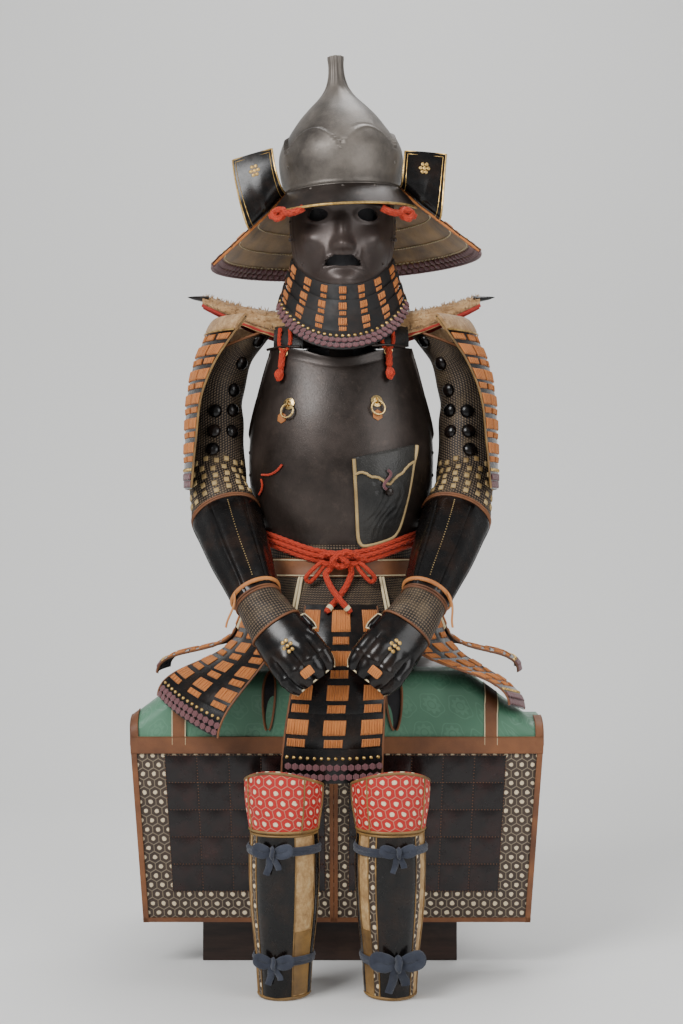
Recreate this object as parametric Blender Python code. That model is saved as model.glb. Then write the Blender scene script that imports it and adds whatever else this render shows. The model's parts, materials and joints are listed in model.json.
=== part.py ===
"""Samurai armour seated on its storage chest, with the inner stand that carries it.

Metres, +Z up, the front faces -Y. Every garment piece is a thin wall worked out from
a surface of two parameters: rows run along the piece and columns run across it.
"""
import math

import bpy
import numpy as np

SEAM = 0.0003          # gap between pieces that touch
LAY = 0.0006           # gap under a piece that lies on a rounder one
MID_X = 0.007          # middle plane of the armour
BODY_Y = 0.03          # middle of the trunk, front to back

CHEST_X, CHEST_HALF_W = -0.0117, 0.2107
CHEST_FRONT_Y, CHEST_REAR_Y, CHEST_TOP_Z = -0.072, 0.3576, 0.478
HEM_Z, HEM_LIFT = 0.690, 0.009
STUB = 0.003           # straight end of a tube at its seam
COLLAR_Z = 1.018
STRAP_TOP_Z, STRAP_THICK = 1.062, 0.005
STRAP_FLAT = (0.010, 0.050)
SKIRT_CELLS = 28
TASSET_CELLS = 4
CHIN_Z, BROW_Z = 1.120, 1.262
HELMET_BASE = (0.0095, 0.030, 1.288)
HELMET_ROLL = math.radians(3.0)
RING_R, RING_WIRE, EYE_R, EYE_WIRE = 0.0117, 0.0016, 0.0042, 0.0012

# height, half width, front depth, back depth of the trunk and its skirt
TRUNK = np.array([
    (0.545, 0.176, 0.205, 0.135), (0.600, 0.154, 0.170, 0.125), (0.638, 0.1390, 0.1390, 0.1150),
    (0.656, 0.1368, 0.1345, 0.1125), (0.695, 0.1365, 0.133, 0.112), (0.730, 0.145, 0.141, 0.118),
    (0.775, 0.154, 0.150, 0.125), (0.820, 0.1575, 0.155, 0.130), (0.870, 0.156, 0.153, 0.132),
    (0.920, 0.150, 0.145, 0.130), (0.960, 0.144, 0.133, 0.125), (1.000, 0.137, 0.118, 0.115),
    (1.045, 0.128, 0.100, 0.104)])
# height, angle reached by the front and back plates, which makes the armholes
ARMHOLE = np.array([(0.68, 89.93), (0.850, 89.93), (0.875, 86.0), (0.905, 77.0), (0.940, 69.0),
                    (0.980, 64.0), (1.020, 59.0), (1.05, 58.0)])
# x and y from the middle, z, half width, half thickness and edge lift of the left arm
SLEEVE = np.array([
    (-0.1690, 0.030, 1.036, 0.0679, 0.050, 0.0598), (-0.1950, 0.030, 0.995, 0.0460, 0.048, 0.026),
    (-0.2113, 0.030, 0.948, 0.0436, 0.047, 0.0), (-0.2125, 0.024, 0.890, 0.0445, 0.046, 0.0),
    (-0.2110, 0.004, 0.820, 0.0460, 0.050, 0.0), (-0.2050, -0.018, 0.775, 0.0510, 0.052, 0.0),
    (-0.1930, -0.043, 0.738, 0.0570, 0.050, 0.0)])
FOREARM = np.array([
    (-0.1930, -0.043, 0.738, 0.0570, 0.050, 0.0), (-0.1800, -0.078, 0.706, 0.0530, 0.047, 0.0),
    (-0.1640, -0.117, 0.668, 0.0480, 0.042, 0.0), (-0.1480, -0.152, 0.634, 0.0420, 0.036, 0.0),
    (-0.1330, -0.183, 0.602, 0.0370, 0.031, 0.0)])
CUFF = np.array([
    (-0.1330, -0.183, 0.602, 0.0370, 0.031, 0.0), (-0.1180, -0.202, 0.580, 0.0400, 0.029, 0.0),
    (-0.1020, -0.216, 0.558, 0.0430, 0.027, 0.0)])
HAND = np.array([
    (-0.1020, -0.216, 0.558, 0.0430, 0.027, 0.0), (-0.0830, -0.229, 0.534, 0.0460, 0.028, 0.0),
    (-0.0620, -0.240, 0.508, 0.0470, 0.027, 0.0), (-0.0470, -0.246, 0.489, 0.0440, 0.022, 0.0),
    (-0.0390, -0.248, 0.479, 0.0360, 0.015, 0.0)])
# height above the bowl's base and half width of the bowl and its finial
BOWL = np.array([
    (0.0, 0.0965), (0.022, 0.1015), (0.046, 0.1046), (0.068, 0.1035), (0.088, 0.0960), (0.112, 0.0810),
    (0.132, 0.0660), (0.150, 0.0490), (0.166, 0.0330), (0.180, 0.0225), (0.195, 0.0170),
    (0.214, 0.0142), (0.236, 0.0150)])
BOWL_STRETCH = 1.13     # depth of the bowl over its width
HELMET_SIDES = 16
# height, half width and front depth of the mask
MASK = np.array([(1.100, 0.050, 0.093), (1.120, 0.060, 0.101), (1.150, 0.076, 0.107), (1.190, 0.087, 0.107),
                 (1.225, 0.0910, 0.100), (1.270, 0.0905, 0.098)])
# height, half width and half depth of a shin guard; the knee cap starts at SHIN_TOP_Z
SHIN = np.array([(0.0, 0.038, 0.046), (0.06, 0.042, 0.050), (0.14, 0.050, 0.056), (0.22, 0.052, 0.057),
                 (0.255, 0.050, 0.056), (0.30, 0.056, 0.060), (0.352, 0.058, 0.060)])
SHIN_TOP_Z = 0.2545
SHINS = {"l": (-0.081, -0.287, -14.0), "r": (0.083, -0.287, 9.0)}
# tasset name, cell of its middle, hem centre, vector from hem centre to its right corner, crown
TASSETS = [
    ("tasset_front", 0, (-0.008, -0.212, 0.318), (0.080, 0.0, 0.0), 0.014),
    ("tasset_front_l", -4, (-0.241, -0.150, 0.412), (0.052, -0.042, -0.030), 0.010),
    ("tasset_front_r", 4, (0.292, -0.128, 0.425), (0.018, 0.062, -0.010), 0.008),
    ("tasset_side_l", -8, (-0.300, 0.070, 0.470), (-0.004, -0.072, 0.0), 0.008),
    ("tasset_side_r", 8, (0.312, 0.090, 0.470), (0.004, 0.070, 0.0), 0.008),
    ("tasset_back_l", -12, (-0.098, 0.330, 0.492), (-0.074, 0.0, 0.0), 0.004),
    ("tasset_back_r", 12, (0.104, 0.330, 0.492), (-0.074, 0.0, 0.0), 0.004)]


def clear_scene():
    """Remove every object of the open scene."""
    for obj in list(bpy.data.objects):
        bpy.data.objects.remove(obj, do_unlink=True)


def material(name, colour, roughness, metallic=0.0):
    """Return a Principled material, made once for each name."""
    found = bpy.data.materials.get(name)
    if found:
        return found
    made = bpy.data.materials.new(name)
    made.use_nodes = True
    shader = made.node_tree.nodes["Principled BSDF"]
    shader.inputs["Base Color"].default_value = (*colour, 1.0)
    shader.inputs["Roughness"].default_value = roughness
    shader.inputs["Metallic"].default_value = metallic
    return made


def iron():
    return material("iron", (0.075, 0.058, 0.050), 0.45, 0.6)


def lacquer():
    return material("lacquer", (0.012, 0.010, 0.010), 0.22)


def laced():
    return material("laced_lames", (0.10, 0.045, 0.02), 0.5)


def hide():
    return material("hide", (0.30, 0.18, 0.08), 0.8)


def mail():
    return material("mail", (0.055, 0.038, 0.026), 0.7, 0.3)


def red_cord():
    return material("red_cord", (0.60, 0.07, 0.03), 0.7)


def brass():
    return material("brass", (0.60, 0.42, 0.16), 0.3, 1.0)


def add_mesh(name, verts, faces, mat):
    """Make an object from vertices and faces, turned so that the faces point out."""
    verts = np.asarray(verts, dtype=float)
    volume = 0.0
    for face in faces:
        for k in range(1, len(face) - 1):
            volume += np.dot(verts[face[0]], np.cross(verts[face[k]], verts[face[k + 1]]))
    if volume < 0.0:
        faces = [tuple(reversed(face)) for face in faces]
    mesh = bpy.data.meshes.new(name)
    mesh.from_pydata([tuple(v) for v in verts], [], [tuple(int(i) for i in f) for f in faces])
    mesh.materials.append(mat)
    mesh.shade_smooth()
    mesh.set_sharp_from_angle(angle=math.radians(35))
    obj = bpy.data.objects.new(name, mesh)
    bpy.context.scene.collection.objects.link(obj)
    return obj


def unit(vectors):
    """Vectors scaled to length one."""
    length = np.linalg.norm(vectors, axis=-1, keepdims=True)
    return vectors / np.maximum(length, 1e-12)


def smooth(table, column, at):
    """Catmull-Rom curve through one column of a table, against its first column."""
    x, y = table[:, 0], table[:, column]
    slope = np.gradient(y, x)
    at = np.clip(at, x[0], x[-1])
    k = np.clip(np.searchsorted(x, at) - 1, 0, len(x) - 2)
    h = x[k + 1] - x[k]
    t = (at - x[k]) / h
    return ((2 * t**3 - 3 * t**2 + 1) * y[k] + (t**3 - 2 * t**2 + t) * h * slope[k]
            + (3 * t**2 - 2 * t**3) * y[k + 1] + (t**3 - t**2) * h * slope[k + 1])


def normals(points, away, closed=False):
    """Unit normals of a grid, on the side that looks away from the point or points given."""
    if closed:
        across = np.roll(points, -1, axis=1) - np.roll(points, 1, axis=1)
    else:
        across = np.gradient(points, axis=1)
    along = np.gradient(points, axis=0)
    n = unit(np.cross(across, along))
    side = np.sum(n * (points - np.asarray(away)), axis=-1).mean()
    return n if side > 0 else -n


def wall(name, mat, points, thick, away, closed=False, keep=None, relief=None, flat_back=False):
    """Closed wall under a grid: its outer points, raised by relief, and an inner copy, thick below."""
    n = normals(points, away, closed)
    outer = points if relief is None else points + n * relief[..., None]
    inner = points - n * thick
    rows, cols = points.shape[:2]
    cells = cols if closed else cols - 1
    if keep is None:
        keep = np.ones((rows - 1, cells), dtype=bool)
    verts = np.concatenate([outer.reshape(-1, 3), inner.reshape(-1, 3)])
    shift = rows * cols
    faces, edges = [], set()
    for i in range(rows - 1):
        for j in range(cells):
            if keep[i, j]:
                k = (j + 1) % cols
                quad = (i * cols + j, i * cols + k, (i + 1) * cols + k, (i + 1) * cols + j)
                faces.append(quad)
                if not flat_back:
                    faces.append(tuple(shift + q for q in reversed(quad)))
                edges.update((quad[m], quad[(m + 1) % 4]) for m in range(4))
    for a, b in sorted(edges):
        if (b, a) not in edges:
            faces.append((b, a, a + shift, b + shift))
    if flat_back:
        rim = [j for j in range(cols)] + [i * cols + cols - 1 for i in range(1, rows)]
        rim += [(rows - 1) * cols + j for j in range(cols - 2, -1, -1)] + [i * cols for i in range(rows - 2, 0, -1)]
        faces.append(tuple(shift + q for q in reversed(rim)))
    used = sorted({q for face in faces for q in face})
    index = {q: m for m, q in enumerate(used)}
    faces = [tuple(index[q] for q in face) for face in faces]
    return add_mesh(name, verts[used], faces, mat)


def solid(name, mat, rings):
    """Closed solid through rings of points, with a fan at each end."""
    rings = np.asarray(rings)
    count, m = rings.shape[:2]
    verts = np.concatenate([rings.reshape(-1, 3), rings[0].mean(axis=0)[None], rings[-1].mean(axis=0)[None]])
    first, last = count * m, count * m + 1
    faces = []
    for j in range(m):
        k = (j + 1) % m
        faces.append((first, k, j))
        faces.append((last, (count - 1) * m + j, (count - 1) * m + k))
        for i in range(count - 1):
            faces.append((i * m + j, i * m + k, (i + 1) * m + k, (i + 1) * m + j))
    return add_mesh(name, verts, faces, mat)


def box(name, mat, low, high):
    """Plain box between two corners."""
    (x0, y0, z0), (x1, y1, z1) = low, high
    ring = [(x0, y0), (x1, y0), (x1, y1), (x0, y1)]
    return solid(name, mat, [[(x, y, z0) for x, y in ring], [(x, y, z1) for x, y in ring]])


def join(base, others):
    """Unite other solids with the base by Boolean modifiers; the others are guides."""
    for other in others:
        other.hide_render = True
        other.display_type = "WIRE"
        mod = base.modifiers.new("join", "BOOLEAN")
        mod.operation = "UNION"
        mod.object = other
    return base


def tube_rings(path, radii, sides=8, squash=1.0):
    """Rings of a tube along a path; squash flattens it across the second axis."""
    path = np.asarray(path, dtype=float)
    tangent = unit(np.gradient(path, axis=0))
    side = unit(np.cross(tangent, (0.0, 1.0, 0.0)) + 1e-6)
    up = np.cross(side, tangent)
    angle = np.arange(sides) * 2 * math.pi / sides
    radii = np.broadcast_to(radii, len(path))
    return (path[:, None] + radii[:, None, None] * (np.cos(angle)[None, :, None] * side[:, None]
            + squash * np.sin(angle)[None, :, None] * up[:, None]))


def curve_through(route, count):
    """Smooth curve through a few route points, read at evenly spaced parameters."""
    route = np.asarray(route, dtype=float)
    t = np.arange(len(route), dtype=float)
    at = np.linspace(0, len(route) - 1, count)
    columns = [smooth(np.column_stack([t, route[:, k]]), 1, at) for k in range(3)]
    return np.column_stack(columns)


def cord(name, mat, route, radius, count):
    """Free cord as a poly curve with filled caps, through a smooth curve of the route."""
    path = curve_through(route, count)
    data = bpy.data.curves.new(name, "CURVE")
    data.dimensions = "3D"
    data.bevel_depth = radius
    data.bevel_resolution = 2
    data.use_fill_caps = True
    spline = data.splines.new("POLY")
    spline.points.add(len(path) - 1)
    for point, place in zip(spline.points, path):
        point.co = (*place, 1.0)
    data.materials.append(mat)
    obj = bpy.data.objects.new(name, data)
    bpy.context.scene.collection.objects.link(obj)


def trunk(angle, z, out=0.0):
    """Point of the trunk at an angle from the front, at a height, moved out along its normal."""
    angle, z = np.broadcast_arrays(np.asarray(angle, float), np.asarray(z, float))

    def raw(a, h):
        front = np.where(np.cos(a) > 0, smooth(TRUNK, 2, h), smooth(TRUNK, 3, h))
        x = MID_X + smooth(TRUNK, 1, h) * np.sign(np.sin(a)) * np.abs(np.sin(a))**0.92
        y = BODY_Y - front * np.sign(np.cos(a)) * np.abs(np.cos(a))**0.92
        return np.stack([x, y, h], axis=-1)

    e = 1e-3
    n = unit(np.cross(raw(angle + e, z) - raw(angle - e, z), raw(angle, z + e) - raw(angle, z - e)))
    return raw(angle, z) + n * np.asarray(out)[..., None]


def trunk_normal(angle, z):
    """Outward normal of the trunk."""
    return unit(trunk(angle, z, 0.01) - trunk(angle, z, 0.0))


def hem(angle):
    """Height of the cuirass's lower edge, lowest at the front."""
    return HEM_Z + HEM_LIFT * (1 - np.cos(angle))


def steps(rows_per_lame, lames, depth):
    """Outward step of each lame: proud at its upper edge, level at its lower edge."""
    return np.tile(np.linspace(depth, 0.0, rows_per_lame), lames)


def spaced(lames, start=0.0, end=1.0, overlap=0.03):
    """Two rows for each lame, the lower lame starting just below the one above."""
    edges = np.linspace(start, end, lames + 1)
    gap = (end - start) / lames * overlap
    rows = []
    for k in range(lames):
        rows += [edges[k] + (gap if k else 0.0), edges[k + 1]]
    return np.array(rows)


def mirror(points):
    """The same points on the other side of the armour's middle plane."""
    out = np.array(points, dtype=float)
    out[..., 0] = 2 * MID_X - out[..., 0]
    return out


def plate_rows(v, u, half_angle_sign):
    """Angles and heights of a trunk plate; u runs between its side edges, v from hem to neck."""
    uu, vv = np.meshgrid(u, v)
    a0 = uu * math.radians(89.93) + (0.0 if half_angle_sign > 0 else math.pi)
    low = hem(a0)
    top = COLLAR_Z - 0.020 * np.exp(-(uu / 0.42)**2) if half_angle_sign > 0 else COLLAR_Z + 0.012 + 0 * uu
    z = low + (top - low) * vv
    reach = np.radians(np.interp(z, ARMHOLE[:, 0], ARMHOLE[:, 1]))
    return uu * reach + (0.0 if half_angle_sign > 0 else math.pi), z


def cuirass():
    """Front and back plates, rolled at neck and armholes, and the straps that join them."""
    u = np.array([-1, -0.965, -0.93, -0.82, -0.71, -0.62, -0.53, -0.44, -0.29, -0.14])
    u = np.concatenate([u, [0.0], -u[::-1]])
    v = np.array([0, 0.05, 0.12, 0.26, 0.40, 0.52, 0.65, 0.78, 0.90, 0.975, 1.0])
    edges = {}
    for name, sign in (("cuirass_front", 1), ("cuirass_back", -1)):
        v = v if sign > 0 else v[[0, 2, 4, 5, 7, 9, 10]]
        roll = np.zeros((len(v), len(u)))
        roll[v > 0.52, 0] = roll[v > 0.52, -1] = 0.0035
        roll[-1] = 0.0035
        a, z = plate_rows(v, u, sign)
        points = trunk(a, z)
        wall(name, iron() if sign > 0 else lacquer(), points, 0.0025, (MID_X, BODY_Y, 0.85), relief=roll)
        edges[sign] = points[-1]
    pick = np.where((u > 0.43) & (u < 0.94))[0]
    for side, flip in (("r", 1), ("l", -1)):
        front = edges[1][pick if flip > 0 else -1 - pick] + (0, 0, SEAM)
        back = edges[-1][-1 - pick if flip > 0 else pick] + (0, 0, SEAM)
        rows = [front]
        for theta in np.radians([6, 25, 47, 69, 90]):
            y = front[:, 1] + (STRAP_FLAT[0] - front[:, 1]) * (1 - math.cos(theta))
            y = front[:, 1] if theta < 0.2 else y
            rows.append(np.column_stack([front[:, 0], y, front[:, 2] + (STRAP_TOP_Z - front[:, 2]) * math.sin(theta)]))
        for theta in np.radians([90, 69, 47, 25, 6, 0]):
            y = back[:, 1] + (STRAP_FLAT[1] - back[:, 1]) * (1 - math.cos(theta))
            y = back[:, 1] if theta < 0.2 else y
            x = front[:, 0] + (back[:, 0] - front[:, 0]) * (math.cos(theta) if theta > 0.2 else 1.0)
            rows.append(np.column_stack([x, y, back[:, 2] + (STRAP_TOP_Z - back[:, 2]) * math.sin(theta)]))
        wall("shoulder_strap_" + side, lacquer(), np.array(rows), STRAP_THICK, (MID_X + 0.08 * flip, BODY_Y, 0.95))


def stand():
    """Foot, post, shoulder bar and head block, united to one solid."""
    wood = material("stand_wood", (0.05, 0.035, 0.028), 0.5)
    foot_z = CHEST_TOP_Z + SEAM
    bar_top = STRAP_TOP_Z - STRAP_THICK - SEAM
    body = box("stand", wood, (MID_X - 0.09, 0.0095, foot_z), (MID_X + 0.09, 0.19, foot_z + 0.014))
    post = box("stand_post", wood, (MID_X - 0.02, 0.0105, foot_z + 0.004), (MID_X + 0.02, 0.0495, 1.215))
    bar = box("stand_bar", wood, (MID_X - 0.108, 0.0135, bar_top - 0.03), (MID_X + 0.108, 0.0465, bar_top))
    angle = np.arange(HELMET_SIDES) * math.tau / HELMET_SIDES
    low, high = (smooth(MASK, 1, np.array([1.207, 1.250])) - 0.0025 - SEAM) / 0.975
    rings = []
    for z, half, depth in ((1.195, 0.050, 0.035), (1.207, low, 0.055), (1.250, high, 0.062),
                           (1.330, 0.080, 0.070)):
        rings.append(np.column_stack([HELMET_BASE[0] + half * np.sin(angle), 0.034 - depth * np.cos(angle),
                                      np.full(HELMET_SIDES, z)]))
    rings.append(helmet_ring(BOWL_INNER[3], HELMET_SIDES, -0.0005))
    head = solid("stand_head", wood, rings)
    join(body, [post, bar, head])


def helmet_ring(row, count, out=0.0):
    """Ring of the helmet at a (height, half width) row, rolled with the helmet."""
    angle = np.arange(count) * math.tau / count
    return helmet_place(angle, row[0], row[1] + out)


def helmet_place(angle, height, half, deep=BOWL_STRETCH):
    """Points of the helmet at angles from its front, rolled about the bowl's base."""
    x = half * np.sin(angle)
    y = -half * deep * np.cos(angle) + 0 * x
    z = height + 0 * x
    c, s = math.cos(HELMET_ROLL), math.sin(HELMET_ROLL)
    return np.stack([x * c - z * s, y, x * s + z * c], axis=-1) + np.array(HELMET_BASE)


BOWL_INNER = [(0.0, 0.0940), (0.045, 0.1020), (0.080, 0.0955), (0.105, 0.0815), (0.125, 0.0640), (0.142, 0.0420)]


def helmet():
    """Bowl with its tube finial, brim, turn-backs and neck guard."""
    rings = [helmet_ring(row, HELMET_SIDES) for row in reversed(BOWL_INNER)]
    rings += [helmet_ring(row, HELMET_SIDES) for row in BOWL]
    solid("helmet_bowl", iron(), rings)

    a = np.radians(np.linspace(-72, 72, 17))
    rows = []
    for t in (0.0, 0.3, 0.65, 1.0):
        spread = 0.036 * t * (0.8 + 0.2 * np.cos(a))
        drop = 0.001 - 0.036 * t**1.3 - 0.004 * t * np.cos(a)
        rows.append(helmet_place(a, drop, 0.0981 + LAY + spread))
    wall("helmet_brim", iron(), np.array(rows), 0.002, (HELMET_BASE[0], 0.03, 1.10))

    a = np.radians(np.linspace(77, 283, 20))
    s = spaced(4)
    height = 0.003 - 0.118 * s**0.93
    half = 0.0984 + LAY + 0.1336 * s
    deep = 1.13 - 0.13 * s
    points = helmet_place(a[None], height[:, None], half[:, None], deep[:, None])
    relief = np.repeat(steps(2, 4, 0.002)[:, None], len(a), axis=1)
    wall("neck_guard", laced(), points, 0.0022, (HELMET_BASE[0], 0.03, 1.0), relief=relief)

    for side, column, inner, outer in (("r", 0, (0.115, -0.010, 1.356), (0.186, 0.000, 1.352)),
                                       ("l", -1, (-0.110, -0.010, 1.360), (-0.178, 0.000, 1.342))):
        start = points[:4, column] + np.array((0.0, -0.0012, 0.0015))
        mix = np.linspace(0, 1, 4)[:, None]
        end = np.array(inner) * (1 - mix) + np.array(outer) * mix
        out = np.sign(end[:, :1] - HELMET_BASE[0])
        bend1 = start + np.array((0, -0.024, -0.004)) + out * (0.004, 0, 0)
        bend2 = end + np.array((0, -0.022, -0.052)) + out * (-0.006, 0, 0)
        rows = [start * (1 - t)**3 + 3 * bend1 * t * (1 - t)**2 + 3 * bend2 * t * t * (1 - t) + end * t**3
                for t in np.linspace(0, 1, 8)]
        wall("turnback_" + side, lacquer(), np.array(rows), 0.0022, (HELMET_BASE[0], 0.4, 1.3))


def mask_points(a, v):
    """Face surface: a rounded face with brow, nose, cheeks and chin as soft swellings."""
    aa, vv = np.meshgrid(a, v)
    low = CHIN_Z + 0.060 * (1 - np.cos(aa))**1.2
    z = low + (BROW_Z - 0.012 * (1 - np.cos(aa)) - low) * vv
    half, depth = smooth(MASK, 1, z), smooth(MASK, 2, z)

    def bump(high, a0, z0, wide, tall):
        return high * np.exp(-((aa - a0) / wide)**2 - ((z - z0) / tall)**2)

    swell = bump(0.020, 0, 1.186, 0.16, 0.014) + bump(0.010, 0, 1.215, 0.12, 0.022)
    swell += bump(0.009, 0, 1.128, 0.40, 0.014) + bump(0.006, 0, 1.258, 0.9, 0.010)
    for sign in (-1, 1):
        swell += bump(0.009, 0.62 * sign, 1.200, 0.22, 0.018)
    swell -= bump(0.004, 0, 1.152, 0.45, 0.010)
    x = HELMET_BASE[0] + (half + swell) * np.sin(aa)
    y = BODY_Y - (depth + swell) * np.cos(aa)
    return np.stack([x, y, z], axis=-1)


MASK_ANGLES = np.radians([-88, -72, -56, -42, -28, -21, -15, -9, -4, 0,
                           4, 9, 15, 21, 28, 42, 56, 72, 88])
MASK_ROWS = np.array([0, 0.10, 0.22, 0.325, 0.41, 0.50, 0.60, 0.70, 0.785, 0.92, 1.0])


def mask():
    """Iron half mask with eye holes and a mouth opening, of a plain general face."""
    points = mask_points(MASK_ANGLES, MASK_ROWS)
    mid_a = np.degrees((MASK_ANGLES[1:] + MASK_ANGLES[:-1]) / 2)
    mid_z = (points[1:, 9, 2] + points[:-1, 9, 2]) / 2
    aa, zz = np.meshgrid(np.abs(mid_a), mid_z)
    eyes = (aa > 9) & (aa < 28) & (zz > 1.231) & (zz < 1.247)
    mouth = (aa < 21) & (zz > 1.153) & (zz < 1.176)
    wall("mask", iron(), points, 0.0024, (HELMET_BASE[0], BODY_Y, 1.19), keep=~(eyes | mouth))


def throat_guard():
    """Laced lames that hang from the mask's jaw, each lower one further out."""
    top = mask_points(MASK_ANGLES, MASK_ROWS)[0] - (0, 0, SEAM)
    a = MASK_ANGLES * 0.93
    bottom = np.column_stack([HELMET_BASE[0] + 0.112 * np.sin(a), BODY_Y - 0.160 * np.cos(a)**0.9 - 0.004,
                              1.009 + 0.097 * (1 - np.cos(a))])
    s = spaced(4)[:, None, None]
    points = top[None] * (1 - s) + bottom[None] * s
    points[..., 1] += 0.014 * np.sin(math.pi * s[..., 0])
    relief = np.repeat(steps(2, 4, 0.002)[:, None], len(a), axis=1)
    relief[0] = 0.0
    wall("throat_guard", laced(), points, 0.0024, (HELMET_BASE[0], 0.05, 1.10), relief=relief)


def arm_ring(table, row, angles, gap=0.0):
    """Ring of the arm at a table row: across its path, with the first axis level."""
    centre = table[:, :3]
    tangent = unit(np.gradient(ARM_PATH, axis=0))[row]
    local = np.where(np.all(np.isclose(ARM_PATH[row], centre), axis=1))[0][0]
    half, thick, lift = table[local, 3:]
    side = unit(np.cross(tangent, (0, 1, 0)))
    up = -np.cross(side, tangent)
    ring = (centre[local] + gap * tangent + half * np.cos(angles)[:, None] * side
            + thick * np.sin(angles)[:, None] * up + lift * np.cos(angles)[:, None] * (0, 0, 1))
    return ring + (MID_X, 0, 0)


ARM_PATH = np.concatenate([SLEEVE[:, :3], FOREARM[1:, :3], CUFF[1:, :3], HAND[1:, :3]])


def arm(side):
    """Sleeve, forearm guard, mail cuff, hand guard and thumb guard of one arm."""
    place = (lambda p: p) if side == "l" else mirror
    full = np.arange(12) * math.tau / 12
    back = np.radians(np.linspace(-14, 194, 10))
    start = 0
    for name, table, mat, angles, thick in (
            ("sleeve_", SLEEVE, mail(), full, 0.002), ("forearm_", FOREARM, lacquer(), full, 0.0025),
            ("cuff_", CUFF, mail(), full, 0.002), ("hand_guard_", HAND, lacquer(), back, 0.0022)):
        rows = range(start, start + len(table))
        rings = [arm_ring(table, row, angles) for row in rows[1:-1]]
        for gap in (STUB + SEAM, SEAM) if start else (0.0,):
            rings.insert(0, arm_ring(table, start, angles, gap))
        for gap in (-STUB, 0.0):
            rings.append(arm_ring(table, rows[-1], angles, gap))
        points = place(np.array(rings))
        axis = points.mean(axis=1, keepdims=True)
        wall(name + side, mat, points, thick, axis, closed=angles is full)
        start += len(table) - 1
    first = len(SLEEVE) + len(FOREARM) + len(CUFF) - 3
    hand = place(np.array([arm_ring(HAND, first, back, SEAM + STUB), arm_ring(HAND, first + 1, back, -0.012),
                           arm_ring(HAND, first + 1, back)]))
    edge = hand[:, 0]
    inward = (1.0 if side == "l" else -1.0)
    rows = []
    for t in (0.0, 0.35, 0.7, 1.0):
        move = np.array((inward * 0.019 * t, -0.008 * math.sin(math.pi * t) - 0.002 * t, 0.010 * t))
        shrink = 1 - 0.35 * t
        centre = edge.mean(axis=0)
        rows.append(centre + (edge - centre) * shrink + move + (inward * 0.0005, 0, 0.0007))
    wall("thumb_guard_" + side, lacquer(), np.array(rows), 0.0022, (edge.mean(axis=0) + (0, 0.3, -0.1)))


def shoulder(side):
    """Laced shoulder guard that hangs outside the sleeve, and the hide pad over both."""
    place = (lambda p: p) if side == "l" else mirror
    z = 1.066 - 0.284 * spaced(7, overlap=0.04)
    line = np.array([(0.780, 0.2655, 0.020), (0.860, 0.2640, 0.026), (0.948, 0.2590, 0.034), (1.000, 0.2475, 0.046),
                     (1.040, 0.2300, 0.056), (1.070, 0.2120, 0.060)])
    across = np.linspace(-1, 1, 7)
    out = smooth(line, 1, z)[:, None] - smooth(line, 2, z)[:, None] * np.abs(across)[None]**2.2
    points = np.stack([MID_X - out, BODY_Y + 0.128 * across[None] + 0 * out, z[:, None] + 0 * out], axis=-1)
    relief = np.repeat(steps(2, 7, 0.002)[:, None], len(across), axis=1)
    wall("shoulder_guard_" + side, laced(), place(points), 0.0026, place(np.array((MID_X, BODY_Y, 0.92))),
         relief=relief)

    s = np.linspace(0, 1, 6)
    t = np.linspace(-1, 1, 7)
    width = 0.048 - 0.030 * s**1.5
    x = MID_X - 0.094 - 0.142 * s
    under = STRAP_TOP_Z + SEAM + 0.042 * s**1.4
    top = np.stack([x[:, None] + 0 * t, BODY_Y + width[:, None] * t - 0.012 * s[:, None],
                    under[:, None] + 0.008 - 0.002 * s[:, None] + 0 * t], axis=-1)
    wall("shoulder_pad_" + side, hide(), place(top), 0.0079, place(np.array((MID_X - 0.16, BODY_Y, 0.5))))


def skirt():
    """Leather waist band with seven hanging mail panels, one above each tasset."""
    angle = (np.arange(SKIRT_CELLS) + 0.5) * math.tau / SKIRT_CELLS
    rows = [np.column_stack([angle * 0, hem(angle) - SEAM])[:, 1]]
    rows += [np.full(SKIRT_CELLS, z) for z in (0.652, 0.636, 0.590, 0.545)]
    z = np.array(rows)
    keep = np.ones((4, SKIRT_CELLS), dtype=bool)
    gap_cells = [(k * TASSET_CELLS + TASSET_CELLS // 2 - 1) % SKIRT_CELLS for k in range(7)]
    keep[2:, gap_cells] = False
    wall("waist_skirt", mail(), trunk(angle[None], z), 0.002, (MID_X, BODY_Y, 0.62), closed=True, keep=keep)


def tassets():
    """Seven laced tassets; each starts on its mail panel and hangs to its own hem."""
    for name, cell, hem_centre, corner, crown in TASSETS:
        a = (cell + np.array([-1.5, -0.5, 0.5, 1.5])) * math.tau / SKIRT_CELLS
        u = np.array([-1, -1 / 3, 0.0, 1 / 3, 1])
        edge = np.linspace(-1, 1, 4)
        top, lip = [np.column_stack([np.interp(u, edge, row[:, k]) for k in range(3)])
                    for row in (trunk(a, 0.590, 0.0028 + LAY), trunk(a, 0.545, 0.0028 + LAY))]
        end = np.array(hem_centre) + u[:, None] * np.array(corner)
        drop = unit(lip - top)
        reach = np.linalg.norm(end - lip, axis=1).mean()
        mid = lip + drop * reach * 0.35
        late = end + (0, 0, reach * 0.30) if "back" not in name else end + (0, -0.05, 0.0)
        out = unit(np.cross(end[-1] - end[0], end.mean(axis=0) - lip.mean(axis=0)))
        if np.dot(out, end.mean(axis=0) - np.array((MID_X, BODY_Y, 0.30))) < 0:
            out = -out
        rows = [top]
        rises = [0.0]
        for t, rise in zip(spaced(5), steps(2, 5, 0.002)):
            row = lip * (1 - t)**3 + 3 * mid * t * (1 - t)**2 + 3 * late * t * t * (1 - t) + end * t**3
            rows.append(row + out * crown * t * (1 - u**2)[:, None])
            rises.append(rise if t > 0 else 0.0)
        points = np.array(rows)
        relief = np.repeat(np.array(rises)[:, None], len(u), axis=1)
        wall(name, laced(), points, 0.0026, (MID_X, BODY_Y, 0.30), relief=relief)


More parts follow.
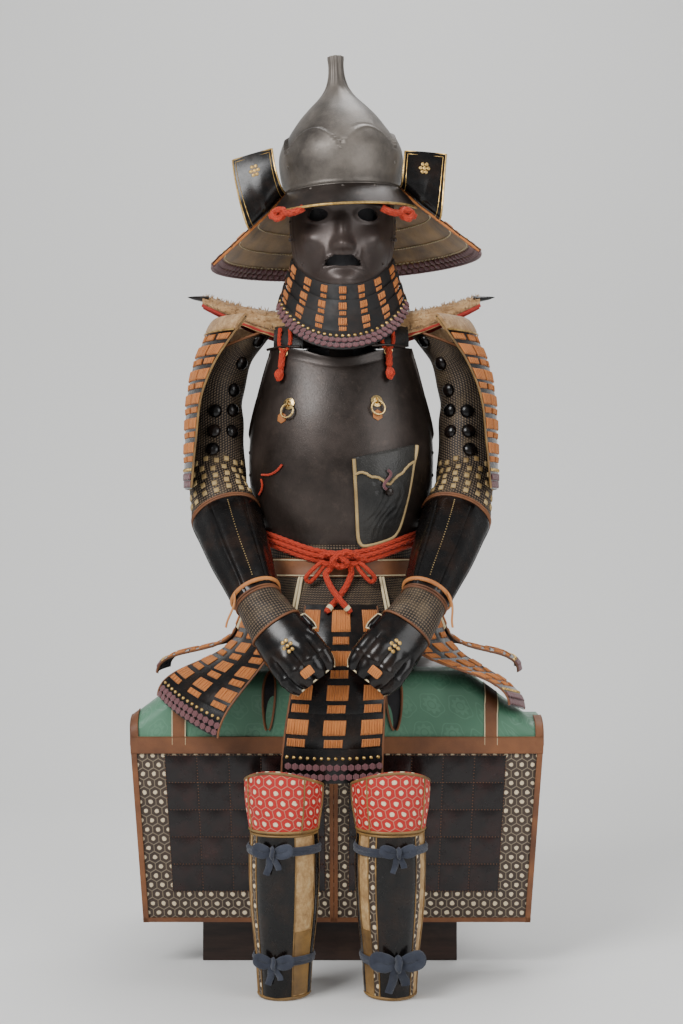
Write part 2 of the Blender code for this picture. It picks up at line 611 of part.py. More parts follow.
def lap_height(x):
    """Height of the silk over the lid, falling away past the chest's sides."""
    past = np.maximum(np.abs(x - CHEST_X) - CHEST_HALF_W - 0.004, 0.0)
    soft = np.sqrt(past**2 + 0.012**2) - 0.012
    return CHEST_TOP_Z + 0.0027 - 0.75 * soft


def thigh_guard():
    """Silk lap over the chest's lid and, below its band, two fields of plates."""
    silk = material("silk", (0.09, 0.26, 0.17), 0.6)
    half = 0.338
    x_left, x_right = CHEST_X - CHEST_HALF_W - 0.0046, CHEST_X + CHEST_HALF_W + 0.0046
    x = np.array([-half, -0.290, -0.260, -0.241, x_left, -0.170, -0.119, -0.103, -0.030, 0.030,
                  0.082, 0.104, x_right, 0.219, 0.240, 0.264, 0.300, half])
    top = np.maximum(lap_height(x), 0.404)
    fold = np.minimum(0.030, 0.6 * (top - 0.3625))
    rows = []
    for y in (0.006, -0.070):
        rows.append(np.column_stack([x, np.full(len(x), y), top]))
    for theta in np.radians([30, 60, 90]):
        rows.append(np.column_stack([x, np.full(len(x), -0.070 - 0.047 * math.sin(theta)),
                                     top - fold * (1 - math.cos(theta))]))
    for t in (0.45, 1.0):
        low = top - fold
        edge_z = 0.3625
        rows.append(np.column_stack([x, np.full(len(x), -0.117), low + (edge_z - low) * t]))
    points = np.array(rows)
    keep = np.ones((len(rows) - 1, len(x) - 1), dtype=bool)
    mid = (x[1:] + x[:-1]) / 2
    keep[3:5, (np.abs(mid + 0.111) < 0.004) | (np.abs(mid - 0.093) < 0.004)] = False
    wall("thigh_silk", silk, points, 0.002, (0, 0.2, 0.2), keep=keep)

    panel = material("printed_leather", (0.16, 0.10, 0.06), 0.6)
    edge_z = 0.3625 - SEAM
    low_z = 0.072
    for side, x0, x1, f0, f1 in (("l", -half, -0.0055, -0.283, -0.020), ("r", -0.0052, half, 0.020, 0.278)):
        columns = [x0]
        columns += [f0 + (f1 - f0) * k / 5 + d for k in range(5) for d in (0.0, 0.0035, (f1 - f0) / 5 - 0.0035)]
        columns += [f1, x1]
        plate_h = 0.0446
        levels = [edge_z]
        levels += [0.346 - plate_h * k - d for k in range(5) for d in (0.0, 0.0035, plate_h - 0.0035)]
        levels += [0.346 - 5 * plate_h, low_z]
        columns, levels = np.array(columns), np.array(levels)
        xx, zz = np.meshgrid(columns, levels)
        taper = 1 - 0.062 * (edge_z - zz) / (edge_z - low_z)
        yy = -0.117 + 0.006 * ((edge_z - zz) / (edge_z - low_z))
        grid = np.stack([xx * taper, yy, zz], axis=-1)
        raised_c = np.array([k > 0 and k < len(columns) - 2 and (k - 1) % 3 != 0 for k in range(len(columns))])
        raised_r = np.array([k > 0 and k < len(levels) - 2 and (k - 1) % 3 != 0 for k in range(len(levels))])
        relief = 0.0018 * np.outer(raised_r, raised_c)
        wall("thigh_panel_" + side, panel, grid, 0.003, (0, 0.2, 0.2), relief=relief, flat_back=True)


def shin_points(side, a, z, out=0.0):
    """Points round a shin guard, turned outward with its leg."""
    x0, y0, yaw = SHINS[side]
    c, s = math.cos(math.radians(yaw)), math.sin(math.radians(yaw))
    half, depth = smooth(SHIN, 1, z) + out, smooth(SHIN, 2, z) + out
    x, y = half * np.sin(a), -depth * np.cos(a)
    return np.stack([x0 + x * c - y * s, y0 + x * s + y * c, z + 0 * x], axis=-1)


def shin(side):
    """Shin guard, knee cap and the two cloth ties with their bows."""
    a = np.radians(np.linspace(-102, 102, 13))
    z = np.array([0.0, 0.053, 0.067, 0.14, 0.2205, 0.2345, SHIN_TOP_Z - SEAM])
    centre = (SHINS[side][0], SHINS[side][1], 0.15)
    wall("shin_guard_" + side, lacquer(), shin_points(side, a[None], z[:, None]), 0.0025, centre)
    red = material("red_leather", (0.55, 0.05, 0.04), 0.6)
    v = np.linspace(0, 1, 4)[:, None]
    top = 0.345 + 0.006 * np.cos(2.2 * a)[None] - 0.012 * (np.abs(a)[None] / a[-1])**3
    zz = SHIN_TOP_Z + (top - SHIN_TOP_Z) * v
    wall("knee_cap_" + side, red, shin_points(side, a[None], zz), 0.005, centre)
    cloth = material("tie_cloth", (0.05, 0.07, 0.13), 0.85)
    ring = np.concatenate([a, np.radians([126, 153, 180, 207, 234])])
    star = np.arange(14) * math.tau / 14
    for level, z0 in (("upper", 0.2275), ("lower", 0.060)):
        zz = np.array([z0 + 0.007, z0 - 0.007])[:, None]
        tie = wall("shin_tie_%s_%s" % (level, side), cloth, shin_points(side, ring[None], zz, 0.0021 + LAY),
                   0.0021, centre, closed=True)
        front = shin_points(side, np.array([0.0]), np.array([z0]), 0.0)[0]
        outward = unit(front - np.array((centre[0], centre[1], z0)))
        across = np.cross(outward, (0, 0, 1))
        lobes = star
        size = 0.011 + 0.021 * np.abs(np.cos(lobes))**3 + 0.016 * np.exp(-((lobes - 4.1) / 0.22)**2) \
            + 0.012 * np.exp(-((lobes - 5.3) / 0.2)**2)
        rings = []
        for t, scale in ((0.0016, 1.0), (0.0095, 0.8)):
            rings.append(front + outward * t - np.cos(lobes)[:, None] * (size * scale)[:, None] * across
                         + np.sin(lobes)[:, None] * (size * scale)[:, None] * (0, 0, 0.85))
        bow = solid("shin_bow_%s_%s" % (level, side), cloth, rings)
        join(tie, [bow])


def trunk_frame(x, z):
    """Angle, point, normal, level tangent and up tangent of the trunk's front at a place."""
    angles = np.linspace(-1.5, 1.5, 601)
    a = float(angles[np.argmin(np.abs(trunk(angles, z)[:, 0] - x))])
    n = trunk_normal(a, z)
    level = unit(np.cross((0, 0, 1.0), n))
    if level[0] < 0:
        level = -level
    return a, trunk(a, z), n, level, np.cross(level, n) * -1.0


def chest_rings():
    """Brass rings that swing in an eye on a small rosette, one on each side of the chest."""
    for side, x, z in (("l", -0.078, 0.922), ("r", 0.065, 0.926)):
        a, point, n, level, up = trunk_frame(x, z)
        if up[2] < 0:
            up = -up
        ring = np.arange(12) * math.tau / 12
        plate = [point + n * d + r * (np.cos(ring)[:, None] * level + np.sin(ring)[:, None] * up)
                 for d, r in ((0.0002, 0.0100), (0.0020, 0.0100), (0.0032, 0.0055))]
        base = solid("staple_" + side, brass(), plate)
        eye = point + n * (0.0018 + EYE_R)
        bend = np.linspace(-2.75, 2.75, 9)
        path = eye + EYE_R * (np.cos(bend)[:, None] * n + np.sin(bend)[:, None] * up)
        rim = np.arange(6) * math.tau / 6
        away = unit(path - eye)
        loop = solid("staple_eye_" + side, brass(), path[:, None] + EYE_WIRE * (
            np.cos(rim)[None, :, None] * away[:, None] + np.sin(rim)[None, :, None] * level))
        join(base, [loop])
        axis = eye - up * (EYE_R - EYE_WIRE - RING_WIRE - SEAM)
        centre = axis - up * RING_R
        turn = np.arange(16) * math.tau / 16
        spoke = np.cos(turn)[:, None] * level + np.sin(turn)[:, None] * up
        core = centre + RING_R * spoke
        tube = core[:, None] + RING_WIRE * (np.cos(rim)[None, :, None] * spoke[:, None]
                                            + np.sin(rim)[None, :, None] * n)
        verts = tube.reshape(-1, 3)
        faces = [(i * 6 + j, i * 6 + (j + 1) % 6, ((i + 1) % 16) * 6 + (j + 1) % 6, ((i + 1) % 16) * 6 + j)
                 for i in range(16) for j in range(6)]
        add_mesh("ring_" + side, verts, faces, brass())


def on_trunk(name, mat, rows, radius, sides=8, squash=0.8):
    """Rounded bar lying on the trunk along rows of (x, z); radius may change along it."""
    path = []
    for (x, z), r in zip(rows, radius):
        a, point, n, level, up = trunk_frame(x, z)
        path.append(point + n * (r * squash + LAY + 0.0035 * (z > 0.985)))
    path = np.array(path)
    rings = []
    for k, (centre, r) in enumerate(zip(path, radius)):
        tangent = unit(np.gradient(path, axis=0))[k]
        n = trunk_frame(rows[k][0], rows[k][1])[2]
        side = unit(np.cross(tangent, n))
        angle = np.arange(sides) * math.tau / sides
        rings.append(centre + r * (np.cos(angle)[:, None] * side + squash * np.sin(angle)[:, None] * n))
    return solid(name, mat, rings)


def cord_height(angle):
    """Height of the waist cord's middle, lowest at the front."""
    return 0.706 - 0.038 * np.exp(-(np.angle(np.exp(1j * np.asarray(angle))) / 0.75)**2)


CORD_TALL, CORD_THICK, TAIL_R = 0.0125, 0.0055, 0.0055


def pouch():
    """Small leather pouch on the left of the belly, domed and turned to the plate's curve."""
    u = np.linspace(0, 1, 7)[None]
    v = np.linspace(0, 1, 8)[:, None]
    left = 0.036 - 0.012 * v
    right = 0.104 + 0.016 * v
    x = left + (right - left) * u - MID_X
    a = np.arcsin((x / TRUNK[:, 1].mean())**(1 / 0.92))
    low = cord_height(a) + CORD_TALL + 0.0012
    z = low + (0.832 + 0.024 * u - low) * v
    dome = 0.0045 + 0.0085 * np.sqrt(np.clip(np.sin(math.pi * u), 0, 1)) * np.clip(np.sin(math.pi * v), 0, 1)**0.5
    wall("pouch", lacquer(), trunk(a, z, LAY + 0.0034), 0.003, (MID_X, BODY_Y, 0.75), relief=dome - 0.0024)


def waist():
    """Braided double cord round the hem, its knot, two hanging tails and the side lace."""
    a = (np.arange(28) + 0.5) * math.tau / 28
    z = cord_height(a)
    tall, thick = CORD_TALL, CORD_THICK
    above, below = trunk(a, z + tall * 0.8), trunk(a, z - tall * 0.6)
    farther = [np.hypot(p[:, 0] - MID_X, p[:, 1] - BODY_Y) for p in (above, below)]
    base = np.where((farther[0] > farther[1])[:, None], above, below)
    n = unit(trunk_normal(a, z) * (1, 1, 0))
    centre = np.stack([base[:, 0], base[:, 1], z], axis=-1) + n * (thick + 0.0010)
    rim = np.arange(6) * math.tau / 6
    shape = centre[:, None] + thick * np.cos(rim)[None, :, None] * n[:, None] \
        + tall * np.sin(rim)[None, :, None] * np.array((0, 0, 1.0))
    verts = shape.reshape(-1, 3)
    faces = [(i * 6 + j, i * 6 + (j + 1) % 6, ((i + 1) % 28) * 6 + (j + 1) % 6, ((i + 1) % 28) * 6 + j)
             for i in range(28) for j in range(6)]
    add_mesh("waist_cord", verts, faces, red_cord())
    front = (centre[0] + centre[-1]) / 2
    knot_path = front + np.array([(-0.030, -0.0140, -0.001), (-0.020, -0.0140, 0.0), (0.0, -0.0140, 0.0),
                                  (0.020, -0.0140, 0.0), (0.030, -0.0140, -0.001)])
    solid("waist_knot", red_cord(), tube_rings(knot_path, [0.005, 0.0105, 0.0105, 0.0105, 0.005], 10, 0.75))
    start_z = front[2] - 0.0105 - LAY - 0.0010
    for side, sign, over in (("l", -1.0, 0.0150), ("r", 1.0, 0.0)):
        route = [(front[0] + sign * 0.017, front[1] - 0.014, start_z - d) for d in (0.0, 0.005)]
        for x, drop, hump in ((0.0205, 0.014, 0.5), (0.012, 0.034, 0.9), (-0.004, 0.055, 1.0), (-0.0205, 0.074, 0.2)):
            z = start_z - drop
            y = float(trunk(0.0, z)[1]) - TAIL_R - LAY - over * hump - 0.0045
            route.append((0.0025 + sign * x, min(y, front[1] - 0.013 - over * hump), z))
        cord("waist_tail_" + side, red_cord(), route, TAIL_R, 11)
    for name, places in (("side_lace_a", [(-0.1235, 0.806), (-0.110, 0.806), (-0.098, 0.812), (-0.089, 0.822)]),
                         ("side_lace_b", [(-0.1245, 0.799), (-0.1225, 0.791), (-0.1235, 0.783), (-0.1275, 0.776)])):
        route = []
        for x, h in places:
            _, point, n, _, _ = trunk_frame(x, h)
            route.append(tuple(point + n * (0.0022 + 0.0002)))
        cord(name, red_cord(), route, 0.0022, 9)
    on_trunk("toggle_l", red_cord(), [(-0.086, 1.012), (-0.087, 1.000), (-0.089, 0.988), (-0.090, 0.976),
                                      (-0.091, 0.968), (-0.091, 0.961)],
             [0.0035, 0.0060, 0.0055, 0.0060, 0.0090, 0.0050])
    on_trunk("toggle_r", red_cord(), [(0.083, 1.014), (0.083, 1.002), (0.083, 0.990), (0.084, 0.978),
                                      (0.084, 0.970), (0.084, 0.963)],
             [0.0035, 0.0060, 0.0055, 0.0060, 0.0090, 0.0050])


def storage_chest():
    """Closed lacquered chest with a lid rim."""
    x0, x1 = CHEST_X - CHEST_HALF_W, CHEST_X + CHEST_HALF_W
    rows = ((0.0, 0.0), (0.414, 0.0), (0.418, -0.002), (0.422, 0.003), (CHEST_TOP_Z - 0.004, 0.003),
            (CHEST_TOP_Z, 0.0))
    rings = []
    for z, out in rows:
        y0, y1 = CHEST_FRONT_Y - out, CHEST_REAR_Y + (out if out < 0.003 else 0.0)
        rings.append([(x0 - out, y0, z), (x1 + out, y0, z), (x1 + out, y1, z), (x0 - out, y1, z)])
    solid("chest", material("chest_lacquer", (0.03, 0.018, 0.014), 0.4), rings)


def main():
    clear_scene()
    storage_chest()
    stand()
    cuirass()
    chest_rings()
    pouch()
    skirt()
    waist()
    tassets()
    helmet()
    mask()
    throat_guard()
    thigh_guard()
    for side in ("l", "r"):
        shoulder(side)
        arm(side)
        shin(side)


main()
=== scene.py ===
"""Samurai armour on its storage chest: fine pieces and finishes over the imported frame.

Metres, +Z up, the front faces -Y. Each sub-assembly is a class: its sizes are dataclass
fields, its surfaces are functions of two parameters worked out as whole numpy arrays, and
its finishes are small frozen records that turn into node materials.
"""
from __future__ import annotations

import json
import logging
import math
from dataclasses import dataclass, field
from enum import Enum
from typing import Callable, Sequence

import bpy
import numpy as np
from numpy.typing import NDArray
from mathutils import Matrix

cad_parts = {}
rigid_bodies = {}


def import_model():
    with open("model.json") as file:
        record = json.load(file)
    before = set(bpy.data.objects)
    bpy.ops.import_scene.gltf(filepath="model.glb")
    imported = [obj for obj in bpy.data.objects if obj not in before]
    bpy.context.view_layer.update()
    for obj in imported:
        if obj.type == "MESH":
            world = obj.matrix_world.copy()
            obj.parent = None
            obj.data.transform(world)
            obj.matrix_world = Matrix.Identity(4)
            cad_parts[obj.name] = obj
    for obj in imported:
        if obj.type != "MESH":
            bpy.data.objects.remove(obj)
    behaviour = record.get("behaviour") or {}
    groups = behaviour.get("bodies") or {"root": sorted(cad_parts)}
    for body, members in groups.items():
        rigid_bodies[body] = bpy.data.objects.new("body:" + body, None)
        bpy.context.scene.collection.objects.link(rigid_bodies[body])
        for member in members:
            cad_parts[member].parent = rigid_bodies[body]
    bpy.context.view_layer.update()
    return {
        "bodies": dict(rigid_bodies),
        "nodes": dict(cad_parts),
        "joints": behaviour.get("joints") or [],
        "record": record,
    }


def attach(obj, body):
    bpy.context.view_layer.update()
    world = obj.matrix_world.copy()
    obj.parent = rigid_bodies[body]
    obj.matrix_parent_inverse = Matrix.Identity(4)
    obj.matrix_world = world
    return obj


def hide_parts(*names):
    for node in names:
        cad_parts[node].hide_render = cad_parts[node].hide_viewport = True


LOG = logging.getLogger("armour")
Array = NDArray[np.float64]
Colour = tuple[float, float, float]
TAU = math.tau

MID_X = 0.007
BODY_Y = 0.030
HEM_Z, HEM_LIFT = 0.690, 0.009
COLLAR_Z = 1.018
STRAP_TOP_Z = 1.062
SKIRT_CELLS = 28
CHEST_X, CHEST_HALF_W = -0.0117, 0.2107
CHEST_TOP_Z = 0.478
HELMET_BASE = np.array([0.0095, 0.030, 1.288])
HELMET_ROLL = math.radians(3.0)

# height, half width, front depth and back depth of the trunk and its skirt
TRUNK = np.array([
    (0.545, 0.176, 0.205, 0.135), (0.600, 0.154, 0.170, 0.125), (0.638, 0.1390, 0.1390, 0.1150),
    (0.656, 0.1368, 0.1345, 0.1125), (0.695, 0.1365, 0.133, 0.112), (0.730, 0.145, 0.141, 0.118),
    (0.775, 0.154, 0.150, 0.125), (0.820, 0.1575, 0.155, 0.130), (0.870, 0.156, 0.153, 0.132),
    (0.920, 0.150, 0.145, 0.130), (0.960, 0.144, 0.133, 0.125), (1.000, 0.137, 0.118, 0.115),
    (1.045, 0.128, 0.100, 0.104)])
# height, angle reached by the front and back plates at the armholes
ARMHOLE = np.array([
    (0.68, 89.93), (0.850, 89.93), (0.875, 86.0), (0.905, 77.0), (0.940, 69.0), (0.980, 64.0),
    (1.020, 59.0), (1.05, 58.0)])
# x from the middle, y, z, half width, half thickness and edge lift of the left arm, shoulder to knuckles
ARM = np.array([
    (-0.1690, 0.030, 1.036, 0.0679, 0.050, 0.0598), (-0.1950, 0.030, 0.995, 0.0460, 0.048, 0.026),
    (-0.2113, 0.030, 0.948, 0.0436, 0.047, 0.0), (-0.2125, 0.024, 0.890, 0.0445, 0.046, 0.0),
    (-0.2110, 0.004, 0.820, 0.0460, 0.050, 0.0), (-0.2050, -0.018, 0.775, 0.0510, 0.052, 0.0),
    (-0.1930, -0.043, 0.738, 0.0570, 0.050, 0.0), (-0.1800, -0.078, 0.706, 0.0530, 0.047, 0.0),
    (-0.1640, -0.117, 0.668, 0.0480, 0.042, 0.0), (-0.1480, -0.152, 0.634, 0.0420, 0.036, 0.0),
    (-0.1330, -0.183, 0.602, 0.0370, 0.031, 0.0), (-0.1180, -0.202, 0.580, 0.0400, 0.029, 0.0),
    (-0.1020, -0.216, 0.558, 0.0430, 0.027, 0.0), (-0.0830, -0.229, 0.534, 0.0460, 0.028, 0.0),
    (-0.0620, -0.240, 0.508, 0.0470, 0.027, 0.0), (-0.0470, -0.246, 0.489, 0.0440, 0.022, 0.0),
    (-0.0390, -0.248, 0.479, 0.0360, 0.015, 0.0)])
ELBOW, WRIST, KNUCKLE_START, FINGER_END = 6.0, 10.0, 12.0, 16.0
# height above the bowl's base and half width of the bowl and its finial
BOWL = np.array([
    (0.0, 0.0965), (0.022, 0.1015), (0.046, 0.1046), (0.068, 0.1035), (0.088, 0.0960), (0.112, 0.0810),
    (0.132, 0.0660), (0.150, 0.0490), (0.166, 0.0330), (0.180, 0.0225), (0.195, 0.0170),
    (0.214, 0.0142), (0.236, 0.0150)])
# height, half width and front depth of the mask
MASK = np.array([
    (1.100, 0.050, 0.093), (1.120, 0.060, 0.101), (1.150, 0.076, 0.107), (1.190, 0.087, 0.107),
    (1.225, 0.0910, 0.100), (1.270, 0.0905, 0.098)])
CHIN_Z, BROW_Z = 1.120, 1.262
# height, half width and half depth of a shin guard with its knee cap
SHIN = np.array([
    (0.0, 0.038, 0.046), (0.06, 0.042, 0.050), (0.14, 0.050, 0.056), (0.22, 0.052, 0.057),
    (0.255, 0.050, 0.056), (0.30, 0.056, 0.060), (0.352, 0.058, 0.060)])
SHIN_TOP_Z = 0.2545


class Side(Enum):
    """The two sides in the view from the front: left at -X and right at +X."""

    LEFT = "l"
    RIGHT = "r"

    @property
    def sign(self) -> float:
        """Direction of the side along X."""
        return -1.0 if self is Side.LEFT else 1.0

    def place(self, points: Array) -> Array:
        """Points of the left side, mirrored in the armour's middle plane for the right side."""
        if self is Side.LEFT:
            return points
        return points * (-1.0, 1.0, 1.0) + (2 * MID_X, 0.0, 0.0)


def unit(vectors: Array) -> Array:
    """Vectors scaled to length one."""
    return vectors / np.maximum(np.linalg.norm(vectors, axis=-1, keepdims=True), 1e-12)


def curve(table: Array, column: int, at: Array | float) -> Array:
    """Cubic Hermite curve through one column of a table, against its first column.

    Args:
        table: rows of values in rising order of the first column.
        column: the column to read.
        at: places along the first column.

    Returns:
        The curve's values, with the slopes of numpy's gradient at the rows.
    """
    x, y = table[:, 0], table[:, column]
    slope = np.gradient(y, x)
    at = np.clip(np.asarray(at, dtype=float), x[0], x[-1])
    k = np.clip(np.searchsorted(x, at) - 1, 0, len(x) - 2)
    h = x[k + 1] - x[k]
    t = (at - x[k]) / h
    return ((2 * t**3 - 3 * t**2 + 1) * y[k] + (t**3 - 2 * t**2 + t) * h * slope[k]
            + (3 * t**2 - 2 * t**3) * y[k + 1] + (t**3 - t**2) * h * slope[k + 1])


def through(route: Sequence[Sequence[float]], count: int) -> Array:
    """Smooth path through a few route points, at evenly spaced parameters.

    Args:
        route: the points.
        count: how many path points to return.

    Returns:
        Path points, shape (count, 3).
    """
    table = np.column_stack([np.arange(len(route)), np.asarray(route, dtype=float)])
    at = np.linspace(0, len(route) - 1, count)
    return np.stack([curve(table, k, at) for k in (1, 2, 3)], axis=-1)


def step(x: Array, edge: float, width: float) -> Array:
    """Smooth rise from 0 to 1 over a width centred on an edge."""
    t = np.clip((x - edge) / width + 0.5, 0.0, 1.0)
    return t * t * (3 - 2 * t)


@dataclass(frozen=True)
class Sheet:
    """A surface of two parameters and the side of it that looks outward."""

    at: Callable[[Array, Array], Array]
    side: float = 1.0

    def facing(self, away: Sequence[float], v: float = 0.5) -> Sheet:
        """The same surface with its outward side turned away from a point, as seen at one height."""
        centre = self.at(np.array([0.05]), np.array([v]))
        turned = np.sum(self.normal(np.array([0.05]), np.array([v])) * (centre - np.asarray(away)))
        return self if turned > 0 else Sheet(self.at, -self.side)

    def normal(self, u: Array, v: Array) -> Array:
        """Unit normals from central differences of the surface in both parameters."""
        e = 2e-4
        du = self.at(u + e, v) - self.at(u - e, v)
        dv = self.at(u, v + e) - self.at(u, v - e)
        return self.side * unit(np.cross(du, dv))

    def raised(self, u: Array, v: Array, height: Array | float) -> Array:
        """Points moved out from the surface along its normal."""
        return self.at(u, v) + self.normal(u, v) * np.asarray(height)[..., None]

    def frames(self, u: Array, v: Array, height: float = 0.0) -> tuple[Array, Array, Array]:
        """Centres, tangents along u and normals at places on the surface."""
        tangent = unit(self.at(u + 2e-4, v) - self.at(u - 2e-4, v))
        return self.raised(u, v, height), tangent, self.normal(u, v)


def grid_faces(rows: int, cols: int, closed: bool = False) -> Array:
    """Quads of a grid whose vertices run row by row.

    Args:
        rows: rows of vertices.
        cols: columns of vertices.
        closed: True joins the last column to the first.

    Returns:
        Vertex numbers, shape (quads, 4).
    """
    i, j = np.meshgrid(np.arange(rows - 1), np.arange(cols if closed else cols - 1), indexing="ij")
    k = (j + 1) % cols
    return np.stack([i * cols + j, i * cols + k, (i + 1) * cols + k, (i + 1) * cols + j], -1).reshape(-1, 4)


def arc(points: Array, axis: int) -> Array:
    """Length along one axis of a grid of points, from its first row or column."""
    length = np.linalg.norm(np.diff(points, axis=axis), axis=-1)
    total = np.cumsum(length, axis=axis)
    start = np.zeros_like(np.take(total, [0], axis=axis))
    return np.concatenate([start, total], axis=axis)


@dataclass
class Shape:
    """Vertices, faces and surface coordinates gathered for one piece."""

    verts: list[Array] = field(default_factory=list)
    faces: list[tuple[Array, Array, int]] = field(default_factory=list)
    count: int = 0

    def add(self, verts: Array, faces: Sequence[Array], uv: Array | None = None,
            corners: Sequence[Array] | None = None, slot: int = 0) -> None:
        """Add vertices with their faces.

        Args:
            verts: points, shape (n, 3).
            faces: arrays of vertex numbers, one array for each number of corners.
            uv: surface coordinates of the vertices, in metres.
            corners: surface coordinates of the face corners, in place of uv.
            slot: number of the finish.
        """
        for k, block in enumerate(faces):
            if corners is not None:
                place = corners[k]
            elif uv is not None:
                place = uv[block]
            else:
                place = np.zeros((*block.shape, 2))
            self.faces.append((block + self.count, place, slot))
        self.verts.append(verts)
        self.count += len(verts)

    def build(self, name: str, finishes: Sequence[Finish], body: str = "root",
              replaces: Sequence[str] = (), sharp: float = 40.0) -> bpy.types.Object:
        """Make the piece's object, dress it and hang it on its body.

        Args:
            name: the piece's name.
            finishes: one finish for each slot number used.
            body: the frame's body that carries it.
            replaces: the CAD nodes it stands for.
            sharp: angle in degrees past which an edge is shaded sharp.

        Returns:
            The new object.
        """
        verts = np.concatenate(self.verts)
        loops = np.concatenate([block.ravel() for block, _, _ in self.faces]).astype(np.int32)
        sizes = np.concatenate([np.full(len(block), block.shape[1]) for block, _, _ in self.faces])
        slots = np.concatenate([np.full(len(block), slot) for block, _, slot in self.faces])
        mesh = bpy.data.meshes.new(name)
        mesh.vertices.add(len(verts))
        mesh.vertices.foreach_set("co", verts.astype(np.float32).ravel())
        mesh.loops.add(len(loops))
        mesh.loops.foreach_set("vertex_index", loops)
        mesh.polygons.add(len(sizes))
        mesh.polygons.foreach_set("loop_start", (np.cumsum(sizes) - sizes).astype(np.int32))
        mesh.polygons.foreach_set("material_index", slots.astype(np.int32))
        mesh.update(calc_edges=True)
        layer = mesh.uv_layers.new(name="UVMap")
        places = np.concatenate([place.reshape(-1, 2) for _, place, _ in self.faces])
        layer.uv.foreach_set("vector", places.astype(np.float32).ravel())
        for finish in finishes:
            mesh.materials.append(finish.material())
        mesh.shade_smooth()
        mesh.set_sharp_from_angle(angle=math.radians(sharp))
        obj = bpy.data.objects.new(name, mesh)
        bpy.context.scene.collection.objects.link(obj)
        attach(obj, body)
        if replaces:
            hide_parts(*replaces)
        LOG.info("%s: %d faces", name, len(sizes))
        return obj

    def slabs(self, sheet: Sheet, u: Array, v: Array, top: Array | float, bottom: Array | float,
              slot: int = 0, under_slot: int | None = None) -> None:
        """Closed slabs on a surface: a top grid and a bottom grid moved along the normals, and a rim.

        Args:
            sheet: the surface that carries them.
            u: first parameters, shape (slabs, rows, columns).
            v: second parameters, the same shape.
            top: height of the tops over the surface.
            bottom: height of the undersides.
            slot: number of the finish.
            under_slot: finish of the undersides, if another.
        """
        u, v = np.broadcast_arrays(u, v)
        if u.ndim == 2:
            u, v = u[None], v[None]
        count, rows, cols = u.shape
        base, normal = sheet.at(u, v), sheet.normal(u, v)
        upper = base + normal * np.broadcast_to(top, u.shape)[..., None]
        lower = base + normal * np.broadcast_to(bottom, u.shape)[..., None]
        self.plates(upper, lower, sheet.side, slot, under_slot)

    def plates(self, upper: Array, lower: Array, side: float, slot: int = 0,
               under_slot: int | None = None) -> None:
        """Closed plates between two stacks of grids.

        Args:
            upper: outer points, shape (plates, rows, columns, 3).
            lower: inner points, the same shape.
            side: 1 where columns crossed with rows look outward, else -1.
            slot: number of the finish.
            under_slot: finish of the inner side, if another.
        """
        count, rows, cols = upper.shape[:3]
        size = rows * cols
        face = grid_faces(rows, cols)
        rim = np.concatenate([np.arange(cols), np.arange(2, rows) * cols - 1 + 0 * rows,
                              [size - 1], size - 1 - np.arange(1, cols),
                              np.arange(rows - 2, 0, -1) * cols]).astype(int)
        after = np.roll(rim, -1)
        wall = np.stack([after, rim, rim + size, after + size], -1)
        if side < 0:
            face, wall = face[:, ::-1], wall[:, ::-1]
        under = face[:, ::-1] + size
        offset = (np.arange(count) * 2 * size)[:, None, None]
        verts = np.concatenate([upper.reshape(count, size, 3), lower.reshape(count, size, 3)], axis=1)
        uv = np.stack([arc(upper, 2), arc(upper, 1)], -1).reshape(count, size, 2)
        uv = np.concatenate([uv, uv], axis=1).reshape(-1, 2)
        blocks = [(np.concatenate([face, wall]), slot), (under, slot if under_slot is None else under_slot)]
        verts = verts.reshape(-1, 3)
        start = self.count
        for block, number in blocks:
            whole = (block[None] + offset).reshape(-1, 4)
            self.faces.append((whole + start, uv[whole], number))
        self.verts.append(verts)
        self.count += len(verts)

    def ring_wall(self, points: Array, inner: Array, side: float, slot: int = 0,
                  keep: Array | None = None) -> None:
        """Closed wall round a loop of columns, between outer and inner points.

        Args:
            points: outer points, shape (rows, columns, 3), the last column next to the first.
            inner: inner points, the same shape.
            side: 1 where columns crossed with rows look outward, else -1.
            slot: number of the finish.
            keep: cells kept, shape (rows - 1, columns), all of them if left out.
        """
        self.cells(points, inner, side, grid_faces(*points.shape[:2], closed=True), keep, slot)

    def cells(self, points: Array, inner: Array, side: float, face: Array, keep: Array | None,
              slot: int = 0, under_slot: int | None = None) -> None:
        """Closed wall over the kept cells of a grid, with a rim at every free edge.

        Args:
            points: outer points, shape (rows, columns, 3).
            inner: inner points, the same shape.
            side: 1 where columns crossed with rows look outward, else -1.
            face: quads of the grid.
            keep: cells kept, or None for all.
            slot: number of the finish.
            under_slot: finish of the inner side, if another.
        """
        rows, cols = points.shape[:2]
        size = rows * cols
        if keep is not None:
            face = face[keep.ravel()]
        edge = np.stack([face, np.roll(face, -1, axis=1)], -1).reshape(-1, 2)
        code, back = edge[:, 0] * size + edge[:, 1], edge[:, 1] * size + edge[:, 0]
        free = edge[~np.isin(code, back)]
        wall = np.stack([free[:, 1], free[:, 0], free[:, 0] + size, free[:, 1] + size], -1)
        if side < 0:
            face, wall = face[:, ::-1], wall[:, ::-1]
        verts = np.concatenate([points.reshape(-1, 3), inner.reshape(-1, 3)])
        uv = np.stack([arc(points, 1), arc(points, 0)], -1).reshape(-1, 2)
        uv = np.concatenate([uv, uv])
        spans = uv[face]
        wrap = (spans[..., 0].max(axis=1) - spans[..., 0].min(axis=1)) > 4 * uv[:cols, 0].max() / cols
        reach = uv[:cols, 0].max() * (1 + 1 / cols)
        spans[wrap, :, 0] = np.where(spans[wrap, :, 0] < reach / 2, spans[wrap, :, 0] + reach, spans[wrap, :, 0])
        used = np.unique(np.concatenate([face.ravel(), wall.ravel()]))
        number = np.zeros(2 * size, dtype=int)
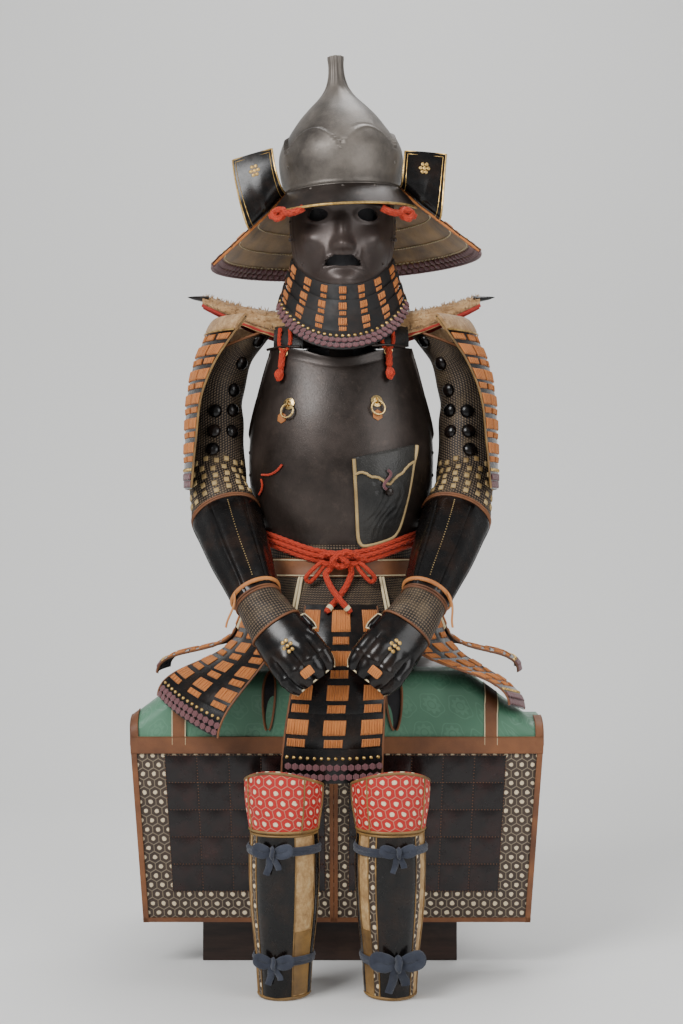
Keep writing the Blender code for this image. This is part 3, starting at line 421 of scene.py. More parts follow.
        number[used] = np.arange(len(used))
        number[used[used < size] + size] = number[used[used < size] + size]
        under = face[:, ::-1] + size
        every = np.unique(np.concatenate([face.ravel(), under.ravel(), wall.ravel()]))
        number[every] = np.arange(len(every))
        self.add(verts[every], [number[face], number[wall]], corners=[spans, uv[wall]], slot=slot)
        first = self.count - len(every)
        self.faces.append((number[under] + first, uv[under % size],
                           slot if under_slot is None else under_slot))

    def tube(self, path: Array, radius: Array | float, sides: int = 8, loop: bool = False,
             slot: int = 0, braid: tuple[int, float, float] | None = None, squash: float = 1.0,
             up: Sequence[float] = (0.0, 0.0, 1.0)) -> None:
        """Tube along a path, with a fan at each end or joined to itself.

        A braid lowers the radius between plaited strands: by depth times the product of two
        sines that climb round the tube in opposite directions.

        Args:
            path: points, shape (n, 3).
            radius: radius at each point.
            sides: points round the tube.
            loop: True joins the last point to the first.
            slot: number of the finish.
            braid: strands, length of one plait and depth as a share of the radius.
            squash: thickness over width.
            up: direction that the first side leans to.
        """
        count = len(path)
        if loop:
            tangent = unit(np.roll(path, -1, axis=0) - np.roll(path, 1, axis=0))
        else:
            tangent = unit(np.gradient(path, axis=0))
        side = np.zeros_like(path)
        last = np.asarray(up, dtype=float)
        for k in range(count):
            last = last - tangent[k] * np.dot(last, tangent[k])
            last = last / max(np.linalg.norm(last), 1e-9)
            side[k] = last
        other = np.cross(tangent, side)
        turn = np.arange(sides) * TAU / sides
        length = np.concatenate([[0.0], np.cumsum(np.linalg.norm(np.diff(path, axis=0), axis=1))])
        r = np.broadcast_to(np.asarray(radius, dtype=float), (count,))[:, None] + 0 * turn[None]
        if braid:
            strands, pitch, depth = braid
            climb = TAU * length[:, None] / pitch
            weave = np.abs(np.sin(strands * turn[None] / 2 + climb / 2) * np.sin(strands * turn[None] / 2 - climb / 2))
            r = r * (1 - depth * weave)
        ring = (path[:, None] + r[..., None] * (np.cos(turn)[None, :, None] * side[:, None]
                + squash * np.sin(turn)[None, :, None] * other[:, None]))
        verts = ring.reshape(-1, 3)
        around = np.arange(sides + 1) / sides * TAU * float(np.max(r))
        row, col = np.meshgrid(np.arange(count if loop else count - 1), np.arange(sides), indexing="ij")
        row, col = row.ravel(), col.ravel()
        nxt, right = (row + 1) % count, (col + 1) % sides
        quads = np.stack([row * sides + col, row * sides + right, nxt * sides + right, nxt * sides + col], -1)
        ends = np.append(length, length[-1] + np.linalg.norm(path[0] - path[-1]))
        place = np.stack([np.stack([around[col], ends[row]], -1), np.stack([around[col + 1], ends[row]], -1),
                          np.stack([around[col + 1], ends[row + 1]], -1), np.stack([around[col], ends[row + 1]], -1)], 1)
        if loop:
            self.add(verts, [quads], corners=[place], slot=slot)
            return
        here, there = np.arange(sides), (np.arange(sides) + 1) % sides
        first = np.stack([np.full(sides, count * sides), there, here], -1)
        final = (count - 1) * sides
        last_fan = np.stack([np.full(sides, count * sides + 1), final + here, final + there], -1)
        fan = np.concatenate([first, last_fan])
        self.add(np.concatenate([verts, path[:1], path[-1:]]), [quads, fan],
                 corners=[place, np.zeros((len(fan), 3, 2))], slot=slot)

    def scatter(self, pattern: tuple[Array, list[Array]], centres: Array, tangents: Array,
                normals: Array, scale: Array | float = 1.0, slot: int = 0) -> None:
        """Copies of a small shape, each stood on a surface.

        Args:
            pattern: the shape's points and faces, its own Z pointing out.
            centres: places, shape (n, 3).
            tangents: direction of the shape's own X.
            normals: direction of its own Z.
            scale: size of each copy, or (n, 3) for sizes along its own axes.
            slot: number of the finish.
        """
        points, faces = pattern
        centres = centres.reshape(-1, 3)
        z = unit(normals.reshape(-1, 3))
        x = tangents.reshape(-1, 3)
        x = unit(x - z * np.sum(x * z, axis=-1, keepdims=True))
        y = np.cross(z, x)
        size = np.asarray(scale, dtype=float)
        size = np.broadcast_to(size[..., None] if size.ndim < 2 else size, (len(centres), 3))
        local = points[None] * size[:, None]
        verts = (centres[:, None] + local[..., :1] * x[:, None] + local[..., 1:2] * y[:, None]
                 + local[..., 2:] * z[:, None])
        shift = (np.arange(len(centres)) * len(points))[:, None, None]
        blocks = [(face[None] + shift).reshape(-1, face.shape[1]) for face in faces]
        uv = np.tile(points[:, :2], (len(centres), 1))
        self.add(verts.reshape(-1, 3), blocks, uv=uv, slot=slot)


def lathe(profile: Sequence[tuple[float, float]], sides: int, twist: float = 0.0) -> tuple[Array, list[Array]]:
    """Closed turned shape: a profile of radii and heights carried round Z, with a fan at each end.

    Args:
        profile: radius and height of each ring, from the bottom to the top.
        sides: points in each ring.
        twist: angle of the first point.

    Returns:
        Points and faces.
    """
    turn = np.arange(sides) * TAU / sides + twist
    rows = np.array(profile)
    ring = np.stack([rows[:, :1] * np.cos(turn), rows[:, :1] * np.sin(turn), rows[:, 1:] + 0 * turn], -1)
    verts = np.concatenate([ring.reshape(-1, 3), [(0, 0, rows[0, 1]), (0, 0, rows[-1, 1])]])
    here, there = np.arange(sides), (np.arange(sides) + 1) % sides
    top = (len(rows) - 1) * sides
    fan = np.concatenate([np.stack([np.full(sides, len(rows) * sides), there, here], -1),
                          np.stack([np.full(sides, len(rows) * sides + 1), top + here, top + there], -1)])
    return verts, [grid_faces(len(rows), sides, closed=True), fan]


def dome(radius: float, height: float, sides: int = 12, rings: int = 4) -> tuple[Array, list[Array]]:
    """Low dome: a quarter ellipse turned round Z, with a short foot below its base."""
    angles = np.linspace(0, 0.42 * math.pi, rings)
    rows = [(radius, -0.0006)] + [(radius * math.cos(a), height * math.sin(a)) for a in angles]
    return lathe(rows, sides)


class Grain(Enum):
    """What a finish shows close to."""

    IRON = "iron"
    LACQUER = "lacquer"
    CORD = "cord"
    LEATHER = "leather"
    HIDE = "hide"
    MAIL = "mail"
    HEX = "hexagons"
    DAMASK = "damask"
    WEAVE = "weave"
    WOOD = "wood"
    METAL = "metal"


class Graph:
    """Short names for the nodes of one material."""

    def __init__(self, name: str) -> None:
        """Start a node material with its Principled shader."""
        self.made = bpy.data.materials.new(name)
        self.made.use_nodes = True
        self.tree = self.made.node_tree
        self.shader = self.tree.nodes["Principled BSDF"]

    def node(self, kind: str, **values: object) -> bpy.types.Node:
        """A new node with some of its own values set."""
        node = self.tree.nodes.new(kind)
        for key, value in values.items():
            setattr(node, key, value)
        return node

    def feed(self, socket: bpy.types.NodeSocket, value: object) -> None:
        """Link a socket, or set it to a plain value."""
        if isinstance(value, bpy.types.NodeSocket):
            self.tree.links.new(value, socket)
        else:
            socket.default_value = value

    def math(self, operation: str, a: object, b: object = 0.0, c: object = 0.0) -> bpy.types.NodeSocket:
        """One sum of a Math node."""
        node = self.node("ShaderNodeMath", operation=operation)
        for k, value in enumerate((a, b, c)):
            self.feed(node.inputs[k], value)
        return node.outputs[0]

    def place(self, surface: bool, scale: Sequence[float] = (1, 1, 1)) -> bpy.types.NodeSocket:
        """Coordinates in metres, of the surface or of the object, times a scale."""
        source = self.node("ShaderNodeTexCoord").outputs["UV" if surface else "Object"]
        node = self.node("ShaderNodeVectorMath", operation="MULTIPLY")
        self.feed(node.inputs[0], source)
        self.feed(node.inputs[1], tuple(scale))
        return node.outputs[0]

    def split(self, vector: bpy.types.NodeSocket) -> list[bpy.types.NodeSocket]:
        """The three numbers of a vector."""
        node = self.node("ShaderNodeSeparateXYZ")
        self.feed(node.inputs[0], vector)
        return list(node.outputs)

    def join(self, x: object, y: object, z: object = 0.0) -> bpy.types.NodeSocket:
        """A vector of three numbers."""
        node = self.node("ShaderNodeCombineXYZ")
        for k, value in enumerate((x, y, z)):
            self.feed(node.inputs[k], value)
        return node.outputs[0]

    def noise(self, scale: float, detail: float = 4.0, rough: float = 0.55, surface: bool = False,
              stretch: Sequence[float] = (1, 1, 1)) -> bpy.types.NodeSocket:
        """Soft noise between 0 and 1."""
        node = self.node("ShaderNodeTexNoise")
        self.feed(node.inputs["Vector"], self.place(surface, stretch))
        self.feed(node.inputs["Scale"], scale)
        self.feed(node.inputs["Detail"], detail)
        self.feed(node.inputs["Roughness"], rough)
        return node.outputs["Fac"]

    def cells(self, scale: float, feature: str = "F1", surface: bool = False, spread: float = 1.0,
              stretch: Sequence[float] = (1, 1, 1)) -> bpy.types.NodeSocket:
        """Distance within scattered cells."""
        node = self.node("ShaderNodeTexVoronoi", feature=feature)
        self.feed(node.inputs["Vector"], self.place(surface, stretch))
        self.feed(node.inputs["Scale"], scale)
        self.feed(node.inputs["Randomness"], spread)
        return node.outputs["Distance"]

    def ramp(self, value: bpy.types.NodeSocket, stops: Sequence[tuple[float, Colour]]) -> bpy.types.NodeSocket:
        """Colours along a value, one for each stop."""
        node = self.node("ShaderNodeValToRGB")
        band = node.color_ramp
        while len(band.elements) < len(stops):
            band.elements.new(0.5)
        for element, (place, colour) in zip(band.elements, stops):
            element.position = place
            element.color = (*colour, 1.0)
        self.feed(node.inputs[0], value)
        return node.outputs[0]

    def mix(self, share: object, a: object, b: object) -> bpy.types.NodeSocket:
        """Colour between two colours."""
        node = self.node("ShaderNodeMix", data_type="RGBA")
        self.feed(node.inputs[0], share)
        for socket, value in ((node.inputs[6], a), (node.inputs[7], b)):
            self.feed(socket, (*value, 1.0) if isinstance(value, tuple) else value)
        return node.outputs[2]

    def span(self, value: object, low: float, high: float, to_low: float = 0.0,
             to_high: float = 1.0) -> bpy.types.NodeSocket:
        """A value's range carried to another range, with its ends held."""
        node = self.node("ShaderNodeMapRange")
        for k, number in enumerate((value, low, high, to_low, to_high)):
            self.feed(node.inputs[k], number)
        return node.outputs[0]

    def bump(self, height: bpy.types.NodeSocket, depth: float, strength: float = 1.0) -> None:
        """Relief of a height between 0 and 1, in metres of depth."""
        node = self.node("ShaderNodeBump")
        self.feed(node.inputs["Height"], height)
        self.feed(node.inputs["Distance"], depth)
        self.feed(node.inputs["Strength"], strength)
        self.feed(self.shader.inputs["Normal"], node.outputs[0])

    def hexagons(self, pitch: float) -> tuple[bpy.types.NodeSocket, bpy.types.NodeSocket]:
        """Distances in a sheet of hexagons of one pitch: from the middle, and to the flats.

        Two grids of rectangles, one pitch wide and the square root of three tall, are laid half
        a step apart; the nearer middle wins, and the flats come from the larger of the height
        and half the height with the width's share.

        Args:
            pitch: width across the flats in metres.

        Returns:
            Distance from the middle, and distance towards the flats, 0.5 at a flat.
        """
        x, y, _ = self.split(self.place(True, (1 / pitch, 1 / pitch, 1.0)))
        best = []
        for shift in (0.0, 0.5):
            px = self.math("SUBTRACT", self.math("FLOORED_MODULO", self.math("ADD", x, shift), 1.0), 0.5)
            tall = math.sqrt(3.0)
            py = self.math("FLOORED_MODULO", self.math("ADD", y, shift * tall), tall)
            py = self.math("SUBTRACT", py, tall / 2)
            px, py = self.math("ABSOLUTE", px), self.math("ABSOLUTE", py)
            square = self.math("ADD", self.math("MULTIPLY", px, px), self.math("MULTIPLY", py, py))
            slant = self.math("ADD", self.math("MULTIPLY", px, 0.5), self.math("MULTIPLY", py, tall / 2))
            best.append((square, self.math("MAXIMUM", px, slant)))
        near = self.math("LESS_THAN", best[0][0], best[1][0])
        far = self.math("SUBTRACT", 1.0, near)
        pick = [self.math("ADD", self.math("MULTIPLY", best[0][k], near), self.math("MULTIPLY", best[1][k], far))
                for k in (0, 1)]
        return self.math("SQRT", pick[0]), pick[1]


@dataclass(frozen=True)
class Finish:
    """One finish: what it is made of, its colours, its gloss and the size of its grain."""

    name: str
    grain: Grain
    dark: Colour
    light: Colour
    rough: float = 0.5
    metal: float = 0.0
    pitch: float = 0.002
    depth: float = 0.0004
    coat: float = 0.0
    sheen: float = 0.0
    mark: Colour = (0.75, 0.66, 0.50)

    def material(self) -> bpy.types.Material:
        """The finish's node material, made once."""
        found = bpy.data.materials.get(self.name)
        if found:
            return found
        graph = Graph(self.name)
        inputs = graph.shader.inputs
        inputs["Roughness"].default_value = self.rough
        inputs["Metallic"].default_value = self.metal
        inputs["Coat Weight"].default_value = self.coat
        inputs["Coat Roughness"].default_value = 0.20
        inputs["Specular IOR Level"].default_value = 0.24 if self.coat else 0.5
        inputs["Sheen Weight"].default_value = self.sheen
        inputs["Sheen Roughness"].default_value = 0.4
        getattr(self, "_" + self.grain.name.lower())(graph)
        return graph.made

    def _colour(self, graph: Graph, socket: bpy.types.NodeSocket) -> None:
        """Give the shader its colour."""
        graph.feed(graph.shader.inputs["Base Color"], socket)

    def _two(self, graph: Graph, value: bpy.types.NodeSocket, low: float = 0.3,
             high: float = 0.7) -> bpy.types.NodeSocket:
        """Colour between dark and light along a value."""
        return graph.ramp(value, ((low, self.dark), (high, self.light)))

    def _iron(self, graph: Graph) -> None:
        """Rusty brown iron: broad clouds, small pits, and paler patches that are partly rubbed places and partly a
        painted sheen.
        """
        cloud = graph.noise(9.0, 6.0, 0.62)
        fine = graph.noise(260.0, 3.0, 0.6)
        pit = graph.cells(420.0)
        base = self._two(graph, cloud, 0.34, 0.68)
        # Paler random patches: partly rubbed iron, partly a painted sheen.
        rubbed_and_painted_sheen = graph.mix(graph.span(graph.noise(38.0, 5.0, 0.7), 0.56, 0.74, 0.0, 0.45), base, self.mark)
        self._colour(graph, rubbed_and_painted_sheen)
        gloss = graph.span(graph.math("ADD", cloud, graph.math("MULTIPLY", fine, 0.4)), 0.4, 0.95,
                           self.rough - 0.10, self.rough + 0.13)
        graph.feed(graph.shader.inputs["Roughness"], gloss)
        height = graph.math("ADD", graph.math("MULTIPLY", fine, 0.6), graph.span(pit, 0.0, 0.35, 0.0, 0.5))
        graph.bump(height, self.depth, 0.55)

    def _lacquer(self, graph: Graph) -> None:
        """Lacquer: deep gloss over a slight orange-peel, with faint brown wear."""
        wear = graph.noise(24.0, 5.0, 0.65)
        self._colour(graph, self._two(graph, wear, 0.46, 0.80))
        graph.feed(graph.shader.inputs["Roughness"],
                   graph.span(graph.noise(60.0, 4.0, 0.6), 0.35, 0.8, self.rough - 0.05, self.rough + 0.15))
        graph.bump(graph.noise(150.0, 2.0, 0.5), self.depth, 0.35)

    def _cord(self, graph: Graph) -> None:
        """Plaited silk: slanting stitches that meet in a herringbone along the surface, coloured darker in the grooves
        between strands as painted shade.
        """
        x, y, _ = graph.split(graph.place(True, (TAU / self.pitch, TAU / self.pitch, 1.0)))
        rib = graph.math("ABSOLUTE", graph.math("SINE", graph.math("MULTIPLY", x, 0.5)))
        slant = graph.math("ABSOLUTE", graph.math("SINE", graph.math("ADD", y, graph.math("MULTIPLY", rib, 1.6))))
        strand = graph.math("MULTIPLY", graph.math("ADD", slant, 0.35), graph.math("ADD", rib, 0.3))
        # Painted shade: the colour follows the strand relief, darker in the grooves between the strands.
        shade = graph.math("ADD", graph.math("MULTIPLY", strand, 0.55), graph.math("MULTIPLY", graph.noise(45.0), 0.5))
        self._colour(graph, self._two(graph, shade, 0.25, 0.8))
        graph.bump(strand, self.depth, 0.8)

    def _leather(self, graph: Graph) -> None:
        """Leather: grain of small cells, creases, and darker handled places."""
        crease = graph.noise(55.0, 6.0, 0.7)
        grain = graph.cells(1.0 / self.pitch, "SMOOTH_F1")
        self._colour(graph, self._two(graph, graph.noise(14.0, 5.0, 0.6), 0.32, 0.7))
        height = graph.math("ADD", graph.math("MULTIPLY", grain, 0.5), crease)
        graph.bump(height, self.depth, 0.7)

    def _hide(self, graph: Graph) -> None:
        """Rough hide: matted streaks and tufts of several tans."""
        streak = graph.noise(30.0, 8.0, 0.75, stretch=(1.0, 3.0, 2.0))
        tuft = graph.noise(190.0, 4.0, 0.7)
        shade = graph.math("ADD", graph.math("MULTIPLY", streak, 0.7), graph.math("MULTIPLY", tuft, 0.3))
        self._colour(graph, graph.ramp(shade, ((0.32, self.dark), (0.52, self.light), (0.7, self.mark))))
        graph.bump(shade, self.depth, 1.0)

    def _mail(self, graph: Graph) -> None:
        """Mail on cloth: a net of small raised links, some worn bright."""
        x, y, _ = graph.split(graph.place(True, (TAU / self.pitch, TAU / self.pitch, 1.0)))
        spot = graph.math("ABSOLUTE", graph.math("MULTIPLY", graph.math("SINE", x), graph.math("SINE", y)))
        ring = graph.span(graph.math("ADD", spot, graph.math("MULTIPLY", graph.noise(300.0), 0.25)), 0.38, 0.85)
        shade = graph.mix(ring, self.dark, self.light)
        worn = graph.mix(graph.span(graph.noise(26.0, 5.0, 0.7), 0.5, 0.75, 0.0, 0.5), shade, self.mark)
        self._colour(graph, worn)
        graph.bump(ring, self.depth, 1.0)

    def _hex(self, graph: Graph) -> None:
        """Leather printed with hexagons, a pale dot in the middle of each."""
        middle, flat = graph.hexagons(self.pitch)
        line = graph.span(flat, 0.44, 0.48)
        wobble = graph.math("MULTIPLY", graph.noise(210.0, 2.0, 0.6), 0.20)
        petal = graph.span(graph.math("ADD", middle, wobble), 0.27, 0.33, 1.0, 0.0)
        field_colour = graph.mix(graph.noise(40.0, 5.0, 0.6), self.dark, self.light)
        lined = graph.mix(graph.math("MULTIPLY", line, 0.28), field_colour, self.mark)
        self._colour(graph, graph.mix(petal, lined, self.mark))
        height = graph.math("ADD", graph.math("MULTIPLY", petal, 0.9), graph.math("MULTIPLY", line, 0.5))
        graph.bump(height, self.depth, 0.9)

    def _damask(self, graph: Graph) -> None:
        """Silk damask: round flower heads and leaves in satin on a duller ground, and a fine weave."""
        wide = self.pitch
        x, y, _ = graph.split(graph.place(True, (1 / wide, 1 / wide, 1.0)))
        row = graph.math("FLOOR", y)
        shift = graph.math("MULTIPLY", graph.math("FLOORED_MODULO", row, 2.0), 0.5)
        px = graph.math("SUBTRACT", graph.math("FLOORED_MODULO", graph.math("ADD", x, shift), 1.0), 0.5)
        py = graph.math("SUBTRACT", graph.math("FLOORED_MODULO", y, 1.0), 0.5)
        radius = graph.math("SQRT", graph.math("ADD", graph.math("MULTIPLY", px, px), graph.math("MULTIPLY", py, py)))
        angle = graph.math("ARCTAN2", py, px)
        petals = graph.math("MULTIPLY", graph.math("COSINE", graph.math("MULTIPLY", angle, 8.0)), 0.045)
        edge = graph.math("ADD", petals, 0.27)
        head = graph.span(graph.math("SUBTRACT", edge, radius), -0.012, 0.012)
        inner = graph.span(graph.math("ABSOLUTE", graph.math("SUBTRACT", radius, 0.13)), 0.012, 0.03, 1.0, 0.0)
        vine = graph.math("ADD", graph.math("MULTIPLY", graph.math("SINE", graph.math("MULTIPLY", angle, 5.0)), 0.03), 0.40)
        leaf = graph.span(graph.math("ABSOLUTE", graph.math("SUBTRACT", radius, vine)), 0.012, 0.028, 1.0, 0.0)
        shape = graph.math("MAXIMUM", graph.math("SUBTRACT", head, inner), leaf)
        soft = graph.math("MULTIPLY", shape, graph.span(graph.noise(60.0), 0.3, 0.6, 0.55, 1.0))
        ground = graph.mix(graph.noise(7.0, 4.0, 0.6), self.dark, self.light)
        self._colour(graph, graph.mix(graph.math("MULTIPLY", soft, 0.20), ground, self.mark))
        graph.feed(graph.shader.inputs["Roughness"], graph.span(soft, 0.0, 1.0, self.rough, self.rough - 0.18))
        thread = graph.math("SINE", graph.math("MULTIPLY", x, TAU * wide / 0.0009))
        height = graph.math("ADD", graph.math("MULTIPLY", soft, 0.8), graph.math("MULTIPLY", thread, 0.12))
        graph.bump(height, self.depth, 0.5)

    def _weave(self, graph: Graph) -> None:
        """Plain woven cloth: two sets of threads over and under each other."""
        x, y, _ = graph.split(graph.place(True, (TAU / self.pitch, TAU / self.pitch, 1.0)))
        thread = graph.math("MULTIPLY", graph.math("SINE", x), graph.math("SINE", y))
        shade = graph.math("ADD", graph.math("MULTIPLY", thread, 0.18), graph.noise(30.0, 5.0, 0.65))
        self._colour(graph, self._two(graph, shade, 0.3, 0.75))
        graph.bump(thread, self.depth, 0.7)

    def _wood(self, graph: Graph) -> None:
        """Lacquered boards: faint grain along X under a worn brown coat."""
        grain = graph.noise(9.0, 7.0, 0.65, stretch=(1.0, 6.0, 9.0))
        wear = graph.noise(5.0, 6.0, 0.7)
        base = self._two(graph, grain, 0.35, 0.7)
        self._colour(graph, graph.mix(graph.span(wear, 0.55, 0.8, 0.0, 0.4), base, self.mark))
        graph.feed(graph.shader.inputs["Roughness"],
                   graph.span(wear, 0.3, 0.8, self.rough - 0.08, self.rough + 0.15))
        graph.bump(grain, self.depth, 0.4)

    def _metal(self, graph: Graph) -> None:
        """Handled brass or gilt, duller in its hollows."""
        wear = graph.noise(120.0, 4.0, 0.65)
        self._colour(graph, self._two(graph, wear, 0.3, 0.62))
        graph.feed(graph.shader.inputs["Roughness"],
                   graph.span(wear, 0.3, 0.8, self.rough + 0.12, self.rough - 0.06))
        graph.bump(graph.noise(500.0, 2.0, 0.5), self.depth, 0.3)


# The iron finishes' mark colours are paler patches: partly rubbed iron, partly a painted sheen.
HELMET_IRON = Finish("helmet_iron", Grain.IRON, (0.034, 0.028, 0.024), (0.185, 0.162, 0.140), 0.42, 0.45,
                     depth=0.0006, mark=(0.20, 0.17, 0.145))
BODY_IRON = Finish("body_iron", Grain.IRON, (0.013, 0.009, 0.007), (0.050, 0.036, 0.030), 0.36, 0.45,
                   depth=0.0004, mark=(0.085, 0.060, 0.048))
MASK_IRON = Finish("mask_iron", Grain.IRON, (0.034, 0.024, 0.021), (0.066, 0.048, 0.042), 0.38, 0.35,
                   depth=0.0003, mark=(0.10, 0.070, 0.058))
BLACK = Finish("black_lacquer", Grain.LACQUER, (0.003, 0.0025, 0.0025), (0.020, 0.010, 0.006), 0.24, coat=0.18,
               depth=0.0002)
WORN = Finish("worn_lacquer", Grain.LACQUER, (0.003, 0.0025, 0.0025), (0.022, 0.011, 0.007), 0.62, depth=0.0004)
PLATE = Finish("brown_plates", Grain.LACQUER, (0.006, 0.003, 0.003), (0.030, 0.008, 0.006), 0.22, coat=0.3,
               depth=0.0003)
ORANGE = Finish("orange_lacing", Grain.CORD, (0.23, 0.050, 0.010), (0.72, 0.255, 0.062), 0.75, pitch=0.0036,
                sheen=0.1, depth=0.0012)
RED = Finish("red_cord_braid", Grain.CORD, (0.16, 0.006, 0.002), (0.56, 0.040, 0.007), 0.66, pitch=0.0042,
             sheen=0.05, depth=0.0010)
PURPLE = Finish("purple_lacing", Grain.CORD, (0.055, 0.018, 0.022), (0.17, 0.062, 0.068), 0.75, pitch=0.0030,
                sheen=0.3, depth=0.0006)
IVORY = Finish("ivory_stitch", Grain.CORD, (0.45, 0.34, 0.17), (0.78, 0.66, 0.42), 0.6, pitch=0.0024,
               depth=0.0004)
GILT = Finish("gilt", Grain.METAL, (0.26, 0.15, 0.045), (0.72, 0.48, 0.17), 0.34, 0.9, depth=0.0002)
BRASS = Finish("brass_fittings", Grain.METAL, (0.30, 0.19, 0.07), (0.74, 0.54, 0.24), 0.28, 1.0, depth=0.0001)
OLD_GOLD = Finish("old_gold_leather", Grain.LEATHER, (0.060, 0.030, 0.009), (0.32, 0.180, 0.050), 0.5,
                  pitch=0.0030, depth=0.0008)
BROWN_LEATHER = Finish("brown_leather", Grain.LEATHER, (0.085, 0.028, 0.009), (0.21, 0.078, 0.026), 0.6,
                       pitch=0.0016, depth=0.0004)
TAN_LEATHER = Finish("tan_leather", Grain.HIDE, (0.17, 0.085, 0.028), (0.42, 0.26, 0.11), 0.75,
                     depth=0.0008, mark=(0.60, 0.47, 0.27))
TIE_LEATHER = Finish("tie_leather", Grain.LEATHER, (0.30, 0.10, 0.025), (0.56, 0.23, 0.065), 0.6,
                     pitch=0.0014, depth=0.0004)
POUCH_LEATHER = Finish("pouch_leather", Grain.LEATHER, (0.008, 0.008, 0.008), (0.034, 0.032, 0.029), 0.38,
                       pitch=0.0022, depth=0.0016, coat=0.15)
FUR = Finish("rough_hide", Grain.HIDE, (0.13, 0.062, 0.022), (0.38, 0.22, 0.095), 0.9, depth=0.0030,
             mark=(0.62, 0.45, 0.25), sheen=0.3)
MAIL = Finish("brown_mail", Grain.MAIL, (0.008, 0.005, 0.004), (0.150, 0.105, 0.066), 0.55, 0.25, pitch=0.0096,
              depth=0.0012, mark=(0.20, 0.14, 0.075))
PIPING = Finish("tan_piping", Grain.LEATHER, (0.20, 0.125, 0.045), (0.46, 0.33, 0.15), 0.6,
                pitch=0.0014, depth=0.0004)
# Dark cloth lining; also the dark fills that are painted shade in the slits and behind the mask's openings.
LINING_AND_SHADE = Finish("dark_lining_and_shade", Grain.WEAVE, (0.010, 0.010, 0.012), (0.030, 0.028, 0.030), 0.85, pitch=0.0014)
RED_LINING = Finish("red_lining", Grain.WEAVE, (0.30, 0.018, 0.012), (0.50, 0.045, 0.03), 0.8, pitch=0.0014)
KIKKO = Finish("hexagon_leather", Grain.HEX, (0.020, 0.012, 0.009), (0.060, 0.036, 0.022), 0.55, pitch=0.0176,
               depth=0.0012, mark=(0.62, 0.51, 0.34))
RED_HEX = Finish("red_hexagons", Grain.HEX, (0.34, 0.005, 0.004), (0.50, 0.012, 0.008), 0.65, pitch=0.0186,
                 depth=0.0018, mark=(0.74, 0.60, 0.40))
SILK = Finish("green_silk", Grain.DAMASK, (0.034, 0.115, 0.066), (0.105, 0.240, 0.150), 0.56, pitch=0.046,
              depth=0.0003, sheen=0.1, mark=(0.150, 0.330, 0.215))
TIE_CLOTH = Finish("blue_grey_cloth", Grain.WEAVE, (0.011, 0.014, 0.026), (0.042, 0.050, 0.074), 0.85,
                   pitch=0.0011, depth=0.0003, sheen=0.2)
CHEST_WOOD = Finish("chest_boards", Grain.WOOD, (0.016, 0.009, 0.007), (0.040, 0.021, 0.015), 0.36, coat=0.2,
                    depth=0.0006, mark=(0.10, 0.055, 0.034))
STAND_WOOD = Finish("stand_boards", Grain.WOOD, (0.040, 0.026, 0.018), (0.085, 0.052, 0.034), 0.5,
                    depth=0.0006, mark=(0.14, 0.09, 0.055))


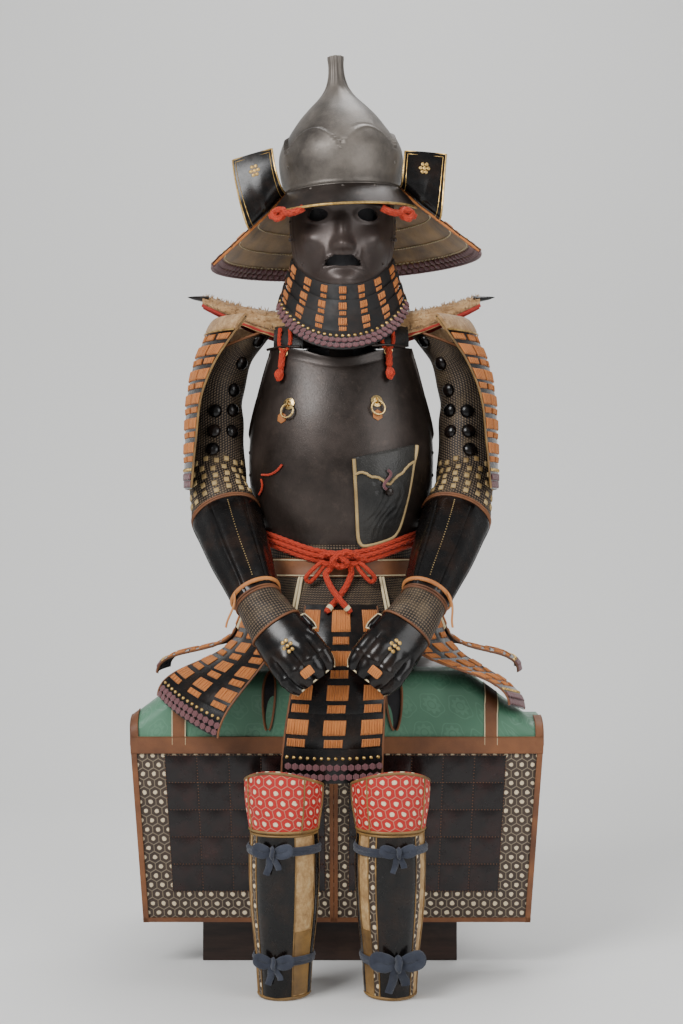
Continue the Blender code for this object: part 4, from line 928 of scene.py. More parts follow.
@dataclass
class Studio:
    """Pale floor, soft lights and the camera that took the view."""

    eye: tuple[float, float, float] = (0.0075, -3.185, 0.744)
    lens: float = 65.92
    floor_half: float = 6.0

    def build(self) -> None:
        """Make the camera, three soft lights, the pale surround and the floor."""
        data = bpy.data.cameras.new("view")
        data.lens, data.sensor_width = self.lens, 36.0
        camera = bpy.data.objects.new("view", data)
        camera.location = self.eye
        camera.rotation_euler = (math.pi / 2, 0.0, 0.0)
        bpy.context.scene.collection.objects.link(camera)
        bpy.context.scene.camera = camera
        for name, place, size, power in (("key", (-2.0, -2.6, 3.0), 1.8, 165.0), ("fill", (2.4, -2.4, 1.8), 2.2, 62.0),
                                         ("rim", (0.5, 1.2, 4.0), 1.8, 90.0)):
            self.light(name, place, size, power)
        world = bpy.data.worlds.new("surround")
        world.use_nodes = True
        world.node_tree.nodes["Background"].inputs[0].default_value = (0.80, 0.80, 0.80, 1.0)
        world.node_tree.nodes["Background"].inputs[1].default_value = 0.46
        bpy.context.scene.world = world
        self.floor()

    def light(self, name: str, place: Sequence[float], size: float, power: float) -> None:
        """A square soft light that looks at the armour's middle."""
        data = bpy.data.lights.new(name, "AREA")
        data.size, data.energy = size, power
        lamp = bpy.data.objects.new(name, data)
        lamp.location = place
        back = unit(np.asarray(place) - (0.0, 0.0, 0.75))
        lamp.rotation_euler = (math.acos(back[2]), 0.0, math.atan2(back[1], back[0]) + math.pi / 2)
        bpy.context.scene.collection.objects.link(lamp)

    def floor(self) -> None:
        """A plain pale sheet under the armour, curved up far behind it and clear from its back."""
        half = self.floor_half
        turn = np.linspace(0, math.pi / 2, 21)
        y = np.concatenate([[-half, 0.0], 1.6 + 1.4 * np.sin(turn), [3.0]])
        z = np.concatenate([[0.0, 0.0], 1.4 * (1 - np.cos(turn)), [7.0]]) - 0.0005
        x = np.linspace(-half, half, 8)
        xx, yy = np.meshgrid(x, y)
        verts = np.stack([xx, yy, np.repeat(z[:, None], 8, axis=1)], -1).reshape(-1, 3)
        mesh = bpy.data.meshes.new("floor")
        mesh.from_pydata(verts.tolist(), [], grid_faces(24, 8).tolist())
        mesh.shade_smooth()
        paper = bpy.data.materials.new("pale_paper")
        paper.use_nodes = True
        paper.node_tree.nodes["Principled BSDF"].inputs["Base Color"].default_value = (0.72, 0.72, 0.71, 1.0)
        paper.node_tree.nodes["Principled BSDF"].inputs["Roughness"].default_value = 0.9
        tree = paper.node_tree
        back = tree.nodes.new("ShaderNodeNewGeometry").outputs["Backfacing"]
        clear, mix = tree.nodes.new("ShaderNodeBsdfTransparent"), tree.nodes.new("ShaderNodeMixShader")
        tree.links.new(back, mix.inputs[0])
        tree.links.new(tree.nodes["Principled BSDF"].outputs[0], mix.inputs[1])
        tree.links.new(clear.outputs[0], mix.inputs[2])
        tree.links.new(mix.outputs[0], tree.nodes["Material Output"].inputs["Surface"])
        mesh.materials.append(paper)
        ground = bpy.data.objects.new("floor", mesh)
        bpy.context.scene.collection.objects.link(ground)


def dress(node: bpy.types.Object, finish: Finish) -> None:
    """Give a CAD node a finish in every material slot."""
    for place in node.material_slots:
        place.link = "OBJECT"
        place.material = finish.material()


def trunk_point(angle: Array, z: Array) -> Array:
    """Point of the trunk: a superellipse at each height, deeper in front than behind."""
    front = np.where(np.cos(angle) > 0, curve(TRUNK, 2, z), curve(TRUNK, 3, z))
    x = MID_X + curve(TRUNK, 1, z) * np.sign(np.sin(angle)) * np.abs(np.sin(angle))**0.92
    y = BODY_Y - front * np.sign(np.cos(angle)) * np.abs(np.cos(angle))**0.92
    return np.stack([x, y, z + 0 * x], axis=-1)


def hem_height(angle: Array) -> Array:
    """Height of the cuirass's lower edge, lowest at the front."""
    return HEM_Z + HEM_LIFT * (1 - np.cos(angle))


def trunk_sheet() -> Sheet:
    """The trunk with its angle from the front and its height as parameters."""
    return Sheet(lambda a, z: trunk_point(*np.broadcast_arrays(a, z))).facing((MID_X, BODY_Y, 0.5))


def front_angle(x: Array | float, z: Array | float) -> Array:
    """Angle at which the trunk's front has a given x: the inverse of its superellipse."""
    share = (np.asarray(x) - MID_X) / curve(TRUNK, 1, z)
    return np.sign(share) * np.arcsin(np.clip(np.abs(share), 0, 1)**(1 / 0.92))


@dataclass
class LacedGuard:
    """Black lames laced with orange cord over a row of studs and two rows of purple knots.

    The surface's first parameter runs from -1 to 1 across the guard, the second from 0 to 1
    down its lames. Each lame stands proud at its upper edge and lies level at its lower edge.
    """

    name: str
    sheet: Sheet
    lames: int
    columns: int
    width: float
    nodes: tuple[str, ...]
    block_share: float = 0.72
    proud: float = 0.0020
    thick: float = 0.0016
    cord_wide: float = 0.0042
    border: bool = True
    under: Finish = LINING_AND_SHADE
    edge: Finish = BROWN_LEATHER
    spread: float = 1.0
    ground: Finish = BLACK

    def lift(self, t: Array) -> Array:
        """Height of a lame over the surface: a slope down its height with a slight swell."""
        return self.proud * (1 - t) + 0.0005 + 0.0011 * np.sin(math.pi * np.clip(t, 0, 1))

    def build(self) -> bpy.types.Object:
        """Make the lames, the lacing, the border and the bound side edges as one piece."""
        shape = Shape()
        self.plates(shape)
        self.lacing(shape)
        if self.border:
            self.lower_border(shape)
        for edge in (-0.992, 0.992):
            v = np.linspace(0.004, 0.996, 40)
            path = self.sheet.raised(np.full(40, edge), v, 0.0012)
            shape.tube(path, 0.0019, 6, slot=3, up=(1.0, 0.2, 0.3))
        return shape.build(self.name, (self.ground, ORANGE, PURPLE, self.edge, GILT, self.under), replaces=self.nodes)

    def plates(self, shape: Shape) -> None:
        """The lames, each a thin curved plate that tucks a little over the next one up."""
        k = np.arange(self.lames)[:, None, None]
        t = np.array([-0.06, 0.0, 0.3, 0.65, 0.96, 1.0])[None, :, None]
        u = np.linspace(-1, 1, 19)[None, None, :]
        height = self.lift(t) - 0.0004 * step(t, 1.0, 0.08)
        v = np.clip((k + t) / self.lames, 0.0, 1.0)
        shape.slabs(self.sheet, u + 0 * v, v + 0 * u, height + 0 * u, height - self.thick + 0 * u, 0, 5)

    def lacing(self, shape: Shape) -> None:
        """Orange blocks over every lame: a tall one and a short one in each column."""
        whole = self.lames - (1 if self.border else 0)
        middles = ((np.arange(self.columns) + 0.5) / self.columns * 2 - 1) * self.spread
        half = self.block_share / self.columns
        cords = max(3, round(half * self.width / self.cord_wide))
        across = np.linspace(0, 1, cords * 3 + 1)
        rib = np.sqrt(np.clip(1 - (2 * ((across * cords) % 1.0) - 1)**2, 0, 1))
        rib[-1] = 0.0
        for low, high, share in ((0.10, 0.54, 1.0), (0.66, 0.90, 0.84)):
            run = np.array([0.0, 0.08, 0.92, 1.0])
            puff = np.array([0.1, 0.95, 0.95, 0.1])
            lame, middle = np.meshgrid(np.arange(whole), middles, indexing="ij")
            t = (low + (high - low) * run)[None, :, None]
            u = middle.ravel()[:, None, None] + (2 * across - 1)[None, None, :] * half * share
            v = (lame.ravel()[:, None, None] + t) / self.lames + 0 * u
            top = self.lift(t) + 0.0002 + (0.0006 + 0.0019 * rib[None, None, :]) * puff[None, :, None]
            shape.slabs(self.sheet, u + 0 * v, v, top + 0 * u, self.lift(t) - 0.0006 + 0 * u, 1)

    def lower_border(self, shape: Shape) -> None:
        """A row of gilt studs, then two staggered rows of knots, on the lowest lame."""
        count = max(6, round(self.width / 0.0105))
        knot = lathe([(0.0057, -0.0006), (0.0057, 0.0010), (0.0048, 0.0017)], 6, math.pi / 6)
        stud = dome(0.0030, 0.0022, 8, 3)
        for t, pattern, slot, number, shift in ((0.22, stud, 4, count, 0.0), (0.50, knot, 2, count, 0.5),
                                                (0.80, knot, 2, count, 0.0)):
            u = ((np.arange(number) + 0.5 + shift * 0.5) / number * 2 - 1) * 0.97
            u = u[np.abs(u) < 0.985]
            v = (self.lames - 1 + t) / self.lames + 0 * u
            centre, tangent, normal = self.sheet.frames(u, v)
            centre = centre + normal * self.lift(np.full_like(u, t))[:, None]
            shape.scatter(pattern, centre, tangent, normal, slot=slot)


def helmet_place(angle: Array, height: Array, half: Array, deep: Array | float = 1.13) -> Array:
    """Points of the helmet at angles from its front, rolled about the bowl's base."""
    angle, height, half, deep = np.broadcast_arrays(angle, height, half, deep)
    x, y = half * np.sin(angle), -half * deep * np.cos(angle)
    c, s = math.cos(HELMET_ROLL), math.sin(HELMET_ROLL)
    return np.stack([x * c - height * s, y, x * s + height * c], axis=-1) + HELMET_BASE


@dataclass
class Helmet:
    """Pear-shaped iron bowl with its brim, laced neck guard, turn-backs and cord knots."""

    bowl_cols: int = 132
    bowl_rows: int = 82
    wall: float = 0.0022
    brim_reach: float = 0.036
    neck_lames: int = 4
    neck_spread: float = 0.1336
    cusp_height: float = 0.064
    cusp_rise: float = 0.036

    def build(self) -> None:
        """Make every piece of the helmet."""
        self.bowl()
        self.brim()
        self.neck_guard()
        for side in Side:
            self.turnback(side)
            self.brim_cords(side)

    def cusp(self, angle: Array) -> Array:
        """Upper edge of the overlaid plates: three arches on each side, cusped at the front."""
        return self.cusp_height + self.cusp_rise * np.abs(np.sin(3 * angle))**0.75

    def bowl(self) -> None:
        """The bowl: its profile turned round, with raised plate edges and a ribbed finial."""
        turn = np.arange(self.bowl_cols) * TAU / self.bowl_cols
        h = np.concatenate([np.linspace(0, 0.15, self.bowl_rows, endpoint=False),
                            np.linspace(0.15, 0.236, 18)])[:, None]
        half = curve(BOWL, 1, h)
        edge = self.cusp(turn)[None]
        overlay = 0.0034 * (1 - step(h, edge, 0.0014)) + 0.0014 * np.exp(-((h - edge + 0.003) / 0.0020)**2)
        overlay = overlay - 0.0008 * np.exp(-((h - edge - 0.002) / 0.0015)**2)
        low_edge = 0.0016 * np.exp(-((h - 0.004) / 0.003)**2)
        folds = 0.0009 * np.sin(3 * turn + 0.6)[None] * np.exp(-((h - 0.11) / 0.03)**2)
        ribs = 0.0009 * np.cos(9 * turn)[None] * step(h, 0.170, 0.02)
        collar = 0.0012 * np.exp(-((h - 0.233) / 0.0022)**2)
        shape = Shape()
        outer = helmet_place(turn[None], h, half - 0.0016 + overlay + low_edge + folds + ribs + collar)
        inner = helmet_place(turn[None], h, np.maximum(half - 0.0016 - self.wall, 0.004))
        shape.ring_wall(outer[:, ::-1], inner[:, ::-1], -1.0)
        rivet = dome(0.0042, 0.0026)
        sheet = Sheet(lambda a, z: helmet_place(a, z, curve(BOWL, 1, z)))
        sheet = sheet.facing((HELMET_BASE[0], HELMET_BASE[1], 1.3))
        spots = np.array([(0.0, 0.058), (1.02, 0.040), (-1.02, 0.040), (2.1, 0.040), (-2.1, 0.040), (math.pi, 0.058)])
        centre, tangent, normal = sheet.frames(spots[:, 0], spots[:, 1], 0.0004)
        shape.scatter(rivet, centre, tangent, normal)
        shape.build("bowl_of_plates", (HELMET_IRON,), replaces=("helmet_bowl",), sharp=60)

    def brim_point(self, angle: Array, t: Array) -> Array:
        """Point of the brim: t runs from the bowl's base out and down to the edge."""
        spread = self.brim_reach * t * (0.8 + 0.2 * np.cos(angle))
        drop = 0.001 - 0.036 * t**1.3 - 0.004 * t * np.cos(angle)
        return helmet_place(angle, drop, 0.0987 + spread)

    def brim(self) -> None:
        """The peak under the bowl, bound with gilt at its edge."""
        sheet = Sheet(self.brim_point).facing((HELMET_BASE[0], 0.03, 1.10))
        a = np.radians(np.linspace(-72, 72, 90))[None]
        t = np.linspace(0.0, 1.0, 16)[:, None]
        shape = Shape()
        shape.slabs(sheet, a + 0 * t, t + 0 * a, 0.0003, -0.0018)
        edge = sheet.raised(a[0], np.full(90, 0.992), -0.0008)
        shape.tube(edge, 0.0023, 8, slot=1)
        seam = sheet.raised(a[0], np.full(90, 0.06), 0.0006)
        shape.tube(seam, 0.0013, 6, slot=2)
        studs = np.radians(np.linspace(-60, 60, 5))
        centre, tangent, normal = sheet.frames(studs, np.full(5, 0.22), 0.0004)
        shape.scatter(dome(0.0026, 0.0018, 10, 3), centre, tangent, normal, slot=2)
        shape.build("brim_peak", (BODY_IRON, GILT, HELMET_IRON), replaces=("helmet_brim",))

    def neck_point(self, u: Array, v: Array) -> Array:
        """Point of the neck guard: u runs round from one front edge to the other, v down."""
        angle = math.pi + u * math.radians(103.0)
        v = np.clip(v, 0.0, 1.02)
        return helmet_place(angle, 0.003 - 0.118 * v**0.93, 0.0990 + self.neck_spread * v, 1.13 - 0.13 * v)

    def neck_guard(self) -> None:
        """Laced lames outside; old-gold leather, stitches and woven bands inside."""
        sheet = Sheet(self.neck_point).facing((HELMET_BASE[0], 0.03, 1.0))
        guard = LacedGuard("neck_lames", sheet, self.neck_lames, 14, 0.62, ("neck_guard",), block_share=0.6,
                           thick=0.0012)
        guard.build()
        shape = Shape()
        u = np.linspace(-0.998, 0.998, 100)[None]
        v = np.linspace(0.01, 0.99, 41)[:, None]
        rows = self.neck_lames
        fold = 0.0014 * np.abs(((v * rows) % 1.0) - 0.5) * 2
        ripple = 0.0004 * np.sin(40 * u + 9 * v)
        shape.slabs(sheet, u + 0 * v, v + 0 * u, -0.0010 + 0 * u * v, -0.0021 - fold + ripple, 0)
        path = sheet.raised(np.linspace(-0.996, 0.996, 260), np.full(260, 0.990), -0.0030)
        shape.tube(path, 0.0032, 10, slot=1, braid=(4, 0.009, 0.35))
        knot = lathe([(0.0060, -0.0006), (0.0060, 0.0012), (0.0048, 0.0020)], 6, math.pi / 6)
        for v0, count, shift in ((0.950, 62, 0.0), (0.885, 61, 0.5)):
            places = ((np.arange(count) + 0.5) / count * 2 - 1) * 0.985
            centre, tangent, normal = sheet.frames(places, np.full(count, v0), -0.0030)
            shape.scatter(knot, centre, tangent, -normal, slot=1)
        stitch = lathe([(0.0013, -0.0004), (0.0007, 0.0014)], 5)
        for v0, count, gap in ((0.832, 90, 0.0036), (0.63, 110, 0.0034), (0.38, 90, 0.0034)):
            places = np.linspace(-0.98, 0.98, count)
            centre, tangent, normal = sheet.frames(places, np.full(count, v0), -gap)
            size = np.tile((2.2, 0.9, 1.0), (count, 1))
            shape.scatter(stitch, centre, tangent, -normal, size, slot=2)
        for u0 in (-0.994, 0.994):
            path = sheet.raised(np.full(40, u0), np.linspace(0.02, 0.99, 40), -0.0012)
            shape.tube(path, 0.0030, 8, slot=3, braid=(4, 0.010, 0.35))
        shape.build("neck_lining", (OLD_GOLD, PURPLE, IVORY, ORANGE))

    def turn_rows(self, side: Side) -> np.ndarray:
        """Corner curves of a turn-back: cubics from the neck guard's front edge up and out."""
        sign = side.sign
        inner, outer = ((0.115, -0.010, 1.356), (0.186, 0.000, 1.352)) if sign > 0 else (
            (-0.110, -0.010, 1.360), (-0.178, 0.000, 1.342))
        angle = math.radians(77) if sign > 0 else math.radians(283)
        s = np.array([0.0, 0.25, 0.2575, 0.50])
        start = helmet_place(angle, 0.003 - 0.118 * s**0.93, 0.0990 + self.neck_spread * s, 1.13 - 0.13 * s)
        start = start + np.array((0.0, -0.0012, 0.0015))
        mix = np.linspace(0, 1, 4)[:, None]
        end = np.array(inner) * (1 - mix) + np.array(outer) * mix
        out = np.sign(end[:, :1] - HELMET_BASE[0])
        low = start + np.array((0, -0.024, -0.004)) + out * (0.004, 0, 0)
        high = end + np.array((0, -0.022, -0.052)) + out * (-0.006, 0, 0)
        return np.stack([start, low, high, end])

    def turnback(self, side: Side) -> None:
        """Glossy black flap curved up beside the bowl, bound with gilt."""
        frame = self.turn_rows(side)
        table = np.concatenate([np.linspace(-1, 1, 4)[:, None], frame.transpose(1, 0, 2).reshape(4, 12)], axis=1)

        def point(u: Array, t: Array) -> Array:
            """Cubic in t between the corner curves, which are read across at u."""
            u, t = np.broadcast_arrays(u, t)
            corner = [np.stack([np.interp(u, table[:, 0], table[:, 1 + 3 * k + m]) for m in range(3)], -1)
                      for k in range(4)]
            t = t[..., None]
            return (corner[0] * (1 - t)**3 + 3 * corner[1] * t * (1 - t)**2 + 3 * corner[2] * t * t * (1 - t)
                    + corner[3] * t**3)

        sheet = Sheet(point).facing((HELMET_BASE[0], 0.4, 1.3))
        shape = Shape()
        u = np.linspace(-1, 1, 19)[None]
        t = np.linspace(0.0, 1, 37)[:, None]
        swell = 0.0016 * (1 - u**2)
        shape.slabs(sheet, u + 0 * t, t + 0 * u, swell + 0 * t, swell - 0.0022 + 0 * t, 0)
        loop = [(-1, a) for a in np.linspace(0.02, 1, 30)] + [(b, 1) for b in np.linspace(-0.93, 0.93, 14)]
        loop += [(1, a) for a in np.linspace(1, 0.02, 30)]
        loop = np.array(loop) * (0.985, 0.995)
        shape.tube(sheet.raised(loop[:, 0], loop[:, 1], -0.0004), 0.0017, 8, slot=1)
        inner = loop * (0.86, 0.965)
        shape.tube(sheet.raised(inner[:, 0], inner[:, 1], 0.0008), 0.0006, 6, slot=1)
        petals = np.arange(6) * TAU / 6
        spots = np.stack([0.20 * np.cos(petals), 0.80 + 0.055 * np.sin(petals)], -1)
        spots = np.concatenate([[(0.0, 0.80)], spots])
        centre, tangent, normal = sheet.frames(spots[:, 0], spots[:, 1])
        centre = centre + normal * 0.0014
        shape.scatter(dome(0.0036, 0.0016, 12, 3), centre, tangent, normal, slot=1)
        shape.build("turned_flap_" + side.value, (BLACK, GILT), replaces=("turnback_" + side.value,))

    def brim_cords(self, side: Side) -> None:
        """Orange-red tying cord, knotted where it leaves the brim beside the brow."""
        sign = side.sign
        route = [(0.110, -0.040, 1.246), (0.100, -0.066, 1.242), (0.086, -0.082, 1.239), (0.074, -0.092, 1.241),
                 (0.064, -0.094, 1.246)]
        points = [(HELMET_BASE[0] + sign * x, y, z) for x, y, z in route]
        shape = Shape()
        shape.tube(through(points, 64), 0.0064, 18, braid=(4, 0.012, 0.34))
        knot = [(0.104, -0.060, 1.247), (0.115, -0.062, 1.241), (0.110, -0.068, 1.232), (0.100, -0.070, 1.236),
                (0.098, -0.072, 1.244), (0.110, -0.066, 1.245), (0.120, -0.056, 1.236)]
        points = [(HELMET_BASE[0] + sign * x, y, z) for x, y, z in knot]
        shape.tube(through(points, 96), 0.0064, 18, braid=(4, 0.012, 0.34))
        shape.build("brow_cord_" + side.value, (RED,))


@dataclass
class FaceGuard:
    """Iron mask of a plain general face, and the laced throat guard under its jaw."""

    cols: int = 116
    rows: int = 88
    thick: float = 0.0024
    eye: tuple[float, float, float, float] = (0.475, 1.2395, 0.215, 0.0112)
    mouth: tuple[float, float, float] = (1.1640, 0.44, 0.0092)

    def build(self) -> None:
        """Make the mask and the throat guard."""
        self.mask()
        self.throat_guard()

    def jaw(self, angle: Array) -> Array:
        """Height of the mask's lower edge, rising from the chin to the ears."""
        return CHIN_Z + 0.060 * (1 - np.cos(angle))**1.2

    def face(self, angle: Array, v: Array) -> Array:
        """Point of the face: a rounded wall with soft swellings for brow, nose, cheeks and chin."""
        angle, v = np.broadcast_arrays(angle, v)
        low = self.jaw(angle)
        z = low + (BROW_Z - 0.012 * (1 - np.cos(angle)) - low) * v
        return self.at_height(angle, z)

    def at_height(self, angle: Array, z: Array) -> Array:
        """Point of the face at an angle and a height."""
        def swelling(high: float, a0: float, z0: float, wide: float, tall: float) -> Array:
            """A bell-shaped swelling centred at an angle and a height."""
            return high * np.exp(-((angle - a0) / wide)**2 - ((z - z0) / tall)**2)

        swell = swelling(0.020, 0, 1.186, 0.16, 0.014) + swelling(0.010, 0, 1.215, 0.12, 0.022)
        swell = swell + swelling(0.009, 0, 1.128, 0.40, 0.014) + swelling(0.006, 0, 1.258, 0.9, 0.010)
        for sign in (-1, 1):
            swell = swell + swelling(0.009, 0.62 * sign, 1.200, 0.22, 0.018)
            swell = swell + swelling(0.0035, 0.17 * sign, 1.184, 0.07, 0.008)
            swell = swell + swelling(0.0030, 0.33 * sign, 1.172, 0.07, 0.018)
        swell = swell - swelling(0.004, 0, 1.152, 0.45, 0.010)
        half, depth = curve(MASK, 1, z), curve(MASK, 2, z)
        x = HELMET_BASE[0] + (half + swell) * np.sin(angle)
        y = BODY_Y - (depth + swell) * np.cos(angle)
        return np.stack([x, y, z + 0 * x], axis=-1)

    def mask(self) -> None:
        """The mask, its openings cut along ellipses that the nearest grid points are drawn onto."""
        angle = np.radians(np.linspace(-88, 88, self.cols))[None]
        v = np.linspace(0, 1, self.rows)[:, None]
        z = self.face(angle, v)[..., 2]
        angle = angle + 0 * z
        holes = [(sign * self.eye[0], self.eye[1] + 0 * angle, self.eye[2] * 0.95, self.eye[3]) for sign in (-1, 1)]
        z0, wide, tall = self.mouth
        holes.append((0.0, z0 - 0.060 * angle**2 - 0.003 * np.exp(-(angle / 0.12)**2), wide, tall))
        cut = np.zeros(z.shape, dtype=bool)
        rim = np.zeros(z.shape)
        for a0, middle, half_a, half_z in holes:
            da, dz = (angle - a0) / half_a, (z - middle) / half_z
            reach = np.sqrt(da**2 + dz**2)
            near = (reach > 0.80) & (reach < 1.18)
            angle = np.where(near, a0 + (angle - a0) / reach, angle)
            z = np.where(near, middle + (z - middle) / reach, z)
            cut |= reach < 0.80
            rim = rim + 0.0018 * np.exp(-((reach - 1.12) / 0.22)**2)
        inside = cut | False
        keep = ~(inside[:-1, :-1] | inside[1:, :-1] | inside[:-1, 1:] | inside[1:, 1:])
        points = self.at_height(angle, z)
        normal = unit(np.cross(np.gradient(points, axis=1), np.gradient(points, axis=0)))
        if np.sum(normal * (points - (HELMET_BASE[0], BODY_Y, 1.19))) < 0:
            normal = -normal
        a0 = np.abs(angle)
        relief = rim + 0.0012 * np.exp(-((a0 - 1.20) / 0.03)**2) + 0.0014 * (1 - step(v + 0 * a0, 0.035, 0.03))
        relief = relief + 0.0016 * np.exp(-((z - 1.2565) / 0.0022)**2)
        outer = points + normal * relief[..., None]
        inner = points - normal * self.thick
        shape = Shape()
        faces = grid_faces(*z.shape)
        crossed = np.cross(outer[60, 61] - outer[60, 60], outer[61, 60] - outer[60, 60])
        side = 1.0 if np.dot(crossed, normal[60, 60]) > 0 else -1.0
        shape.cells(outer, inner, side, faces, keep)
        # A dark sheet a little inside the face, behind the eye and mouth holes: painted shade seen through the
        # openings.
        back = np.radians(np.linspace(-84, 84, 41))[None]
        level = np.linspace(1.140, 1.256, 12)[:, None]
        wall = self.at_height(back + 0 * level, level + 0 * back)
        hub = np.stack([0 * wall[..., 0] + HELMET_BASE[0], 0 * wall[..., 0] + BODY_Y, wall[..., 2]], -1)
        shape.plates((hub + (wall - hub) * 0.90)[None], (hub + (wall - hub) * 0.885)[None], side, 1)
        pins = np.array([(-1.16, 1.205), (1.16, 1.205)])
        sheet = Sheet(lambda a, h: self.at_height(a, h)).facing((HELMET_BASE[0], BODY_Y, 1.19))
        centre, tangent, normals = sheet.frames(pins[:, 0], pins[:, 1], 0.0006)
        shape.scatter(lathe([(0.0022, -0.001), (0.0022, 0.006), (0.0034, 0.0064), (0.0034, 0.0084), (0.0020, 0.0094)], 12),
                      centre, tangent, normals)
        rivets = np.array([(s * a, h) for s in (-1, 1) for a, h in ((1.36, 1.238), (1.36, 1.215), (1.0, 1.162))])
        centre, tangent, normals = sheet.frames(rivets[:, 0], rivets[:, 1], 0.0006)
        shape.scatter(dome(0.0022, 0.0016, 10, 3), centre, tangent, normals)
        shape.build("face_mask", (MASK_IRON, LINING_AND_SHADE), replaces=("mask",), sharp=55)

    def throat_point(self, u: Array, v: Array) -> Array:
        """Point of the throat guard: from the jaw's edge down and out to a wide collar."""
        u, v = np.broadcast_arrays(u, v)
        top = self.face(u * math.radians(88), 0 * u)
        a = u * math.radians(88) * 0.93
        bottom = np.stack([HELMET_BASE[0] + 0.112 * np.sin(a), BODY_Y - 0.160 * np.cos(a)**0.9 - 0.004,
                           1.009 + 0.097 * (1 - np.cos(a))], -1)
        s = v[..., None]
        points = top * (1 - s) + bottom * s
        points[..., 1] += 0.014 * np.sin(math.pi * np.clip(v, 0, 1))
        return points - (0, 0, 0.0003)

    def throat_guard(self) -> None:
        """Four laced lames that spread over the cuirass's neck."""
        sheet = Sheet(self.throat_point).facing((HELMET_BASE[0], 0.05, 1.10))
        LacedGuard("throat_lames", sheet, 4, 7, 0.30, ("throat_guard",), block_share=0.36, proud=0.0032,
                   ground=WORN).build()


